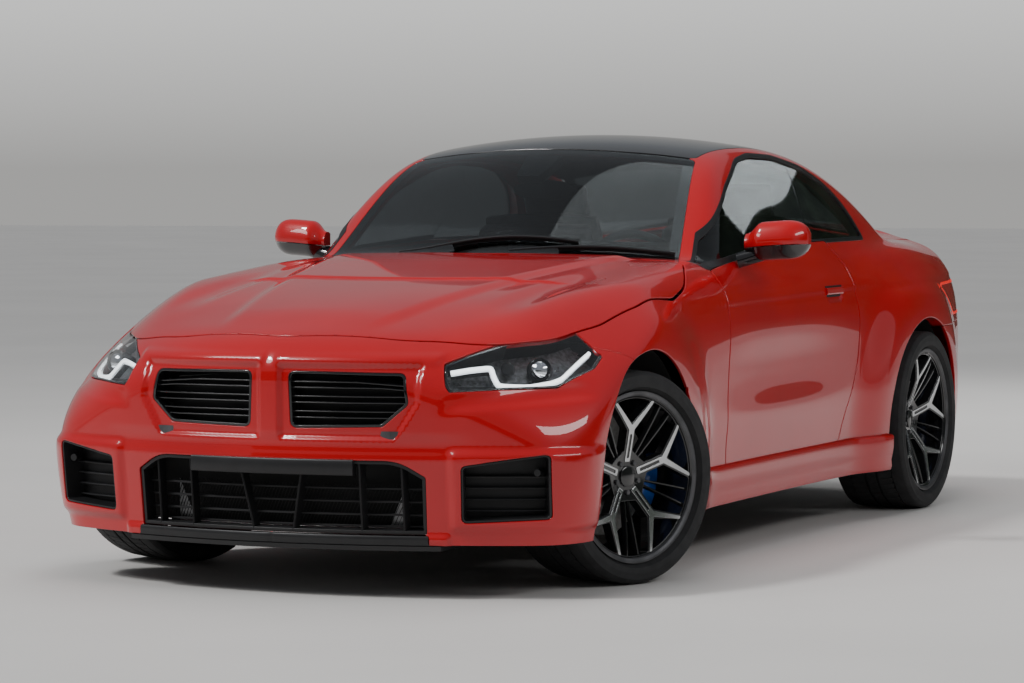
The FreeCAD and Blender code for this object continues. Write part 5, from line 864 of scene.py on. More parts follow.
def make_finishes(look):
    FINISHES.update(
        paint=finish("paint", look.paint, 0.35, coat=1.0, grain=3.0, spread=0.05, bump=0.01,
                     bump_scale=260.0, ior=1.3),
        roof=finish("gloss_black", look.roof, 0.16, coat=1.0, grain=3.0, spread=0.2),
        trim=finish("satin_black", (0.012, 0.012, 0.013), 0.38, grain=25.0, bump=0.12),
        bowl=finish("lamp_bowl", (0.22, 0.225, 0.23), 0.3, metallic=0.8, grain=80.0, spread=0.35, bump=0.2,
                    bump_scale=160.0),
        dark=finish("dark_plastic", (0.007, 0.007, 0.008), 0.6, grain=20.0, bump=0.25, bump_scale=600.0),
        liner=finish("liner", (0.012, 0.012, 0.012), 0.85, grain=15.0, bump=0.5, bump_scale=300.0),
        glass=finish("tinted_glass", look.tint, 0.015, transmission=1.0, grain=2.0, ior=1.45),
        clear=finish("lamp_clear", (0.95, 0.96, 0.97), 0.01, transmission=1.0, grain=2.0, ior=1.4),
        red=finish("lamp_red", (0.32, 0.004, 0.004), 0.12, coat=1.0, grain=60.0, bump=0.1),
        glow_red=finish("lamp_band", (0.7, 0.01, 0.01), 0.2, grain=40.0, emission=(1.0, 0.02, 0.01, 0.5)),
        glow=finish("lamp_line", (0.9, 0.92, 0.95), 0.3, grain=50.0, emission=(0.93, 0.97, 1.0, 2.4)),
        chrome=finish("chrome", (0.75, 0.76, 0.78), 0.07, metallic=1.0, grain=20.0, spread=0.03),
        silver=finish("silver_face", (0.56, 0.57, 0.58), 0.24, metallic=1.0, grain=120.0, spread=0.06),
        wheel=finish("wheel_black", (0.012, 0.012, 0.013), 0.18, coat=0.8, grain=20.0),
        rubber=finish("rubber", (0.018, 0.018, 0.019), 0.72, grain=30.0, spread=0.2, bump=0.3,
                      bump_scale=500.0),
        iron=finish("iron", (0.24, 0.235, 0.23), 0.34, metallic=1.0, grain=90.0, spread=0.15, bump=0.1),
        steel=finish("steel", (0.10, 0.10, 0.105), 0.5, metallic=0.7, grain=14.0, spread=0.25, bump=0.2),
        alloy=finish("alloy", (0.42, 0.42, 0.43), 0.42, metallic=1.0, grain=18.0, spread=0.12, bump=0.25,
                     bump_scale=200.0),
        caliper=finish("caliper", (0.01, 0.06, 0.26), 0.3, coat=0.6, grain=20.0),
        cabin=finish("cabin_plastic", (0.022, 0.022, 0.024), 0.55, grain=22.0, spread=0.15, bump=0.35,
                     bump_scale=420.0),
        leather=finish("leather", (0.03, 0.029, 0.029), 0.45, grain=12.0, spread=0.18, bump=0.5,
                       bump_scale=260.0),
        thread=finish("thread", (0.25, 0.03, 0.03), 0.7, grain=300.0, spread=0.2),
        carpet=finish("carpet", (0.02, 0.02, 0.021), 0.9, grain=60.0, spread=0.3, bump=0.8,
                      bump_scale=900.0),
        mirror=finish("mirror_glass", (0.8, 0.82, 0.85), 0.01, metallic=1.0, grain=3.0, spread=0.02),
        screen=finish("screen", (0.01, 0.011, 0.014), 0.08, coat=1.0, grain=5.0),
    )


# Repeats made with Geometry Nodes

def repeat_tree(name, along):
    """A tree that repeats its mesh on a circle about X, or on a level row of points."""
    tree = bpy.data.node_groups.new(name, "GeometryNodeTree")
    face = tree.interface
    face.new_socket("Geometry", in_out="INPUT", socket_type="NodeSocketGeometry")
    face.new_socket("Count", in_out="INPUT", socket_type="NodeSocketInt")
    face.new_socket("Size", in_out="INPUT", socket_type="NodeSocketFloat")
    face.new_socket("Finish", in_out="INPUT", socket_type="NodeSocketMaterial")
    face.new_socket("Geometry", in_out="OUTPUT", socket_type="NodeSocketGeometry")
    nodes, links = tree.nodes, tree.links
    start = nodes.new("NodeGroupInput")
    end = nodes.new("NodeGroupOutput")
    if along == "ring":
        ring = nodes.new("GeometryNodeMeshCircle")
        links.new(start.outputs["Count"], ring.inputs["Vertices"])
        links.new(start.outputs["Size"], ring.inputs["Radius"])
        spin = nodes.new("GeometryNodeTransform")
        spin.inputs["Rotation"].default_value = (0, math.pi / 2, 0)
        links.new(ring.outputs["Mesh"], spin.inputs["Geometry"])
        place = nodes.new("GeometryNodeInputPosition")
        aim = nodes.new("FunctionNodeAlignRotationToVector")
        aim.axis = "Z"
        aim.pivot_axis = "X"
        links.new(place.outputs["Position"], aim.inputs["Vector"])
        points, rotation = spin.outputs["Geometry"], aim.outputs["Rotation"]
    else:
        line = nodes.new("GeometryNodeMeshLine")
        line.mode = "OFFSET"
        links.new(start.outputs["Count"], line.inputs["Count"])
        away = nodes.new("ShaderNodeCombineXYZ")
        links.new(start.outputs["Size"], away.inputs["X" if along == "across" else "Z"])
        links.new(away.outputs["Vector"], line.inputs["Offset"])
        points, rotation = line.outputs["Mesh"], None
    spread = nodes.new("GeometryNodeInstanceOnPoints")
    links.new(points, spread.inputs["Points"])
    links.new(start.outputs["Geometry"], spread.inputs["Instance"])
    if rotation:
        links.new(rotation, spread.inputs["Rotation"])
    real = nodes.new("GeometryNodeRealizeInstances")
    links.new(spread.outputs["Instances"], real.inputs["Geometry"])
    dress = nodes.new("GeometryNodeSetMaterial")
    links.new(real.outputs["Geometry"], dress.inputs["Geometry"])
    links.new(start.outputs["Finish"], dress.inputs["Material"])
    links.new(dress.outputs["Geometry"], end.inputs["Geometry"])
    return tree


def repeated(name, seed, along, count, size, material):
    """The plain mesh of one seed mesh repeated by the tree. Sizes in millimetres."""
    points, faces = seed
    data = bpy.data.meshes.new(name + "_seed")
    data.from_pydata([(p[0] * MM, p[1] * MM, p[2] * MM) for p in points], [], faces)
    maker = bpy.data.objects.new(name + "_maker", data)
    bpy.context.scene.collection.objects.link(maker)
    tree = bpy.data.node_groups.get("repeat_" + along) or repeat_tree("repeat_" + along, along)
    repeat = maker.modifiers.new("repeat", "NODES")
    repeat.node_group = tree
    sockets = {item.name: item.identifier for item in tree.interface.items_tree if item.in_out == "INPUT"}
    repeat[sockets["Count"]] = count
    repeat[sockets["Size"]] = size * MM
    repeat[sockets["Finish"]] = material
    graph = bpy.context.evaluated_depsgraph_get()
    plain = bpy.data.meshes.new_from_object(maker.evaluated_get(graph))
    rows = np.empty(len(plain.vertices) * 3)
    plain.vertices.foreach_get("co", rows)
    rows = rows.reshape(-1, 3) / MM
    made = [tuple(p.vertices) for p in plain.polygons]
    bpy.data.objects.remove(maker)
    bpy.data.meshes.remove(plain)
    bpy.data.meshes.remove(data)
    return [tuple(r) for r in rows], made


# Placing wheels

STEER_PARKED = 21.0
KINGPIN_INSET = 85.0


def wheel_place(end, side):
    """Moves a left wheel's points, which lie about the X axis, to where that wheel stands."""
    if end == "rear":
        def move(rows):
            rows = np.asarray(rows, float) * (side, 1, 1)
            return rows + (side * TRACK_REAR / 2, AXLE_REAR_Y, TYRE_RADIUS_REAR)
        return move
    turn = math.radians(-STEER_PARKED)
    pivot = np.array([side * (TRACK_FRONT / 2 - KINGPIN_INSET), AXLE_FRONT_Y, TYRE_RADIUS_FRONT])
    spin = np.array([[math.cos(turn), -math.sin(turn), 0], [math.sin(turn), math.cos(turn), 0], [0, 0, 1]])

    def move(rows):
        rows = np.asarray(rows, float) * (side, 1, 1) + (side * KINGPIN_INSET, 0, 0)
        return rows @ spin.T + pivot
    return move


def moved(group, move):
    return [tuple(p) for p in move(group[0])], group[1]


# Outlines that several panels share

def door_line(**more):
    return side_view(DOOR_SHARES, **more)


def window_line(grow=0.0, keep=False):
    return side_view(SIDE_GLASS_SHARES, radius=SHUT_GAP * 3, grow=grow, keep=keep)


def screen_line(grow=0.0, keep=False):
    return top_view(WINDSCREEN_SHARES, grow=grow, keep=keep)


class Except:
    """The side window's outline without the pillar beside the windscreen."""

    sides = (1, -1)

    def __init__(self, grow=0.0, keep=False):
        self.window, self.pillar, self.keep = window_line(grow), screen_line(PILLAR_WIDTH - grow), keep

    def holds(self, places):
        return self.window.holds(places) & ~self.pillar.holds(places)

    def places(self, side):
        a, good_a = self.window.places(side)
        b, good_b = self.pillar.places(side)
        b, good_b = b[b[:, 0] * side > 0], good_b[b[:, 0] * side > 0]
        return (np.concatenate([a, b]),
                np.concatenate([good_a & ~self.pillar.holds(a), good_b & self.window.holds(b)]))


def bonnet_line(grow=0.0, keep=False):
    return top_view(BONNET_SHARES, grow=grow, keep=keep)


def boot_lines(grow=0.0):
    top = top_view(BOOT_SHARES, grow=grow, keep=True)
    face = front_view(BOOT_REAR_SHARES + [(-a, b) for a, b in BOOT_REAR_SHARES[-2::-1]], view="rear",
                      radius=SHUT_GAP * 3, grow=grow, keep=True, sides=(1,))
    return top, face


def fender_line(grow=0.0, keep=False):
    return side_view(FENDER_SHARES, radius=1.0, grow=grow, keep=keep)


def lamp_line(grow=0.0, keep=False):
    return front_view(LAMP_SHARES, radius=SHUT_GAP, grow=grow, keep=keep)


class Either:
    """Leaves out what lies in both of two outlines at once."""

    keep = False
    sides = (1, -1)

    def __init__(self, first, second, keep=False):
        self.first, self.second, self.keep = first, second, keep

    def holds(self, places):
        return self.first.holds(places) & self.second.holds(places)

    def places(self, side):
        a, good_a = self.first.places(side)
        b, good_b = self.second.places(side)
        good_a = good_a & self.second_near(self.second, a)
        good_b = good_b & self.second_near(self.first, b)
        return np.concatenate([a, b]), np.concatenate([good_a, good_b])

    def second_near(self, outline, places):
        return outline.holds(places)


def tail_lamp_line(grow=0.0, keep=False):
    rear = front_view(TAIL_LAMP_SHARES, view="rear", radius=SHUT_GAP, grow=grow)
    flank = side_view(TAIL_LAMP_SIDE_SHARES, radius=SHUT_GAP, grow=grow)
    return Either(rear, flank, keep)


def arc(low, high):
    return low * math.pi / 180 * CHART_RADIUS, high * math.pi / 180 * CHART_RADIUS


ARCH_FRONT = (AXLE_FRONT_Y, TYRE_RADIUS_FRONT, ARCH_RADIUS_FRONT)
ARCH_REAR = (AXLE_REAR_Y, TYRE_RADIUS_REAR, ARCH_RADIUS_REAR)
HALF_GAP = SHUT_GAP / 2
SEAM_WIDTH = SHUT_GAP * 0.8


def both_sides(maker):
    for side, mirror in (("left", False), ("right", True)):
        maker(side, mirror)


class COUPE_OT_finishes(bpy.types.Operator):
    """Makes the finishes and gives one to each CAD node that stays in view"""

    bl_idname = "coupe.finishes"
    bl_label = "Finishes"

    def execute(self, context):
        look = context.scene.coupe
        make_finishes(look)
        shown = dict(wheelhouses="liner", floor_pan="liner", bulkheads="carpet", front_frame="steel",
                     front_subframe="steel", rear_subframe="steel", engine_block="alloy", radiator="alloy",
                     exhaust="steel", carrier_front_left="steel", carrier_front_right="steel",
                     carriers_rear="steel", console="cabin", dashboard="cabin", splitter="trim")
        for end in ("front", "rear"):
            for side in ("left", "right"):
                shown["disc_" + end + "_" + side] = "iron"
        for name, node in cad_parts.items():
            node.data.materials.clear()
            node.data.materials.append(FINISHES[shown.get(name, "trim")])
        return {"FINISHED"}


def ridge(t, width):
    """A smooth rise from 0 to 1 as t passes 0, over a width."""
    return step(t / width + 0.5)


def bonnet_relief(points):
    """A raised middle that widens towards the screen, a plateau at its back, and a hollow on each flank."""
    x, y = np.abs(points[:, 0]), points[:, 1]
    back = np.clip((y + 2100) / 1400, 0, 1)
    dome = ridge(250 + 300 * back - x, 90) * ridge(y + 2010, 260) * DOME
    front = -1385 + 60 * (x / 520) ** 2
    plateau = ridge(y - front, 18) * ridge(560 - x, 120) * ridge(-820 - y, 500) * 7.0
    hollow = -12.0 * bell((x - 560 - 50 * back) / 110) * bell((y + 1500) / 420)
    return dome + plateau + hollow


def framed(x, z, x_low, x_high, z_low, z_high, soft):
    """1 inside a box in the front view and 0 outside it."""
    return ridge(x - x_low, soft) * ridge(x_high - x, soft) * ridge(z - z_low, soft) * ridge(z_high - z,
                                                                                             soft)


def bumper_relief(points):
    """Recessed grille surrounds, a hollow between grilles, and proud frames round the intakes."""
    x, y, z = np.abs(points[:, 0]), points[:, 1], points[:, 2]
    ahead = ridge(-1850 - y, 120)
    surround = -13.0 * framed(x, z, 36 + np.maximum(520 - z, 0) * 0.05, 476 - np.maximum(600 - z, 0) * 0.62,
                              490, 712, 22)
    brow = 7.0 * framed(x, z, 20, 520, 712, 742, 34)
    hollow = -4.0 * bell((z - 468) / 46) * ridge(590 - x, 160)
    outer = 13.0 * framed(x, z, 572, 940, 214, 452, 40)
    chin = 9.0 * framed(x, z, -1, 560, 150, 196, 26)
    under_lamp = -8.0 * bell((z - 598 - (x - 560) * 0.1) / 46) * ridge(x - 560, 90)
    return (surround + brow + hollow + outer + chin + under_lamp) * ahead


def side_relief(points):
    """A crisp line under the handle, a dished step over the sill and a grip recess."""
    y, z = points[:, 1], points[:, 2]
    crease = 5.0 * ridge(z - 842 - (y + 500) * 0.012,
                         22) * (1 - step((z - 850) / 120)) * ridge(y + 700, 300)
    low = -4.0 * bell((z - 380 - y * 0.02) / 120) * ridge(y + 900, 400) * ridge(900 - y, 300)
    grip = -9.0 * framed(y, z, 408, 546, 820, 862, 16)
    return crease + low + grip


def boot_relief(points):
    """A lip along the back edge and a dished face."""
    y, z = points[:, 1], points[:, 2]
    lip = 14.0 * bell((z - 1046) / 40) * ridge(y - 2030, 90)
    face = -6.0 * bell((z - 850) / 120) * ridge(y - 2080, 60)
    return lip + face


DOOR_SPAN = (-660, 720)


def level_box(low, high, bottom, top):
    """A rectangle in the side view, from low to high along the car."""
    return Outline("side", [(low, bottom), (high, bottom), (high, top), (low, top)], radius=0.1)


class COUPE_OT_sides(bpy.types.Operator):
    """Body sides, doors, wings and sills"""

    bl_idname = "coupe.sides"
    bl_label = "Sides"

    def execute(self, context):
        look = context.scene.coupe

        def folds(points):
            """How deep the frames fold in, less behind the rear window."""
            return look.frame_depth - (look.frame_depth - 8.0) * step((points[:, 1] - 1560) / 80)

        turn, below = arc(-24, 50), level_box(-LENGTH, LENGTH, -90, SKIRT_Z)
        pillar = [door_line(grow=SEAM_WIDTH), Except(), screen_line(SEAM_GAP / 2),
                  top_view(ROOF_PLAN_SHARES, grow=SEAM_GAP / 2),
                  top_view(REAR_WINDOW_SHARES, grow=SEAM_GAP / 2),
                  top_view(BOOT_SHARES, grow=SEAM_WIDTH), bonnet_line(HALF_GAP), fender_line(SEAM_GAP / 2),
                  arch_outline(*ARCH_REAR),
                  Outline("top", [(-520, -400), (520, -400), (520, 1600), (566, 1640), (560, 1735),
                                  (-560, 1735), (-566, 1640), (-520, 1600)], radius=1.0, sides=(1,)),
                  below, level_box(AXLE_REAR_Y, LENGTH, -99, BUMPER_SEAM_Z + SEAM_GAP),
                  level_box(TAIL_SEAM_Y, LENGTH, -99, HEIGHT * 2)]
        side_skin = sheet(SECTION, -720, 2130, *arc(-24, 88), pillar, half=True, depth=folds,
                          spacing=look.spacing, relief=side_relief)
        foot = level_box(-LENGTH, LENGTH, -90, SKIRT_Z + SHUT_GAP)
        door = sheet(SECTION, *DOOR_SPAN, *turn, [door_line(grow=-0.2, keep=True), foot], half=True,
                     depth=9, spacing=look.spacing * 0.75, relief=side_relief)
        card = sheet(SECTION, *DOOR_SPAN, *turn, [door_line(grow=-14, keep=True), foot], half=True,
                     inset=9.5, depth=64, spacing=look.spacing * 2)
        wing = sheet(SECTION, FENDER_SEAM_Y - 8, -560, *arc(-26, 52),
                     [fender_line(keep=True), bonnet_line(HALF_GAP), door_line(grow=SEAM_WIDTH),
                      arch_outline(*ARCH_FRONT), below],
                     half=True, depth=9, spacing=look.spacing, relief=side_relief)
        # A dark plastic ring just under the door gap: partly the door's rubber seal, partly painted shade
        # standing in for the shadow inside the gap.
        seal_and_gap_shade = sheet(SECTION, *DOOR_SPAN, *turn,
                     [door_line(grow=SEAM_WIDTH - 0.4, keep=True), door_line(grow=0.6), Except(12)],
                     half=True, inset=5, depth=3, lip=0.3, spacing=look.spacing, relief=side_relief)

        def each(side, mirror):
            # The dark ring behind the door gap, partly seal and partly painted gap shade.
            build("door_seal_and_gap_shade_" + side, seal_and_gap_shade, FINISHES["dark"], "body", (), mirror)
            build("body_skin_" + side, side_skin, FINISHES["paint"], "body", ["body_side_" + side],
                  mirror)
            build("door_skin_" + side, door, FINISHES["paint"], "door_" + side, ["door_" + side],
                  mirror)
            build("door_card_" + side, card, FINISHES["cabin"], "door_" + side, (), mirror)
            build("wing_" + side, wing, FINISHES["paint"], "body", ["fender_" + side], mirror)
        both_sides(each)
        return {"FINISHED"}


class COUPE_OT_lids(bpy.types.Operator):
    """Bonnet, roof and boot lid"""

    bl_idname = "coupe.lids"
    bl_label = "Lids and roof"

    def execute(self, context):
        look = context.scene.coupe
        bonnet = sheet(SECTION, -2230, -640, *arc(14, 166), [bonnet_line(-HALF_GAP / 2, keep=True)],
                       depth=22, spacing=look.spacing * 0.55, relief=bonnet_relief)
        build("bonnet_skin", bonnet, FINISHES["paint"], "bonnet", ["bonnet"])
        roof = sheet(SECTION, -170, 1160, *arc(30, 150), [top_view(ROOF_PLAN_SHARES, keep=True)], depth=22,
                     spacing=look.spacing)
        build("roof_skin", roof, FINISHES["roof"], "body", ["roof_panel"])
        boot = sheet(DECK, -680, 680, *arc(-14, 128), list(boot_lines(-HALF_GAP / 2)), depth=14,
                     spacing=look.spacing * 0.75, relief=boot_relief)
        build("boot_skin", boot, FINISHES["paint"], "boot_lid", ["boot_lid"])
        return {"FINISHED"}


class COUPE_OT_ends(bpy.types.Operator):
    """Bumpers, tail panel, splitter, skirts and diffuser"""

    bl_idname = "coupe.ends"
    bl_label = "Ends"

    def execute(self, context):
        look = context.scene.coupe
        chin_points = [(-500, 120), (500, 120), (500, 196), (-500, 196)]
        lip = sheet(NOSE, *arc(-173, -7), 166, 800,
                    [bonnet_line(HALF_GAP), Outline("front", chin_points, radius=6.0, sides=(1,)),
                     fender_line(SEAM_GAP / 2), arch_outline(*ARCH_FRONT), lamp_line(1.0),
                     front_view(KIDNEY_SHARES, radius=SHUT_GAP * 4),
                     front_view(SIDE_INTAKE_SHARES, radius=SHUT_GAP * 3),
                     front_view(LOWER_INTAKE_SHARES, radius=SHUT_GAP * 2, sides=(1,)),
                     level_box(AXLE_FRONT_Y, LENGTH, -90, HEIGHT)],
                    depth=look.bumper_depth, spacing=look.spacing * 0.5, relief=bumper_relief)
        build("front_bumper_skin", lip, FINISHES["paint"], "body", ["front_bumper"])
        chin = sheet(NOSE, *arc(-130, -50), 166, 230,
                     [Outline("front", chin_points, radius=6.0, grow=-0.4, keep=True, sides=(1,)),
                      front_view(LOWER_INTAKE_SHARES, radius=SHUT_GAP * 2, sides=(1,))],
                     depth=look.bumper_depth, spacing=look.spacing * 0.5, inset=-3.0, relief=bumper_relief)
        build("chin_strip", chin, FINISHES["trim"], "body", ())
        boot_face = boot_lines(SEAM_WIDTH)
        for outline in boot_face:
            outline.keep = False
        lid_hole = Either(*boot_face)
        tail = sheet(TAIL, *arc(18, 162), BUMPER_SEAM_Z + SEAM_GAP / 2, 1010,
                     [level_box(-LENGTH, TAIL_SEAM_Y, -90, HEIGHT * 2), lid_hole, tail_lamp_line(1.0)],
                     depth=16, spacing=look.spacing)
        build("tail_skin", tail, FINISHES["paint"], "body", ["tail_panel"])
        bumper = sheet(TAIL, *arc(9, 171), 207, BUMPER_SEAM_Z - SEAM_GAP / 2,
                       [arch_outline(*ARCH_REAR), boot_face[1], tail_lamp_line(1.0),
                        front_view(DIFFUSER_SHARES, view="rear", radius=1.0, sides=(1,))],
                       depth=12, spacing=look.spacing)
        build("rear_bumper_skin", bumper, FINISHES["paint"], "body", ["rear_bumper"])
        tips = [Outline("rear", [(x + 62 * math.cos(a), 255 + 62 * math.sin(a)) for a in circle(40)],
                        radius=1.0) for x in (210.0, 330.0)]
        under = sheet(TAIL, *arc(50, 130), 178, 378,
                      [front_view(DIFFUSER_SHARES, view="rear", radius=1.0, grow=-0.5, keep=True,
                                  sides=(1,))] + tips,
                      depth=30, inset=4, spacing=look.spacing)
        build("diffuser_skin", under, FINISHES["trim"], "body", ["diffuser"])
        fins = [block(x - 4, x + 4, 2080, 2262, 182, 232) for x in (-420, -90, 90, 420)]
        loose("diffuser_fins", fins, FINISHES["trim"], "body", bevel=1.5)

        rows = []
        low, high = AXLE_FRONT_Y + ARCH_RADIUS_FRONT, AXLE_REAR_Y - ARCH_RADIUS_REAR
        section = [(14, 300), (12, 306), (4, 309), (-40, 309), (-60, 300), (-60, 176), (-20, 172),
                   (2, 176), (6, 190), (4, 214), (9, 236), (13, 262)]
        for y in np.linspace(low, high, 60):
            swell = 6 * step((y - low) / (high - low) * 3 - 2)
            x = cast([(0, y, 300.0)], (1, 0, 0))[0][0]
            rows.append([(x + out + (swell if out > 0 else 0), y, z) for out, z in section])
        sill = joined(rows)

        def each(side, mirror):
            loose("sill_" + side, [sill], FINISHES["paint"], "body", bevel=1.0, angle=25,
                  mirror=mirror, replaces=["side_skirts"] if side == "left" else ())
        both_sides(each)
        return {"FINISHED"}


class COUPE_OT_glass(bpy.types.Operator):
    """Windscreen, side windows and rear window with their black borders"""

    bl_idname = "coupe.glass"
    bl_label = "Glass"

    def execute(self, context):
        look = context.scene.coupe
        screen_span, rear_span, across = (-800, -60), (1060, 1760), arc(24, 156)
        front = sheet(SECTION, *screen_span, *across, [screen_line(keep=True)], inset=1.5, depth=5,
                      lip=1.0, spacing=look.spacing)
        build("windscreen_glass", front, FINISHES["glass"], "body", ["windscreen"])
        back = sheet(SECTION, *rear_span, *across, [top_view(REAR_WINDOW_SHARES, keep=True)],
                     inset=1.5, depth=5, lip=1.0, spacing=look.spacing)
        build("rear_window_glass", back, FINISHES["glass"], "body", ["rear_window"])
        for name, shares, span in (("windscreen_border", WINDSCREEN_SHARES, screen_span),
                                   ("rear_window_border", REAR_WINDOW_SHARES, rear_span)):
            ring = sheet(SECTION, *span, *across,
                         [top_view(shares, grow=-1, keep=True), top_view(shares, grow=-38)],
                         inset=7.2, depth=1.2, lip=0.3, spacing=look.spacing)
            build(name, ring, FINISHES["roof"], "body", ())
        seam = [(a * LENGTH / 2, b * HEIGHT) for a, b in GLASS_SEAM_SHARES]
        ahead = [seam[0], seam[1], (-1886.0, seam[1][1]), (-1886.0, seam[0][1] - 180),
                 (seam[0][0] - 60, seam[0][1] - 180)]
        door_part = Outline("side", ahead, radius=0.1, grow=-HALF_GAP, keep=True)
        rest_part = Outline("side", ahead, radius=0.1, grow=HALF_GAP)
        turn = arc(24, 66)
        pane = sheet(SECTION, -585, 1130, *turn,
                     [Except(-SHUT_GAP, keep=True), fender_line(SHUT_GAP), door_part], inset=5,
                     depth=5, lip=1.0, half=True, spacing=look.spacing)
        quarter = sheet(SECTION, -592, 1130, *turn, [Except(-4, keep=True), rest_part], inset=5,
                        depth=5, lip=1.0, half=True, spacing=look.spacing)
        edge = sheet(SECTION, -640, 1140, *turn, [Except(6, keep=True), Except(-9), door_line(grow=2)],
                     inset=-1.5, depth=8, lip=1.5, half=True, spacing=look.spacing)
        belt = sheet(SECTION, -640, 700, *turn,
                     [Except(4, keep=True), door_part,
                      Outline("side", [(a * LENGTH / 2, b * HEIGHT + 20) for a, b in DOOR_SHARES[5:9]]
                              + [(700, 1500), (-700, 1500)], radius=0.1)],
                     inset=-1.5, depth=7, lip=1.5, half=True, spacing=look.spacing)

        def each(side, mirror):
            build("window_" + side, pane, FINISHES["glass"], "door_" + side, ["door_glass_" + side],
                  mirror)
            build("quarter_window_" + side, quarter, FINISHES["glass"], "body",
                  ["quarter_glass"] if side == "left" else (), mirror)
            build("window_edge_" + side, edge, FINISHES["trim"], "body", (), mirror)
            build("belt_strip_" + side, belt, FINISHES["trim"], "door_" + side, (), mirror)
        both_sides(each)
        return {"FINISHED"}


def cast(starts, way):
    """Where rays from the starts, all in one direction, meet the body's surface."""
    starts = np.asarray(starts, float)
    return reach(starts, np.broadcast_to(np.array(way, float), starts.shape))


def nose_points(flat, inset, relief=bumper_relief):
    """Points on the nose, straight ahead of (x, z) places, set back along the surface normal."""
    flat = np.asarray(flat, float)
    points = cast(np.stack([flat[:, 0], 0 * flat[:, 0] + AXLE_FRONT_Y, flat[:, 1]], -1), (0, -1, 0))
    normals = normals_at(points)
    deep = relief(points)[:, None] if relief else 0.0
    return points + normals * (deep - inset), normals


def spanned(outline, z):
    """Where a level line enters and leaves an (x, z) outline."""
    xs = []
    for a, b in zip(outline, np.roll(outline, -1, axis=0)):
        if (a[1] > z) != (b[1] > z):
            xs.append(a[0] + (z - a[1]) * (b[0] - a[0]) / (b[1] - a[1]))
    return min(xs), max(xs)


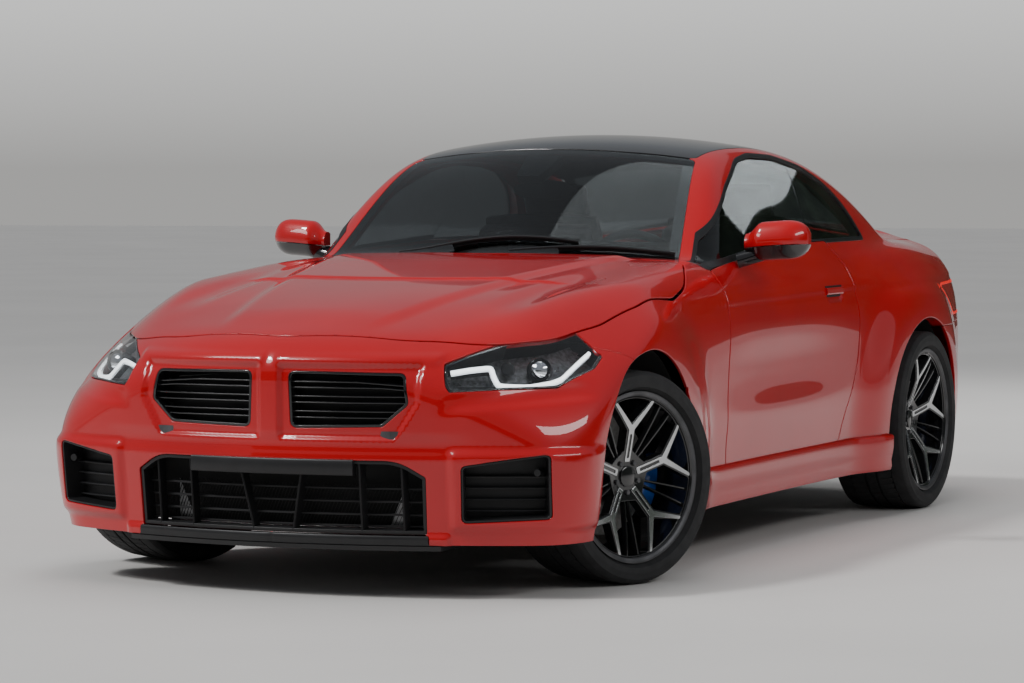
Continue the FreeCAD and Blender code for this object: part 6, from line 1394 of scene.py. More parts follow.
class COUPE_OT_nose(bpy.types.Operator):
    """Grilles and intakes"""

    bl_idname = "coupe.nose"
    bl_label = "Grilles"

    def execute(self, context):
        look = context.scene.coupe
        kidney = [(a * HALF, b * HEIGHT) for a, b in KIDNEY_SHARES]
        outer = softened(kidney, SHUT_GAP * 4, -0.6)
        inner = softened(kidney, SHUT_GAP * 4, -look.grille_frame)

        def nose_skin(loops, inset, depth, lip, spacing=12.0):
            middle = np.mean(loops[0][0], axis=0)
            size = np.abs(loops[0][0] - middle).max()
            shifted = [(loop - middle, keep) for loop, keep in loops]
            return plane_skin(shifted, lambda flat: nose_points(flat + middle, inset), spacing, depth, lip,
                              size)

        ring = nose_skin([(outer, True), (inner, False)], 1.0, 42.0, 2.0, 7.0)
        screen = nose_skin([(outer, True)], 60.0, 3.0, 0.5)
        slats = []
        for share in (0.393, 0.425, 0.457):
            for z in (share * HEIGHT - look.slat_pitch / 2, share * HEIGHT + look.slat_pitch / 2):
                low, high = spanned(softened(kidney, SHUT_GAP * 4, -4.0), z)
                xs = np.linspace(low, high, 24)
                path, _ = nose_points([(x, z) for x in xs], 30.0)
                slats.append(sweep(path, (0, 0, 1),
                                   [(-20, -2.5), (14, -3.5), (18, -1.5), (18, 1.5), (14, 3.5), (-20, 2.5)]))

        def each(side, mirror):
            build("kidney_frame_" + side, ring, FINISHES["roof"], "body",
                  ["upper_grille"] if side == "left" else (), mirror)
            build("kidney_back_" + side, screen, FINISHES["dark"], "body", (), mirror)
            loose("kidney_slats_" + side, slats, FINISHES["roof"], "body", bevel=1.0,
                  mirror=mirror)
        both_sides(each)

        lower = [(a * HALF, b * HEIGHT) for a, b in LOWER_INTAKE_SHARES]
        hole = softened(lower, SHUT_GAP * 2, -0.6)
        bare = softened(lower, SHUT_GAP * 2, -12)
        build("lower_frame", nose_skin([(hole, True), (bare, False)], 6.0, 40.0, 2.0, 9.0),
              FINISHES["trim"], "body", ["lower_grille"])
        bars = []
        for top, low in ((0.455, 0.455), (0.315, 0.315), (0.122, 0.072)):
            for side in (-1, 1):
                zs = np.linspace(LOWER_TOP, LOWER_LOW, 14)
                flat = [(side * (low + (top - low) * (z - LOWER_LOW) / (LOWER_TOP - LOWER_LOW)) * HALF, z)
                        for z in zs]
                path, _ = nose_points(flat, 26.0)
                bars.append(sweep(path, (0, -1, 0),
                                  [(-4.5, -20), (4.5, -20), (3.5, 16), (0, 20), (-3.5, 16)]))
        for z in (215.0, 250.0, 290.0, 330.0):
            low, high = spanned(bare, z)
            path, _ = nose_points([(x, z) for x in np.linspace(low - 10, high + 10, 40)], 48.0)
            bars.append(sweep(path, (0, 0, 1), box_section(18, 6)))
        loose("lower_fins", bars, FINISHES["dark"], "body", bevel=0.8)
        low_z, high_z = 0.262 * HEIGHT, 0.30 * HEIGHT
        xs = np.linspace(-0.297 * HALF, 0.297 * HALF, 40)
        path, _ = nose_points([(x, (low_z + high_z) / 2) for x in xs], 8.0)
        bar = sweep(path, (0, 0, 1), [(-16, -26), (14, -24), (17, -18), (17, 18), (14, 24), (-16, 26)])
        loose("plate_bar", [bar], FINISHES["trim"], "body", bevel=1.5)

        cell = 12.0
        across, up = 84, 12
        wire = sweep([(0, 0, 0), (0, 0, (up - 1) * cell)], (0, 1, 0), box_section(2.2, 2.2))
        rods, rod_faces = repeated("intake_mesh", wire, "across", across, cell, FINISHES["dark"])
        flat = [(p[0] - (across - 1) * cell / 2 + (p[2] * 0.5), p[2] + 208.0) for p in rods]
        keep = [abs(x) < 474 for x, _ in flat]
        deep = np.array([p[1] for p in rods])
        base, ways = nose_points(flat, 66.0)
        laid = base + ways * deep[:, None]
        net = [f for f in rod_faces if all(keep[i] for i in f)]
        loose("intake_mesh", [([tuple(p) for p in laid], net)], FINISHES["dark"], "body",
              doubles=False)
        back, _ = nose_points([(x, z) for x in np.linspace(-480, 480, 30)
                               for z in np.linspace(204, 420, 6)], 95.0)
        made = [(i * 6 + j, i * 6 + j + 1, (i + 1) * 6 + j + 1, (i + 1) * 6 + j) for i in range(29)
                for j in range(5)]
        deep_back = back + (0, 6, 0)
        shell = [tuple(p) for p in back] + [tuple(p) for p in deep_back]
        rim = [k * 6 for k in range(30)] + [29 * 6 + j for j in range(1, 6)]
        rim += [k * 6 + 5 for k in range(28, -1, -1)] + [4, 3, 2, 1]
        solid = made + [tuple(i + 180 for i in f[::-1]) for f in made]
        solid += [(a, b, b + 180, a + 180) for a, b in zip(rim, rim[1:] + rim[:1])]
        loose("intake_back", [(shell, solid)], FINISHES["liner"], "body")

        side_shape = [(a * HALF, b * HEIGHT) for a, b in SIDE_INTAKE_SHARES]
        mouth = softened(side_shape, SHUT_GAP * 3, -0.6)
        throat = softened(side_shape, SHUT_GAP * 3, -7)
        duct = nose_skin([(mouth, True), (throat, False)], 4.0, 70.0, 2.0, 6.0)
        plate = nose_skin([(mouth, True)], 70.0, 5.0, 1.0)
        ribs = []
        for z in (265.0, 300.0, 335.0, 370.0):
            low, high = spanned(throat, z)
            path, _ = nose_points([(x, z) for x in np.linspace(low, high, 16)], 60.0)
            ribs.append(sweep(path, (0, 0, 1), [(-8, -2), (8, -3), (10, 0), (8, 3), (-8, 2)]))
        eye, _ = nose_points([(816.0, 388.0)], 20.0)
        barrel, barrel_faces = lathe_y([(0, 0), (0, 11), (14, 11), (40, 11), (40, 0)], 24)
        ribs.append(([tuple(eye[0] + np.array(p)) for p in barrel], barrel_faces))

        def intake(side, mirror):
            build("intake_duct_" + side, duct, FINISHES["trim"], "body",
                  ["side_intakes"] if side == "left" else (), mirror)
            build("intake_plate_" + side, plate, FINISHES["dark"], "body", (), mirror)
            loose("intake_ribs_" + side, ribs, FINISHES["trim"], "body", bevel=0.6,
                  mirror=mirror)
        both_sides(intake)
        return {"FINISHED"}


LOWER_TOP = 428.0
LOWER_LOW = 196.0


def lathe_y(profile, count=32):
    """Turns (y, radius) points about the Y axis."""
    points, faces = lathe(profile, count)
    return [(p[1], p[0], p[2]) for p in points], faces


def tilted(group, place, way):
    """Turns a piece built along +X so that it points along way, and sets it at place."""
    spin = Vector((1, 0, 0)).rotation_difference(Vector(way)).to_matrix()
    points = [tuple(spin @ Vector(p) + Vector(place)) for p in group[0]]
    return points, group[1]


class COUPE_OT_lamps(bpy.types.Operator):
    """Headlamps and tail lamps"""

    bl_idname = "coupe.lamps"
    bl_label = "Lamps"

    def execute(self, context):
        span = arc(-85, -15)
        lens = sheet(NOSE, *span, 600, 830, [lamp_line(-1.0, keep=True), bonnet_line(HALF_GAP)],
                     half=True, inset=2, depth=3, lip=0.8, spacing=12)
        bowl = sheet(NOSE, *span, 600, 830, [lamp_line(-1.6, keep=True), bonnet_line(HALF_GAP)],
                     half=True, inset=62, depth=6, lip=0.8, spacing=12)
        wall = sheet(NOSE, *span, 600, 830,
                     [lamp_line(-1.6, keep=True), lamp_line(-7.0), bonnet_line(HALF_GAP)], half=True,
                     inset=6, depth=62, lip=1, spacing=9)
        line = [(556, 697), (600, 706), (652, 712), (672, 680), (690, 657), (760, 652), (806, 661),
                (826, 672), (836, 706), (846, 744)]
        smooth = []
        for (x0, z0), (x1, z1) in zip(line, line[1:]):
            smooth += [(x0 + (x1 - x0) * t, z0 + (z1 - z0) * t)
                       for t in np.linspace(0, 1, 8, endpoint=False)]
        smooth.append(line[-1])
        flat = np.array(smooth)
        for _ in range(3):
            flat[1:-1] = (flat[:-2] + flat[1:-1] * 2 + flat[2:]) / 4
        band_path, ways = nose_points(flat, 14.0, None)
        glow = sweep(band_path, ways, [(-6, -5), (6, -5), (5, 2), (0, 3.5), (-5, 2)])
        carrier_path, _ = nose_points(flat, 26.0, None)
        carrier = sweep(carrier_path, ways, [(-11, -14), (11, -14), (10, 4), (-10, 4)])
        eye, way = nose_points([(765.0, 712.0)], 34.0, None)
        aim = way[0] * 0.35 + np.array([0.1, -1.0, 0.0])
        ring = tilted(lathe([(-22, 0), (-22, 38), (8, 38), (12, 35), (8, 32), (0, 30), (0, 0)], 48),
                      eye[0], aim)
        ball = tilted(lathe([(1, 0), (1, 29), (8, 26), (14, 17), (17, 7), (17.5, 0)], 48), eye[0], aim)
        second, way_two = nose_points([(690.0, 722.0)], 40.0, None)
        aim_two = way_two[0] * 0.35 + np.array([0.1, -1.0, 0.0])
        ring_two = tilted(lathe([(-20, 0), (-20, 20), (6, 20), (9, 18), (6, 16), (0, 15), (0, 0)], 40),
                          second[0], aim_two)
        ribs = []
        for k in range(6):
            level = [(x, 657 - k * 3.2) for x in np.linspace(585 + k * 2, 680, 10)]
            path, _ = nose_points(level, 24.0, None)
            ribs.append(sweep(path, (0, 0, 1), box_section(16, 1.5)))

        def each(side, mirror):
            build("lamp_lens_" + side, lens, FINISHES["clear"], "body",
                  ["headlamps"] if side == "left" else (), mirror)
            build("lamp_bowl_" + side, bowl, FINISHES["bowl"], "body", (), mirror)
            build("lamp_wall_" + side, wall, FINISHES["roof"], "body", (), mirror)
            loose("lamp_line_" + side, [glow], FINISHES["glow"], "body", bevel=0.6,
                  mirror=mirror)
            loose("lamp_carrier_" + side, [carrier], FINISHES["silver"], "body", bevel=0.8,
                  mirror=mirror)
            loose("lamp_ring_" + side, [ring, ring_two], FINISHES["roof"], "body",
                  mirror=mirror)
            loose("lamp_eye_" + side, [ball], FINISHES["mirror"], "body", mirror=mirror)
            loose("lamp_ribs_" + side, ribs, FINISHES["trim"], "body", mirror=mirror)
        both_sides(each)

        red = sheet(TAIL, *arc(15, 85), 690, 900, [tail_lamp_line(-1.0, keep=True)], half=True,
                    depth=30, inset=1.0, lip=2.0, spacing=12)
        band = sheet(TAIL, *arc(15, 85), 690, 900,
                     [tail_lamp_line(-16.0, keep=True), tail_lamp_line(-26.0)], half=True,
                     depth=3, inset=-0.8, lip=0.8, spacing=8)

        def tail(side, mirror):
            build("tail_lens_" + side, red, FINISHES["red"], "body",
                  ["tail_lamps"] if side == "left" else (), mirror)
            build("tail_band_" + side, band, FINISHES["glow_red"], "body", (), mirror)
        both_sides(tail)
        return {"FINISHED"}


# Wheels. A tyre's radius and width, its rim's width and how far its face is dished.
WHEEL_SIZES = {"front": (337.0, 268.0, 246.0, 34.0), "rear": (339.0, 276.0, 258.0, 58.0)}
RIM_RADIUS = 271.0
RIM_SEAT_RADIUS = 262.0
HUB_RADIUS = 72.0
FACE_RADIUS = 252.0
SPOKE_COUNT = 5
SPOKE_DEPTH = 34.0
FORK_RADIUS = 150.0
FORK_ANGLE = math.radians(19.5)
TREAD_CROWN = 3.0
BOLT_RADIUS = 8.0
BOLT_CIRCLE_RADIUS = 50.0


def dish_at(radius, rim_width, dish):
    """How far out the wheel's face stands at a distance from its axis."""
    edge = rim_width / 2 - 8.0
    t = np.clip((radius - HUB_RADIUS * 0.7) / (250.0 - HUB_RADIUS * 0.7), 0, 1)
    return edge - dish * (1 - t) ** 1.35 - 2.0


def arm_windows():
    """The holes between the spokes for one fifth of the wheel, as (y, z) outlines."""
    rim_edge, hub, half_arm = 247.0, 60.0, 10.5

    def at(angle, radius):
        return radius * math.sin(angle), radius * math.cos(angle)

    step_in = half_arm / rim_edge
    inner = [at(t, rim_edge)
             for t in np.linspace(-FORK_ANGLE + step_in * 0.75, FORK_ANGLE - step_in * 0.75, 9)]
    between_arms = inner + [(0, FORK_RADIUS + half_arm * 1.9)]
    far_end = math.radians(36) * 2 - FORK_ANGLE - step_in
    wide = [at(t, rim_edge) for t in np.linspace(FORK_ANGLE + step_in, far_end, 13)]
    stem = half_arm * 1.75
    foot = [(stem, FORK_RADIUS - half_arm * 0.2), (stem, hub + 22)]
    far_foot = spun([(-y, z) for y, z in reversed(foot)], 2 * math.pi / SPOKE_COUNT)
    return between_arms, list(reversed(wide)) + foot + far_foot


def fork_outline():
    """One spoke's bright face, a stem that forks in two, and the slot in its stem."""
    edge, half_arm, stem, half_slot = 250.0, 6.0, 11.5, 5.0

    def at(angle):
        return edge * math.sin(angle), edge * math.cos(angle)

    left = [(stem, 46), (stem, FORK_RADIUS - 2), at(FORK_ANGLE + half_arm / edge),
            at(FORK_ANGLE - half_arm / edge * 0.9)]
    outline = left + [(0, FORK_RADIUS + half_arm * 2.1)] + [(-y, z) for y, z in reversed(left)]
    return outline, [(-half_slot, 58), (half_slot, 58), (half_slot, 134), (-half_slot, 134)]


def spin_x(angle):
    """The matrix of a turn about the wheel's axis."""
    c, s = math.cos(angle), math.sin(angle)
    return np.array([[1, 0, 0], [0, c, s], [0, -s, c]])


def spun(points, angle):
    """Points of the wheel's face turned about its axis."""
    return [(y * math.cos(angle) + z * math.sin(angle), -y * math.sin(angle) + z * math.cos(angle))
            for y, z in points]


def face_place(rim_width, dish, lift):
    """Lays flat outlines on the dished face of the wheel."""
    def place(flat):
        r = np.hypot(flat[:, 0], flat[:, 1])
        x = dish_at(r, rim_width, dish) + lift
        slope = (dish_at(r + 1, rim_width, dish) - dish_at(r - 1, rim_width, dish)) / 2
        radial = flat / np.maximum(r, 1e-6)[:, None]
        normals = unit(np.stack([0 * r + 1, -slope * radial[:, 0], -slope * radial[:, 1]], -1))
        return np.stack([x, flat[:, 0], flat[:, 1]], -1), normals
    return place


def tyre_carcass(radius, width, rim_width, groove):
    """The tyre with its beads, sidewalls and two deep grooves, without the tread's blocks."""
    half, bead = width / 2, rim_width / 2 - 8.5
    section = [(bead - 8, RIM_SEAT_RADIUS), (bead, RIM_SEAT_RADIUS), (bead + 0.5, 272), (bead + 5, 275),
               (half + 3, 284), (half + 6.5, 300), (half + 6, 304), (half + 3.5, 318), (half + 4, 320),
               (half - 3, radius - 9), (half - 8, radius - 5.5)]
    edges = [half - 15, half * 0.62, half * 0.62 - 9, half * 0.2, half * 0.2 - 9]
    for k, x in enumerate(edges):
        crown = radius - TREAD_CROWN * (x / half) ** 2 - 0.4
        section.append((x, crown))
        if k in (1, 3):
            section += [(x - 1, crown - groove), (edges[k + 1] + 1, crown - groove)]
    return lathe(section + [(-x, r) for x, r in reversed(section)], 144)


def tread_blocks(end, radius, width, groove, pitches):
    """Five blocks across the tread, repeated round the tyre."""
    half, half_pitch = width / 2, 0.41 * 2 * math.pi * (radius - 2) / pitches
    points = []
    for x_low, x_high, lean in ((half * 0.64, half - 9, 0.0), (half * 0.22, half * 0.60, 5.0),
                                (-half * 0.12, half * 0.12, 6.0), (-half * 0.60, -half * 0.22, 5.0),
                                (-half + 9, -half * 0.64, 0.0)):
        for x in (x_low, x_high):
            fall = TREAD_CROWN * (x / half) ** 2
            shift = lean * (1 if x == x_high else -1)
            for y in (-half_pitch, half_pitch):
                for z in (-groove * 0.6, 1.2):
                    shoulder = 1.8 if abs(x) > half * 0.8 and z > 0 else 0
                    points.append((x, y + shift, z - fall - shoulder))
    cube = [(0, 1, 3, 2), (4, 6, 7, 5), (0, 4, 5, 1), (2, 3, 7, 6), (0, 2, 6, 4), (1, 5, 7, 3)]
    faces = [tuple(i + 8 * k for i in f) for k in range(5) for f in cube]
    return repeated("tread_" + end, (points, faces), "ring", pitches, radius - 1.0, FINISHES["rubber"])


def rim_barrel(rim_width):
    edge = rim_width / 2
    return lathe([(edge, RIM_RADIUS), (edge - 3, RIM_RADIUS + 1), (edge - 8, RIM_RADIUS),
                  (edge - 10, RIM_SEAT_RADIUS), (edge - 24, 259), (-edge + 24, 259),
                  (-edge + 10, RIM_SEAT_RADIUS), (-edge + 8, RIM_RADIUS), (-edge, RIM_RADIUS), (-edge, 255),
                  (-edge + 20, 249), (edge - 30, 249), (edge - 10, 252), (edge - 3, 258), (edge, 264)], 128)


def rim_lip(rim_width):
    edge = rim_width / 2
    return lathe([(edge + 0.4, 270.6), (edge + 0.9, 268.5), (edge + 0.9, 266), (edge - 1.6, 259),
                  (edge - 5, 255.5), (edge - 6, 257.5), (edge - 1, 265), (edge - 0.2, 270)], 160)


def spoke_plate(rim_width, dish):
    """The dark forked spokes, one dished plate with windows through it."""
    edge = np.array([(FACE_RADIUS * math.cos(a), FACE_RADIUS * math.sin(a)) for a in circle(160)])
    loops = [(edge, True)]
    for k in range(SPOKE_COUNT):
        for window in arm_windows():
            loops.append((softened(spun(window, 2 * math.pi * k / SPOKE_COUNT), 9.0), False))
    return plane_skin(loops, face_place(rim_width, dish, -3.0), 9.0, SPOKE_DEPTH, 2.5, 256.0)


def spoke_faces(rim_width, dish):
    """The machined fork on each spoke."""
    outline, slot = fork_outline()
    one = plane_skin([(softened(outline, 5.0), True), (softened(slot, 4.0), False)],
                     face_place(rim_width, dish, -0.4), 7.0, 3.0, 0.8, 256.0)
    rows, ways = np.concatenate(one.points), np.concatenate(one.normals)
    faces = Mesh()
    for k in range(SPOKE_COUNT):
        turn = spin_x(2 * math.pi * k / SPOKE_COUNT)
        faces.add(rows @ turn.T, ways @ turn.T, one.faces)
    return faces


def back_spokes(rim_width, dish):
    """The thin dark spokes set back between the forks."""
    section = [(-5, -9), (5, -9), (4, 6), (2, 9), (-2, 9), (-4, 6)]
    made = []
    for k in range(SPOKE_COUNT):
        for lean in (-0.1, 0.1):
            a = 2 * math.pi * (k + 0.5) / SPOKE_COUNT + lean
            path = [(float(dish_at(r, rim_width, dish)) - 20, r * math.sin(a), r * math.cos(a))
                    for r in np.linspace(60, 250, 14)]
            made.append(sweep(path, (1, 0, 0), section))
    return made


def hub_cap(hub_x):
    return lathe([(hub_x - 30, 0), (hub_x - 30, 66), (hub_x - 9, 66), (hub_x - 7, 64), (hub_x - 7, 36),
                  (hub_x - 7, 34), (hub_x - 6, 33.5), (hub_x + 3, 33), (hub_x + 5, 30), (hub_x + 6, 0)], 72)


def wheel_bolts(end, hub_x):
    ring = [(BOLT_RADIUS * math.cos(a), BOLT_RADIUS * math.sin(a)) for a in circle(6)]
    nut = slab([(hub_x - 8, y, z) for y, z in ring], [(hub_x + 4, y, z) for y, z in ring])
    return repeated("bolts_" + end, nut, "ring", SPOKE_COUNT, BOLT_CIRCLE_RADIUS, FINISHES["steel"])


def caliper(angle):
    """The brake caliper, an arc of block over the disc's edge that swells in its middle."""
    rows = []
    for t in np.linspace(-0.46, 0.46, 14):
        swell = math.cos(t * 2.6) * 7
        a = angle + t
        rows.append([(x, r * math.sin(a), r * math.cos(a)) for x, r in
                     ((3 + swell * 0.6, 128 - swell), (12 + swell, 140), (12 + swell, 190),
                      (4 + swell * 0.6, 212), (-24, 214), (-24, 196), (-4, 194), (-4, 128 - swell))])
    return joined(rows)


class COUPE_OT_wheels(bpy.types.Operator):
    """Tyres, rims, bolts and calipers"""

    bl_idname = "coupe.wheels"
    bl_label = "Wheels"

    def execute(self, context):
        look = context.scene.coupe
        for end in ("front", "rear"):
            radius, width, rim_width, dish = WHEEL_SIZES[end]
            carcass = tyre_carcass(radius, width, rim_width, look.groove)
            blocks = tread_blocks(end, radius, width, look.groove, look.tread_pitches)
            barrel, lip = rim_barrel(rim_width), rim_lip(rim_width)
            plate, faces = spoke_plate(rim_width, dish), spoke_faces(rim_width, dish)
            hub_x = float(dish_at(0, rim_width, dish))
            dark_parts = [barrel, hub_cap(hub_x)] + back_spokes(rim_width, dish)
            bolts = wheel_bolts(end, hub_x)
            brake = caliper(look.caliper_angle)
            for side, sign in (("left", 1), ("right", -1)):
                move = wheel_place(end, sign)
                place = end + "_" + side
                body = "wheel_" + place
                knuckle = "knuckle_" + side if end == "front" else "body"
                loose("tyre_body_" + place, [moved(carcass, move), moved(blocks, move)], FINISHES["rubber"],
                      body, angle=40, replaces=["tyre_" + place], doubles=False)
                loose("barrel_" + place, [moved(p, move) for p in dark_parts], FINISHES["wheel"], body,
                      replaces=["rim_" + place])
                loose("rim_lip_" + place, [moved(lip, move)], FINISHES["steel"], body)
                for name, mesh, colour in (("spokes_", plate, "wheel"), ("spoke_face_", faces, "silver")):
                    points, normals = np.concatenate(mesh.points), np.concatenate(mesh.normals)
                    piece = Mesh()
                    piece.add(move(points), move(points + normals) - move(points),
                              [f[::-1] for f in mesh.faces] if sign < 0 else mesh.faces)
                    build(name + place, piece, FINISHES[colour], body)
                loose("bolts_" + place, [moved(bolts, move)], FINISHES["steel"], body)
                loose("caliper_" + place, [moved(brake, move)], FINISHES["caliper"], knuckle, bevel=3.0)
        return {"FINISHED"}


class COUPE_OT_trim(bpy.types.Operator):
    """Mirrors, handles, wipers, sensor block and exhaust tips"""

    bl_idname = "coupe.trim"
    bl_label = "Trim"

    def execute(self, context):
        def shell(low, high, grow):
            """The mirror's housing between two heights from its middle."""
            rows = []
            for t in np.linspace(0, 1, 28):
                size = 0.50 + 0.50 * step(t / 0.30)
                size *= math.sqrt(max(1 - max((t - 0.62) / 0.40, 0) ** 2.8, 0.02))
                x = 812 + (1031 - 812) * t
                middle_y = -300 + 26 * t * t
                middle_z = 1058 - 14 * (1 - t) ** 2
                ring = []
                for a in circle(40):
                    c, s = math.cos(a), math.sin(a)
                    y = abs(c) ** 0.75 * (1 if c > 0 else -1) * 59 * size
                    z = abs(s) ** 0.8 * (1 if s > 0 else -1) * 67 * size
                    if c < 0:
                        y *= 1.0 - 0.25 * abs(s)
                    else:
                        y = min(y, 44 * size)
                    ring.append((x, middle_y + y * grow, middle_z + max(low, min(high, z * grow))))
                rows.append(ring)
            return joined(rows)

        cap = shell(-16, 99, 1.0)
        lower = shell(-99, -17.5, 0.985)
        stalk = sweep([(786, -322, 984), (815, -316, 992), (850, -308, 1003), (900, -302, 1018)], (0, 1, 0),
                      round_section(25, 20, 0.55))
        pane = [(x, -254.5 + 26 * ((x - 866) / 165) ** 2, z) for x, z in
                ((882, 1010), (1000, 1012), (1016, 1030), (1018, 1080), (1000, 1104), (884, 1098))]
        glass = slab(pane, [(x, y - 3, z) for x, y, z in pane])

        handle_path = cast([(0, y, 856.0) for y in np.linspace(395, 560, 16)], (1, 0, 0))
        handle = sweep(handle_path + (2.5, 0, 0), (0, 0, 1),
                       [(-10, -12), (5, -13), (8, -9), (8, 9), (5, 13), (-10, 12)])
        pocket = sweep(handle_path, (0, 0, 1), [(-5, -21), (0.7, -21), (1.1, 0), (0.7, 19), (-5, 19)])

        def each(side, mirror):
            door = "door_" + side
            loose("handle_pocket_" + side, [pocket], FINISHES["dark"], door,
                  mirror=mirror)
            loose("mirror_cap_" + side, [cap], FINISHES["paint"], door, bevel=1.5,
                  mirror=mirror, replaces=["mirror_" + side])
            loose("mirror_base_" + side, [lower, stalk], FINISHES["roof"], door, bevel=1.0,
                  mirror=mirror)
            loose("mirror_pane_" + side, [glass], FINISHES["mirror"], door, mirror=mirror)
            loose("handle_" + side, [handle], FINISHES["paint"], door, bevel=2.0,
                  mirror=mirror)
        both_sides(each)

        arms = []
        for pivot, tip, bow in (((-300, -742), (330, -640), 60), ((120, -752), (650, -560), 40)):
            spots = [(pivot[0] + (tip[0] - pivot[0]) * t,
                      pivot[1] + (tip[1] - pivot[1]) * t + bow * 0.2 * math.sin(math.pi * t))
                     for t in np.linspace(0, 1, 18)]
            path = cast([(x, y, SECTION_Z) for x, y in spots], (0, 0, 1))
            lift = normals_at(path)
            arms.append(sweep(path + lift * 15, lift, [(-6, -2), (6, -2), (4, 3), (-4, 3)]))
            arms.append(sweep((path + lift * 6)[5:], lift[5:], [(-4, -6), (4, -6), (2, 5), (-2, 5)]))
        loose("wipers", arms, FINISHES["trim"], "body", bevel=0.6)

        corners = ((-70, -190), (70, -190), (48, -330), (-48, -330))
        top = cast([(x, y, SECTION_Z) for x, y in corners], (0, 0, 1))
        up = normals_at(top)
        block_points, block_faces = slab(top - up * 9, top - up * 46)
        loose("sensor_block", [([tuple(p) for p in block_points], block_faces)], FINISHES["trim"], "body",
              bevel=5.0)
        disc, disc_faces = lathe_y([(0, 0), (0, 118), (3, 122), (12, 120), (18, 0)], 48)
        disc = [(x, y - 190, z * 0.3 + 1225) for x, y, z in disc]
        loose("inside_mirror", [(disc, disc_faces)], FINISHES["trim"], "body")

        tips = []
        for x in (-330, -210, 210, 330):
            points, faces = lathe_y([(2115, 51.5), (2262, 53), (2266, 51), (2264, 47), (2240, 45),
                                     (2115, 45)], 56)
            tips.append(([(p[0] + x, p[1], p[2] + 255) for p in points], faces))
        loose("exhaust_tips", tips, FINISHES["chrome"], "body")
        plate_path = cast([(x, AXLE_REAR_Y, 560.0) for x in np.linspace(-262, 262, 20)], (0, 1, 0))
        field = sweep(plate_path + (0, 1.5, 0), (0, 0, 1), box_section(5, 116))
        loose("plate_field", [field], FINISHES["trim"], "body", bevel=2.0)
        return {"FINISHED"}


def pad(width, length, thick, bolster, crown, channels=()):
    """A closed crowned pad in its own plane: x across, y along, z up, with channels across it."""
    us = np.linspace(-1, 1, 33)
    vs = np.linspace(-1, 1, 41)
    top, low = [], []
    for v in vs:
        for u in us:
            pull = 1 - 0.05 * (1 - min(1, abs(abs(v) - 1) * 3 + 0.0)) * abs(u) ** 2
            x = width / 2 * u * pull
            y = length / 2 * v * (1 - 0.04 * abs(u) ** 3)
            round_off = (1 - abs(u) ** 6) ** 0.5 * (1 - abs(v) ** 8) ** 0.5
            rise = (crown * (1 - u * u) * (1 - v * v)
                    + bolster * step((abs(u) - 0.55) / 0.3) * (1 - abs(v) ** 6))
            for place in channels:
                rise -= 9 * math.exp(-((v - place) / 0.035) ** 2) * (1 - step((abs(u) - 0.5) / 0.15))
            rise -= 7 * math.exp(-((abs(u) - 0.56) / 0.03) ** 2)
            top.append((x, y, thick / 2 + round_off * (thick * 0.35) + rise * round_off - thick * 0.35))
            low.append((x, y, -thick / 2 - 0 * round_off))
    count = len(us)
    rows = len(vs)
    faces = [(i * count + k, i * count + k + 1, (i + 1) * count + k + 1, (i + 1) * count + k)
             for i in range(rows - 1) for k in range(count - 1)]
    base = len(top)
    back = [tuple(i + base for i in f[::-1]) for f in faces]
    rim = [k for k in range(count)] + [i * count + count - 1 for i in range(1, rows)]
    rim += [(rows - 1) * count + k for k in range(count - 2, -1, -1)] + [i * count
                                                                         for i in range(rows - 2, 0, -1)]
    wall = [(b, a, a + base, b + base) for a, b in zip(rim, rim[1:] + rim[:1])]
    return top + low, faces + back + wall


def set_at(group, tilt, place):
    """Tilts a pad about X and moves it to its place."""
    c, s = math.cos(tilt), math.sin(tilt)
    return [(p[0] + place[0], p[1] * c - p[2] * s + place[1], p[1] * s + p[2] * c + place[2])
            for p in group[0]], group[1]


def soften(piece, cap):
    """Swells a cushion under pressure, then holds each point within the cap."""
    before = piece.data.copy()
    remesh = piece.modifiers.new("remesh", "REMESH")
    remesh.mode = "VOXEL"
    remesh.voxel_size = 0.012
    cloth = piece.modifiers.new("cloth", "CLOTH")
    cloth.settings.use_pressure = True
    cloth.settings.uniform_pressure_force = 3.0
    cloth.settings.effector_weights.gravity = 0
    cloth.settings.tension_stiffness = 40
    cloth.settings.compression_stiffness = 40
    scene = bpy.context.scene
    for number in range(1, 9):
        scene.frame_set(number)
    graph = bpy.context.evaluated_depsgraph_get()
    swollen = bpy.data.meshes.new_from_object(piece.evaluated_get(graph))
    piece.modifiers.clear()
    scene.frame_set(1)
    tree = KDTree(len(swollen.vertices))
    for vertex in swollen.vertices:
        tree.insert(vertex.co, vertex.index)
    tree.balance()
    for vertex, old in zip(piece.data.vertices, before.vertices):
        near = [swollen.vertices[i].co for _, i, _ in tree.find_n(old.co, 4)]
        goal = sum(near, Vector()) / len(near)
        way = goal - old.co
        if way.length > cap:
            way = way * (cap / way.length)
        vertex.co = old.co + way * 0.7
    bpy.data.meshes.remove(before)
    bpy.data.meshes.remove(swollen)
    smooth = piece.modifiers.new("smooth", "SUBSURF")
    smooth.levels = smooth.render_levels = 1


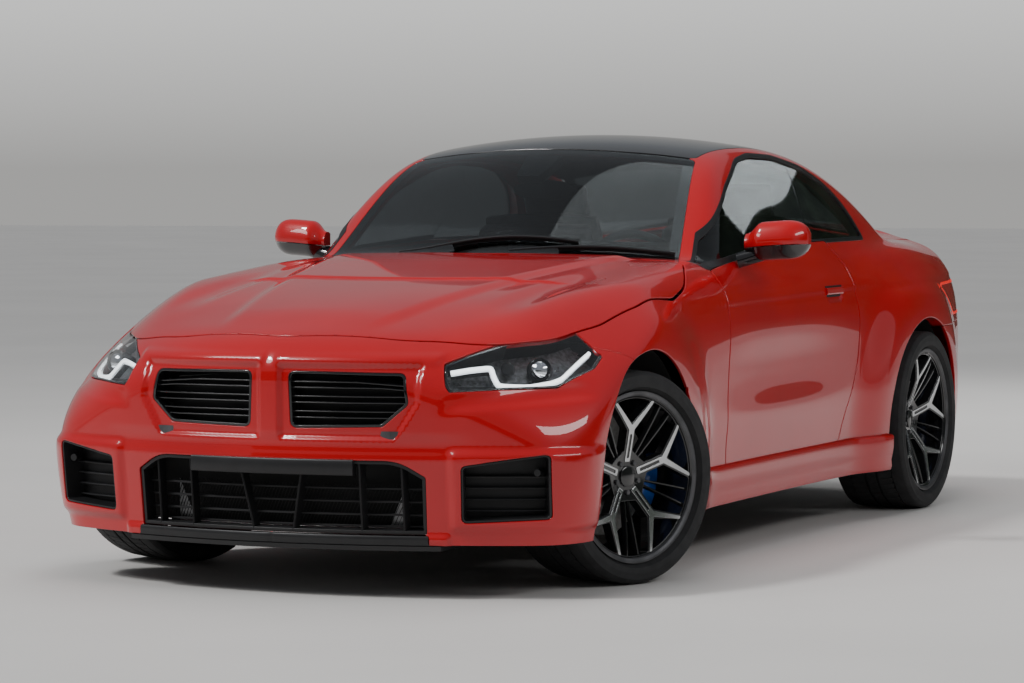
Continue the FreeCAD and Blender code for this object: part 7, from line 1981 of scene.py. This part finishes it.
class COUPE_OT_cabin(bpy.types.Operator):
    """Seats, bench, steering wheel and dashboard details"""

    bl_idname = "coupe.cabin"
    bl_label = "Cabin"

    def execute(self, context):
        lean = math.radians(90 + 18)
        leans = dict(cushion=(math.radians(5), (375, 205, 480)), back=(lean, (375, 625, 800)))
        first = True

        def padded(name, group, replaces=()):
            piece = loose(name, [group], FINISHES["leather"], "body", angle=60)
            soften(piece, 0.012)
            if replaces:
                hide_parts(*replaces)
            return piece

        for side, sign in (("left", 1), ("right", -1)):
            def put(group, tilt, place):
                return set_at(group, tilt, (place[0] * sign, place[1], place[2]))
            padded("seat_cushion_" + side,
                   put(pad(470, 520, 110, 42, 14, (-0.5, 0.0, 0.5)), *leans["cushion"]),
                   ["front_seats"] if first else ())
            padded("seat_back_" + side,
                   put(pad(470, 610, 96, 46, 12, (-0.6, -0.2, 0.2, 0.6)), *leans["back"]))
            padded("headrest_" + side, put(pad(250, 150, 84, 4, 14), lean, (375, 752, 1162)))
            shell = set_at(pad(480, 640, 36, 0, 4), lean, (375 * sign, 705, 820))
            loose("seat_shell_" + side, [shell], FINISHES["cabin"], "body", angle=50)
            first = False
        padded("bench_cushion",
               set_at(pad(1080, 400, 110, 26, 12, (0.0,)), math.radians(6), (0, 960, 500)),
               ["rear_bench"])
        padded("bench_back",
               set_at(pad(1080, 430, 90, 26, 12, (0.0,)), math.radians(90 + 22), (0, 1165, 740)))

        centre = Vector((375, -215, 905))
        way = Vector((0, math.cos(math.radians(24)), math.sin(math.radians(24))))
        ring = [(0, 184 * math.cos(a), 184 * math.sin(a) * (1 if math.sin(a) > -0.9 else 0.98))
                for a in circle(64)]
        rim = sweep(ring, (1, 0, 0), round_section(15, 16), turn=True)
        hub = lathe([(-18, 0), (-18, 62), (10, 66), (22, 52), (26, 0)], 40)
        spokes = [sweep([(0, r * math.cos(a), r * math.sin(a)) for r in (40, 176)], (1, 0, 0),
                        box_section(34, 12)) for a in (0, math.pi, -math.pi / 2)]
        loose("wheel_rim", [tilted(rim, centre, way)], FINISHES["leather"], "steering_wheel", angle=60,
              replaces=["steering_wheel"])
        loose("wheel_hub", [tilted(part, centre, way) for part in [hub] + spokes], FINISHES["cabin"],
              "steering_wheel", bevel=3.0)
        screen = block(-60, 620, -372, -360, 965, 1046)
        loose("dash_screen", [screen], FINISHES["screen"], "body", bevel=4.0)
        vents = [block(x, x + 5, -340, -320, 860, 905) for x in range(-120, 130, 10)]
        loose("dash_vents", vents, FINISHES["trim"], "body", bevel=0.8)
        return {"FINISHED"}


# The camera that took the photo, as solved from it.
PHOTO_WIDTH = 1024
FOCAL_PIXELS = 3700.0
SENSOR_WIDTH = 36.0
CAMERA_PLACE = (5.391, -12.198, 1.314)
CAMERA_ANGLES = (24.69, 2.72, 0.24)


class COUPE_OT_stage(bpy.types.Operator):
    """Floor, lights and camera"""

    bl_idname = "coupe.stage"
    bl_label = "Stage"

    def execute(self, context):
        look = context.scene.coupe
        scene = bpy.context.scene
        data = bpy.data.meshes.new("floor")
        size = 60.0
        data.from_pydata([(-size, -size, 0), (size, -size, 0), (size, size, 0), (-size, size, 0)], [],
                         [(0, 1, 2, 3)])
        data.materials.append(finish("floor", look.floor, 0.6, grain=0.6, spread=0.03, bump=0.03,
                                     bump_scale=60.0))
        floor = bpy.data.objects.new("floor", data)
        scene.collection.objects.link(floor)
        world = bpy.data.worlds.new("studio")
        scene.world = world
        world.use_nodes = True
        nodes, links = world.node_tree.nodes, world.node_tree.links
        back = nodes["Background"]
        place = nodes.new("ShaderNodeTexCoord")
        split = nodes.new("ShaderNodeSeparateXYZ")
        links.new(place.outputs["Generated"], split.inputs["Vector"])
        ramp = nodes.new("ShaderNodeValToRGB")
        stops = ramp.color_ramp.elements
        stops[0].position, stops[0].color = 0.0, (0.41, 0.405, 0.395, 1)
        stops[1].position, stops[1].color = 1.0, (0.62, 0.65, 0.70, 1)
        for position, colour in ((0.045, (0.80, 0.80, 0.79, 1)), (0.12, (0.66, 0.66, 0.65, 1)),
                                 (0.4, (0.50, 0.53, 0.57, 1))):
            stop = stops.new(position)
            stop.color = colour
        links.new(split.outputs["Z"], ramp.inputs["Fac"])
        links.new(ramp.outputs["Color"], back.inputs["Color"])
        seen = nodes.new("ShaderNodeLightPath")
        strength = nodes.new("ShaderNodeMapRange")
        strength.inputs["To Min"].default_value, strength.inputs["To Max"].default_value = 0.42, 1.0
        links.new(seen.outputs["Is Camera Ray"], strength.inputs["Value"])
        links.new(strength.outputs["Result"], back.inputs["Strength"])
        for name, place_at, size_x, size_y, power, aim in (
                ("key", (-4.5, -6.5, 6.5), 5.0, 2.0, 270, (0, -0.6, 0.6)),
                ("side", (7.5, -2.5, 5.2), 7.0, 1.2, 210, (0, 0, 0.7)),
                ("top", (0, 0.5, 7.0), 3.0, 7.0, 190, (0, 0, 0.8)),
                ("rear", (1.0, 8.5, 4.5), 5.0, 1.6, 220, (0, 1.0, 0.8))):
            light = bpy.data.lights.new(name, "AREA")
            light.shape = "RECTANGLE"
            light.size, light.size_y = size_x, size_y
            light.energy = power
            lamp = bpy.data.objects.new(name, light)
            lamp.location = place_at
            lamp.rotation_euler = (Vector(aim) - Vector(place_at)).to_track_quat("-Z", "Y").to_euler()
            lamp.visible_glossy = name in ("key", "side")
            scene.collection.objects.link(lamp)
        flag_finish = finish("flag", (0.03, 0.045, 0.03), 0.9, grain=2.0, spread=0.5)
        for name, x, y, width, z_low, z_high, turn in (("flag_side", 10.5, 1.5, 13.0, 0.35, 4.6, 90),
                                                       ("flag_front", 1.0, -21.0, 26.0, 0.5, 4.2, 0),
                                                       ("flag_back", 5.0, 13.0, 12.0, 0.2, 7.5, 0)):
            sheet_data = bpy.data.meshes.new(name)
            c, s = math.cos(math.radians(turn)), math.sin(math.radians(turn))
            ends = [(x - c * width / 2, y - s * width / 2), (x + c * width / 2, y + s * width / 2)]
            sheet_data.from_pydata([(*ends[0], z_low), (*ends[1], z_low), (*ends[1], z_high),
                                    (*ends[0], z_high)], [], [(0, 1, 2, 3)])
            sheet_data.materials.append(flag_finish)
            flag = bpy.data.objects.new(name, sheet_data)
            flag.visible_camera = flag.visible_shadow = flag.visible_diffuse = False
            scene.collection.objects.link(flag)
        sun = bpy.data.lights.new("sun", "SUN")
        sun.energy = 1.6
        sun.angle = math.radians(8)
        sun_lamp = bpy.data.objects.new("sun", sun)
        sun_lamp.rotation_euler = (math.radians(38), math.radians(-8), math.radians(-38))
        scene.collection.objects.link(sun_lamp)
        camera = bpy.data.cameras.new("camera")
        camera.sensor_width = SENSOR_WIDTH
        camera.lens = FOCAL_PIXELS / PHOTO_WIDTH * SENSOR_WIDTH
        camera.clip_end = 200
        eye = bpy.data.objects.new("camera", camera)
        yaw, pitch, roll = (math.radians(angle) for angle in CAMERA_ANGLES)
        eye.matrix_world = (Matrix.Translation(CAMERA_PLACE) @ Matrix.Rotation(yaw, 4, "Z")
                            @ Matrix.Rotation(math.pi / 2 - pitch, 4, "X")
                            @ Matrix.Rotation(-roll, 4, "Z"))
        scene.collection.objects.link(eye)
        scene.camera = eye
        return {"FINISHED"}


class CoupeLook(bpy.types.PropertyGroup):
    """Sizes and colours a user would change"""

    paint: FloatVectorProperty(name="Paint", description="Body colour", size=3, subtype="COLOR",
                               min=0, max=1, default=(0.44, 0.0, 0.004))
    roof: FloatVectorProperty(name="Roof", description="Roof and gloss trim colour", size=3,
                              subtype="COLOR", min=0, max=1, default=(0.006, 0.006, 0.007))
    tint: FloatVectorProperty(name="Glass tint", description="Colour light takes through the glass",
                              size=3, subtype="COLOR", min=0, max=1, default=(0.30, 0.33, 0.34))
    floor: FloatVectorProperty(name="Floor", description="Colour of the floor", size=3, subtype="COLOR",
                               min=0, max=1, default=(0.60, 0.585, 0.565))
    spacing: FloatProperty(name="Panel spacing",
                           description="Distance between a panel's points, in millimetres",
                           default=16.0, min=6.0, max=60.0)
    frame_depth: FloatProperty(name="Frame depth",
                               description="Depth of the door frame's folds, in millimetres",
                               default=44.0, min=10.0, max=60.0)
    bumper_depth: FloatProperty(name="Bumper fold",
                                description="Depth of the bumper's folds, in millimetres",
                                default=14.0, min=5.0, max=40.0)
    grille_frame: FloatProperty(name="Grille frame",
                                description="Width of the upper grille's frame, in millimetres",
                                default=9.0, min=3.0, max=20.0)
    slat_pitch: FloatProperty(name="Slat pitch",
                              description="Distance between paired slats, in millimetres", default=19.0,
                              min=12.0, max=30.0)
    groove: FloatProperty(name="Tread depth", description="Depth of the tyre's grooves, in millimetres",
                          default=7.0,
                          min=2.0, max=9.0)
    tread_pitches: IntProperty(name="Tread pitches", description="Blocks round a tyre", default=72, min=24,
                               max=120)
    caliper_angle: FloatProperty(name="Caliper angle", description="Where the caliper sits from the top",
                                 subtype="ANGLE",
                                 default=math.radians(100), min=0, max=6.283)


class COUPE_PT_pieces(bpy.types.Panel):
    """Lists the coupe's pieces"""

    bl_idname = "COUPE_PT_pieces"
    bl_label = "Coupe"
    bl_space_type = "VIEW_3D"
    bl_region_type = "UI"
    bl_category = "Coupe"

    def draw(self, context):
        look = context.scene.coupe
        for name in CoupeLook.__annotations__:
            self.layout.prop(look, name)
        for operator in PIECES:
            self.layout.operator(operator.bl_idname)


PIECES = (COUPE_OT_finishes, COUPE_OT_sides, COUPE_OT_lids, COUPE_OT_ends, COUPE_OT_glass, COUPE_OT_nose,
          COUPE_OT_lamps,
          COUPE_OT_wheels, COUPE_OT_trim, COUPE_OT_cabin, COUPE_OT_stage)


def register():
    for kind in (CoupeLook,) + PIECES + (COUPE_PT_pieces,):
        bpy.utils.register_class(kind)
    bpy.types.Scene.coupe = PointerProperty(type=CoupeLook)


def unregister():
    del bpy.types.Scene.coupe
    for kind in (COUPE_PT_pieces,) + PIECES[::-1] + (CoupeLook,):
        bpy.utils.unregister_class(kind)


def main():
    register()
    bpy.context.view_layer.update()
    for operator in PIECES:
        place = operator.bl_idname.split(".")
        result = getattr(getattr(bpy.ops, place[0]), place[1])()
        if result != {"FINISHED"}:
            raise RuntimeError(operator.bl_label + " did not finish")


if __name__ == "__main__":
    main()
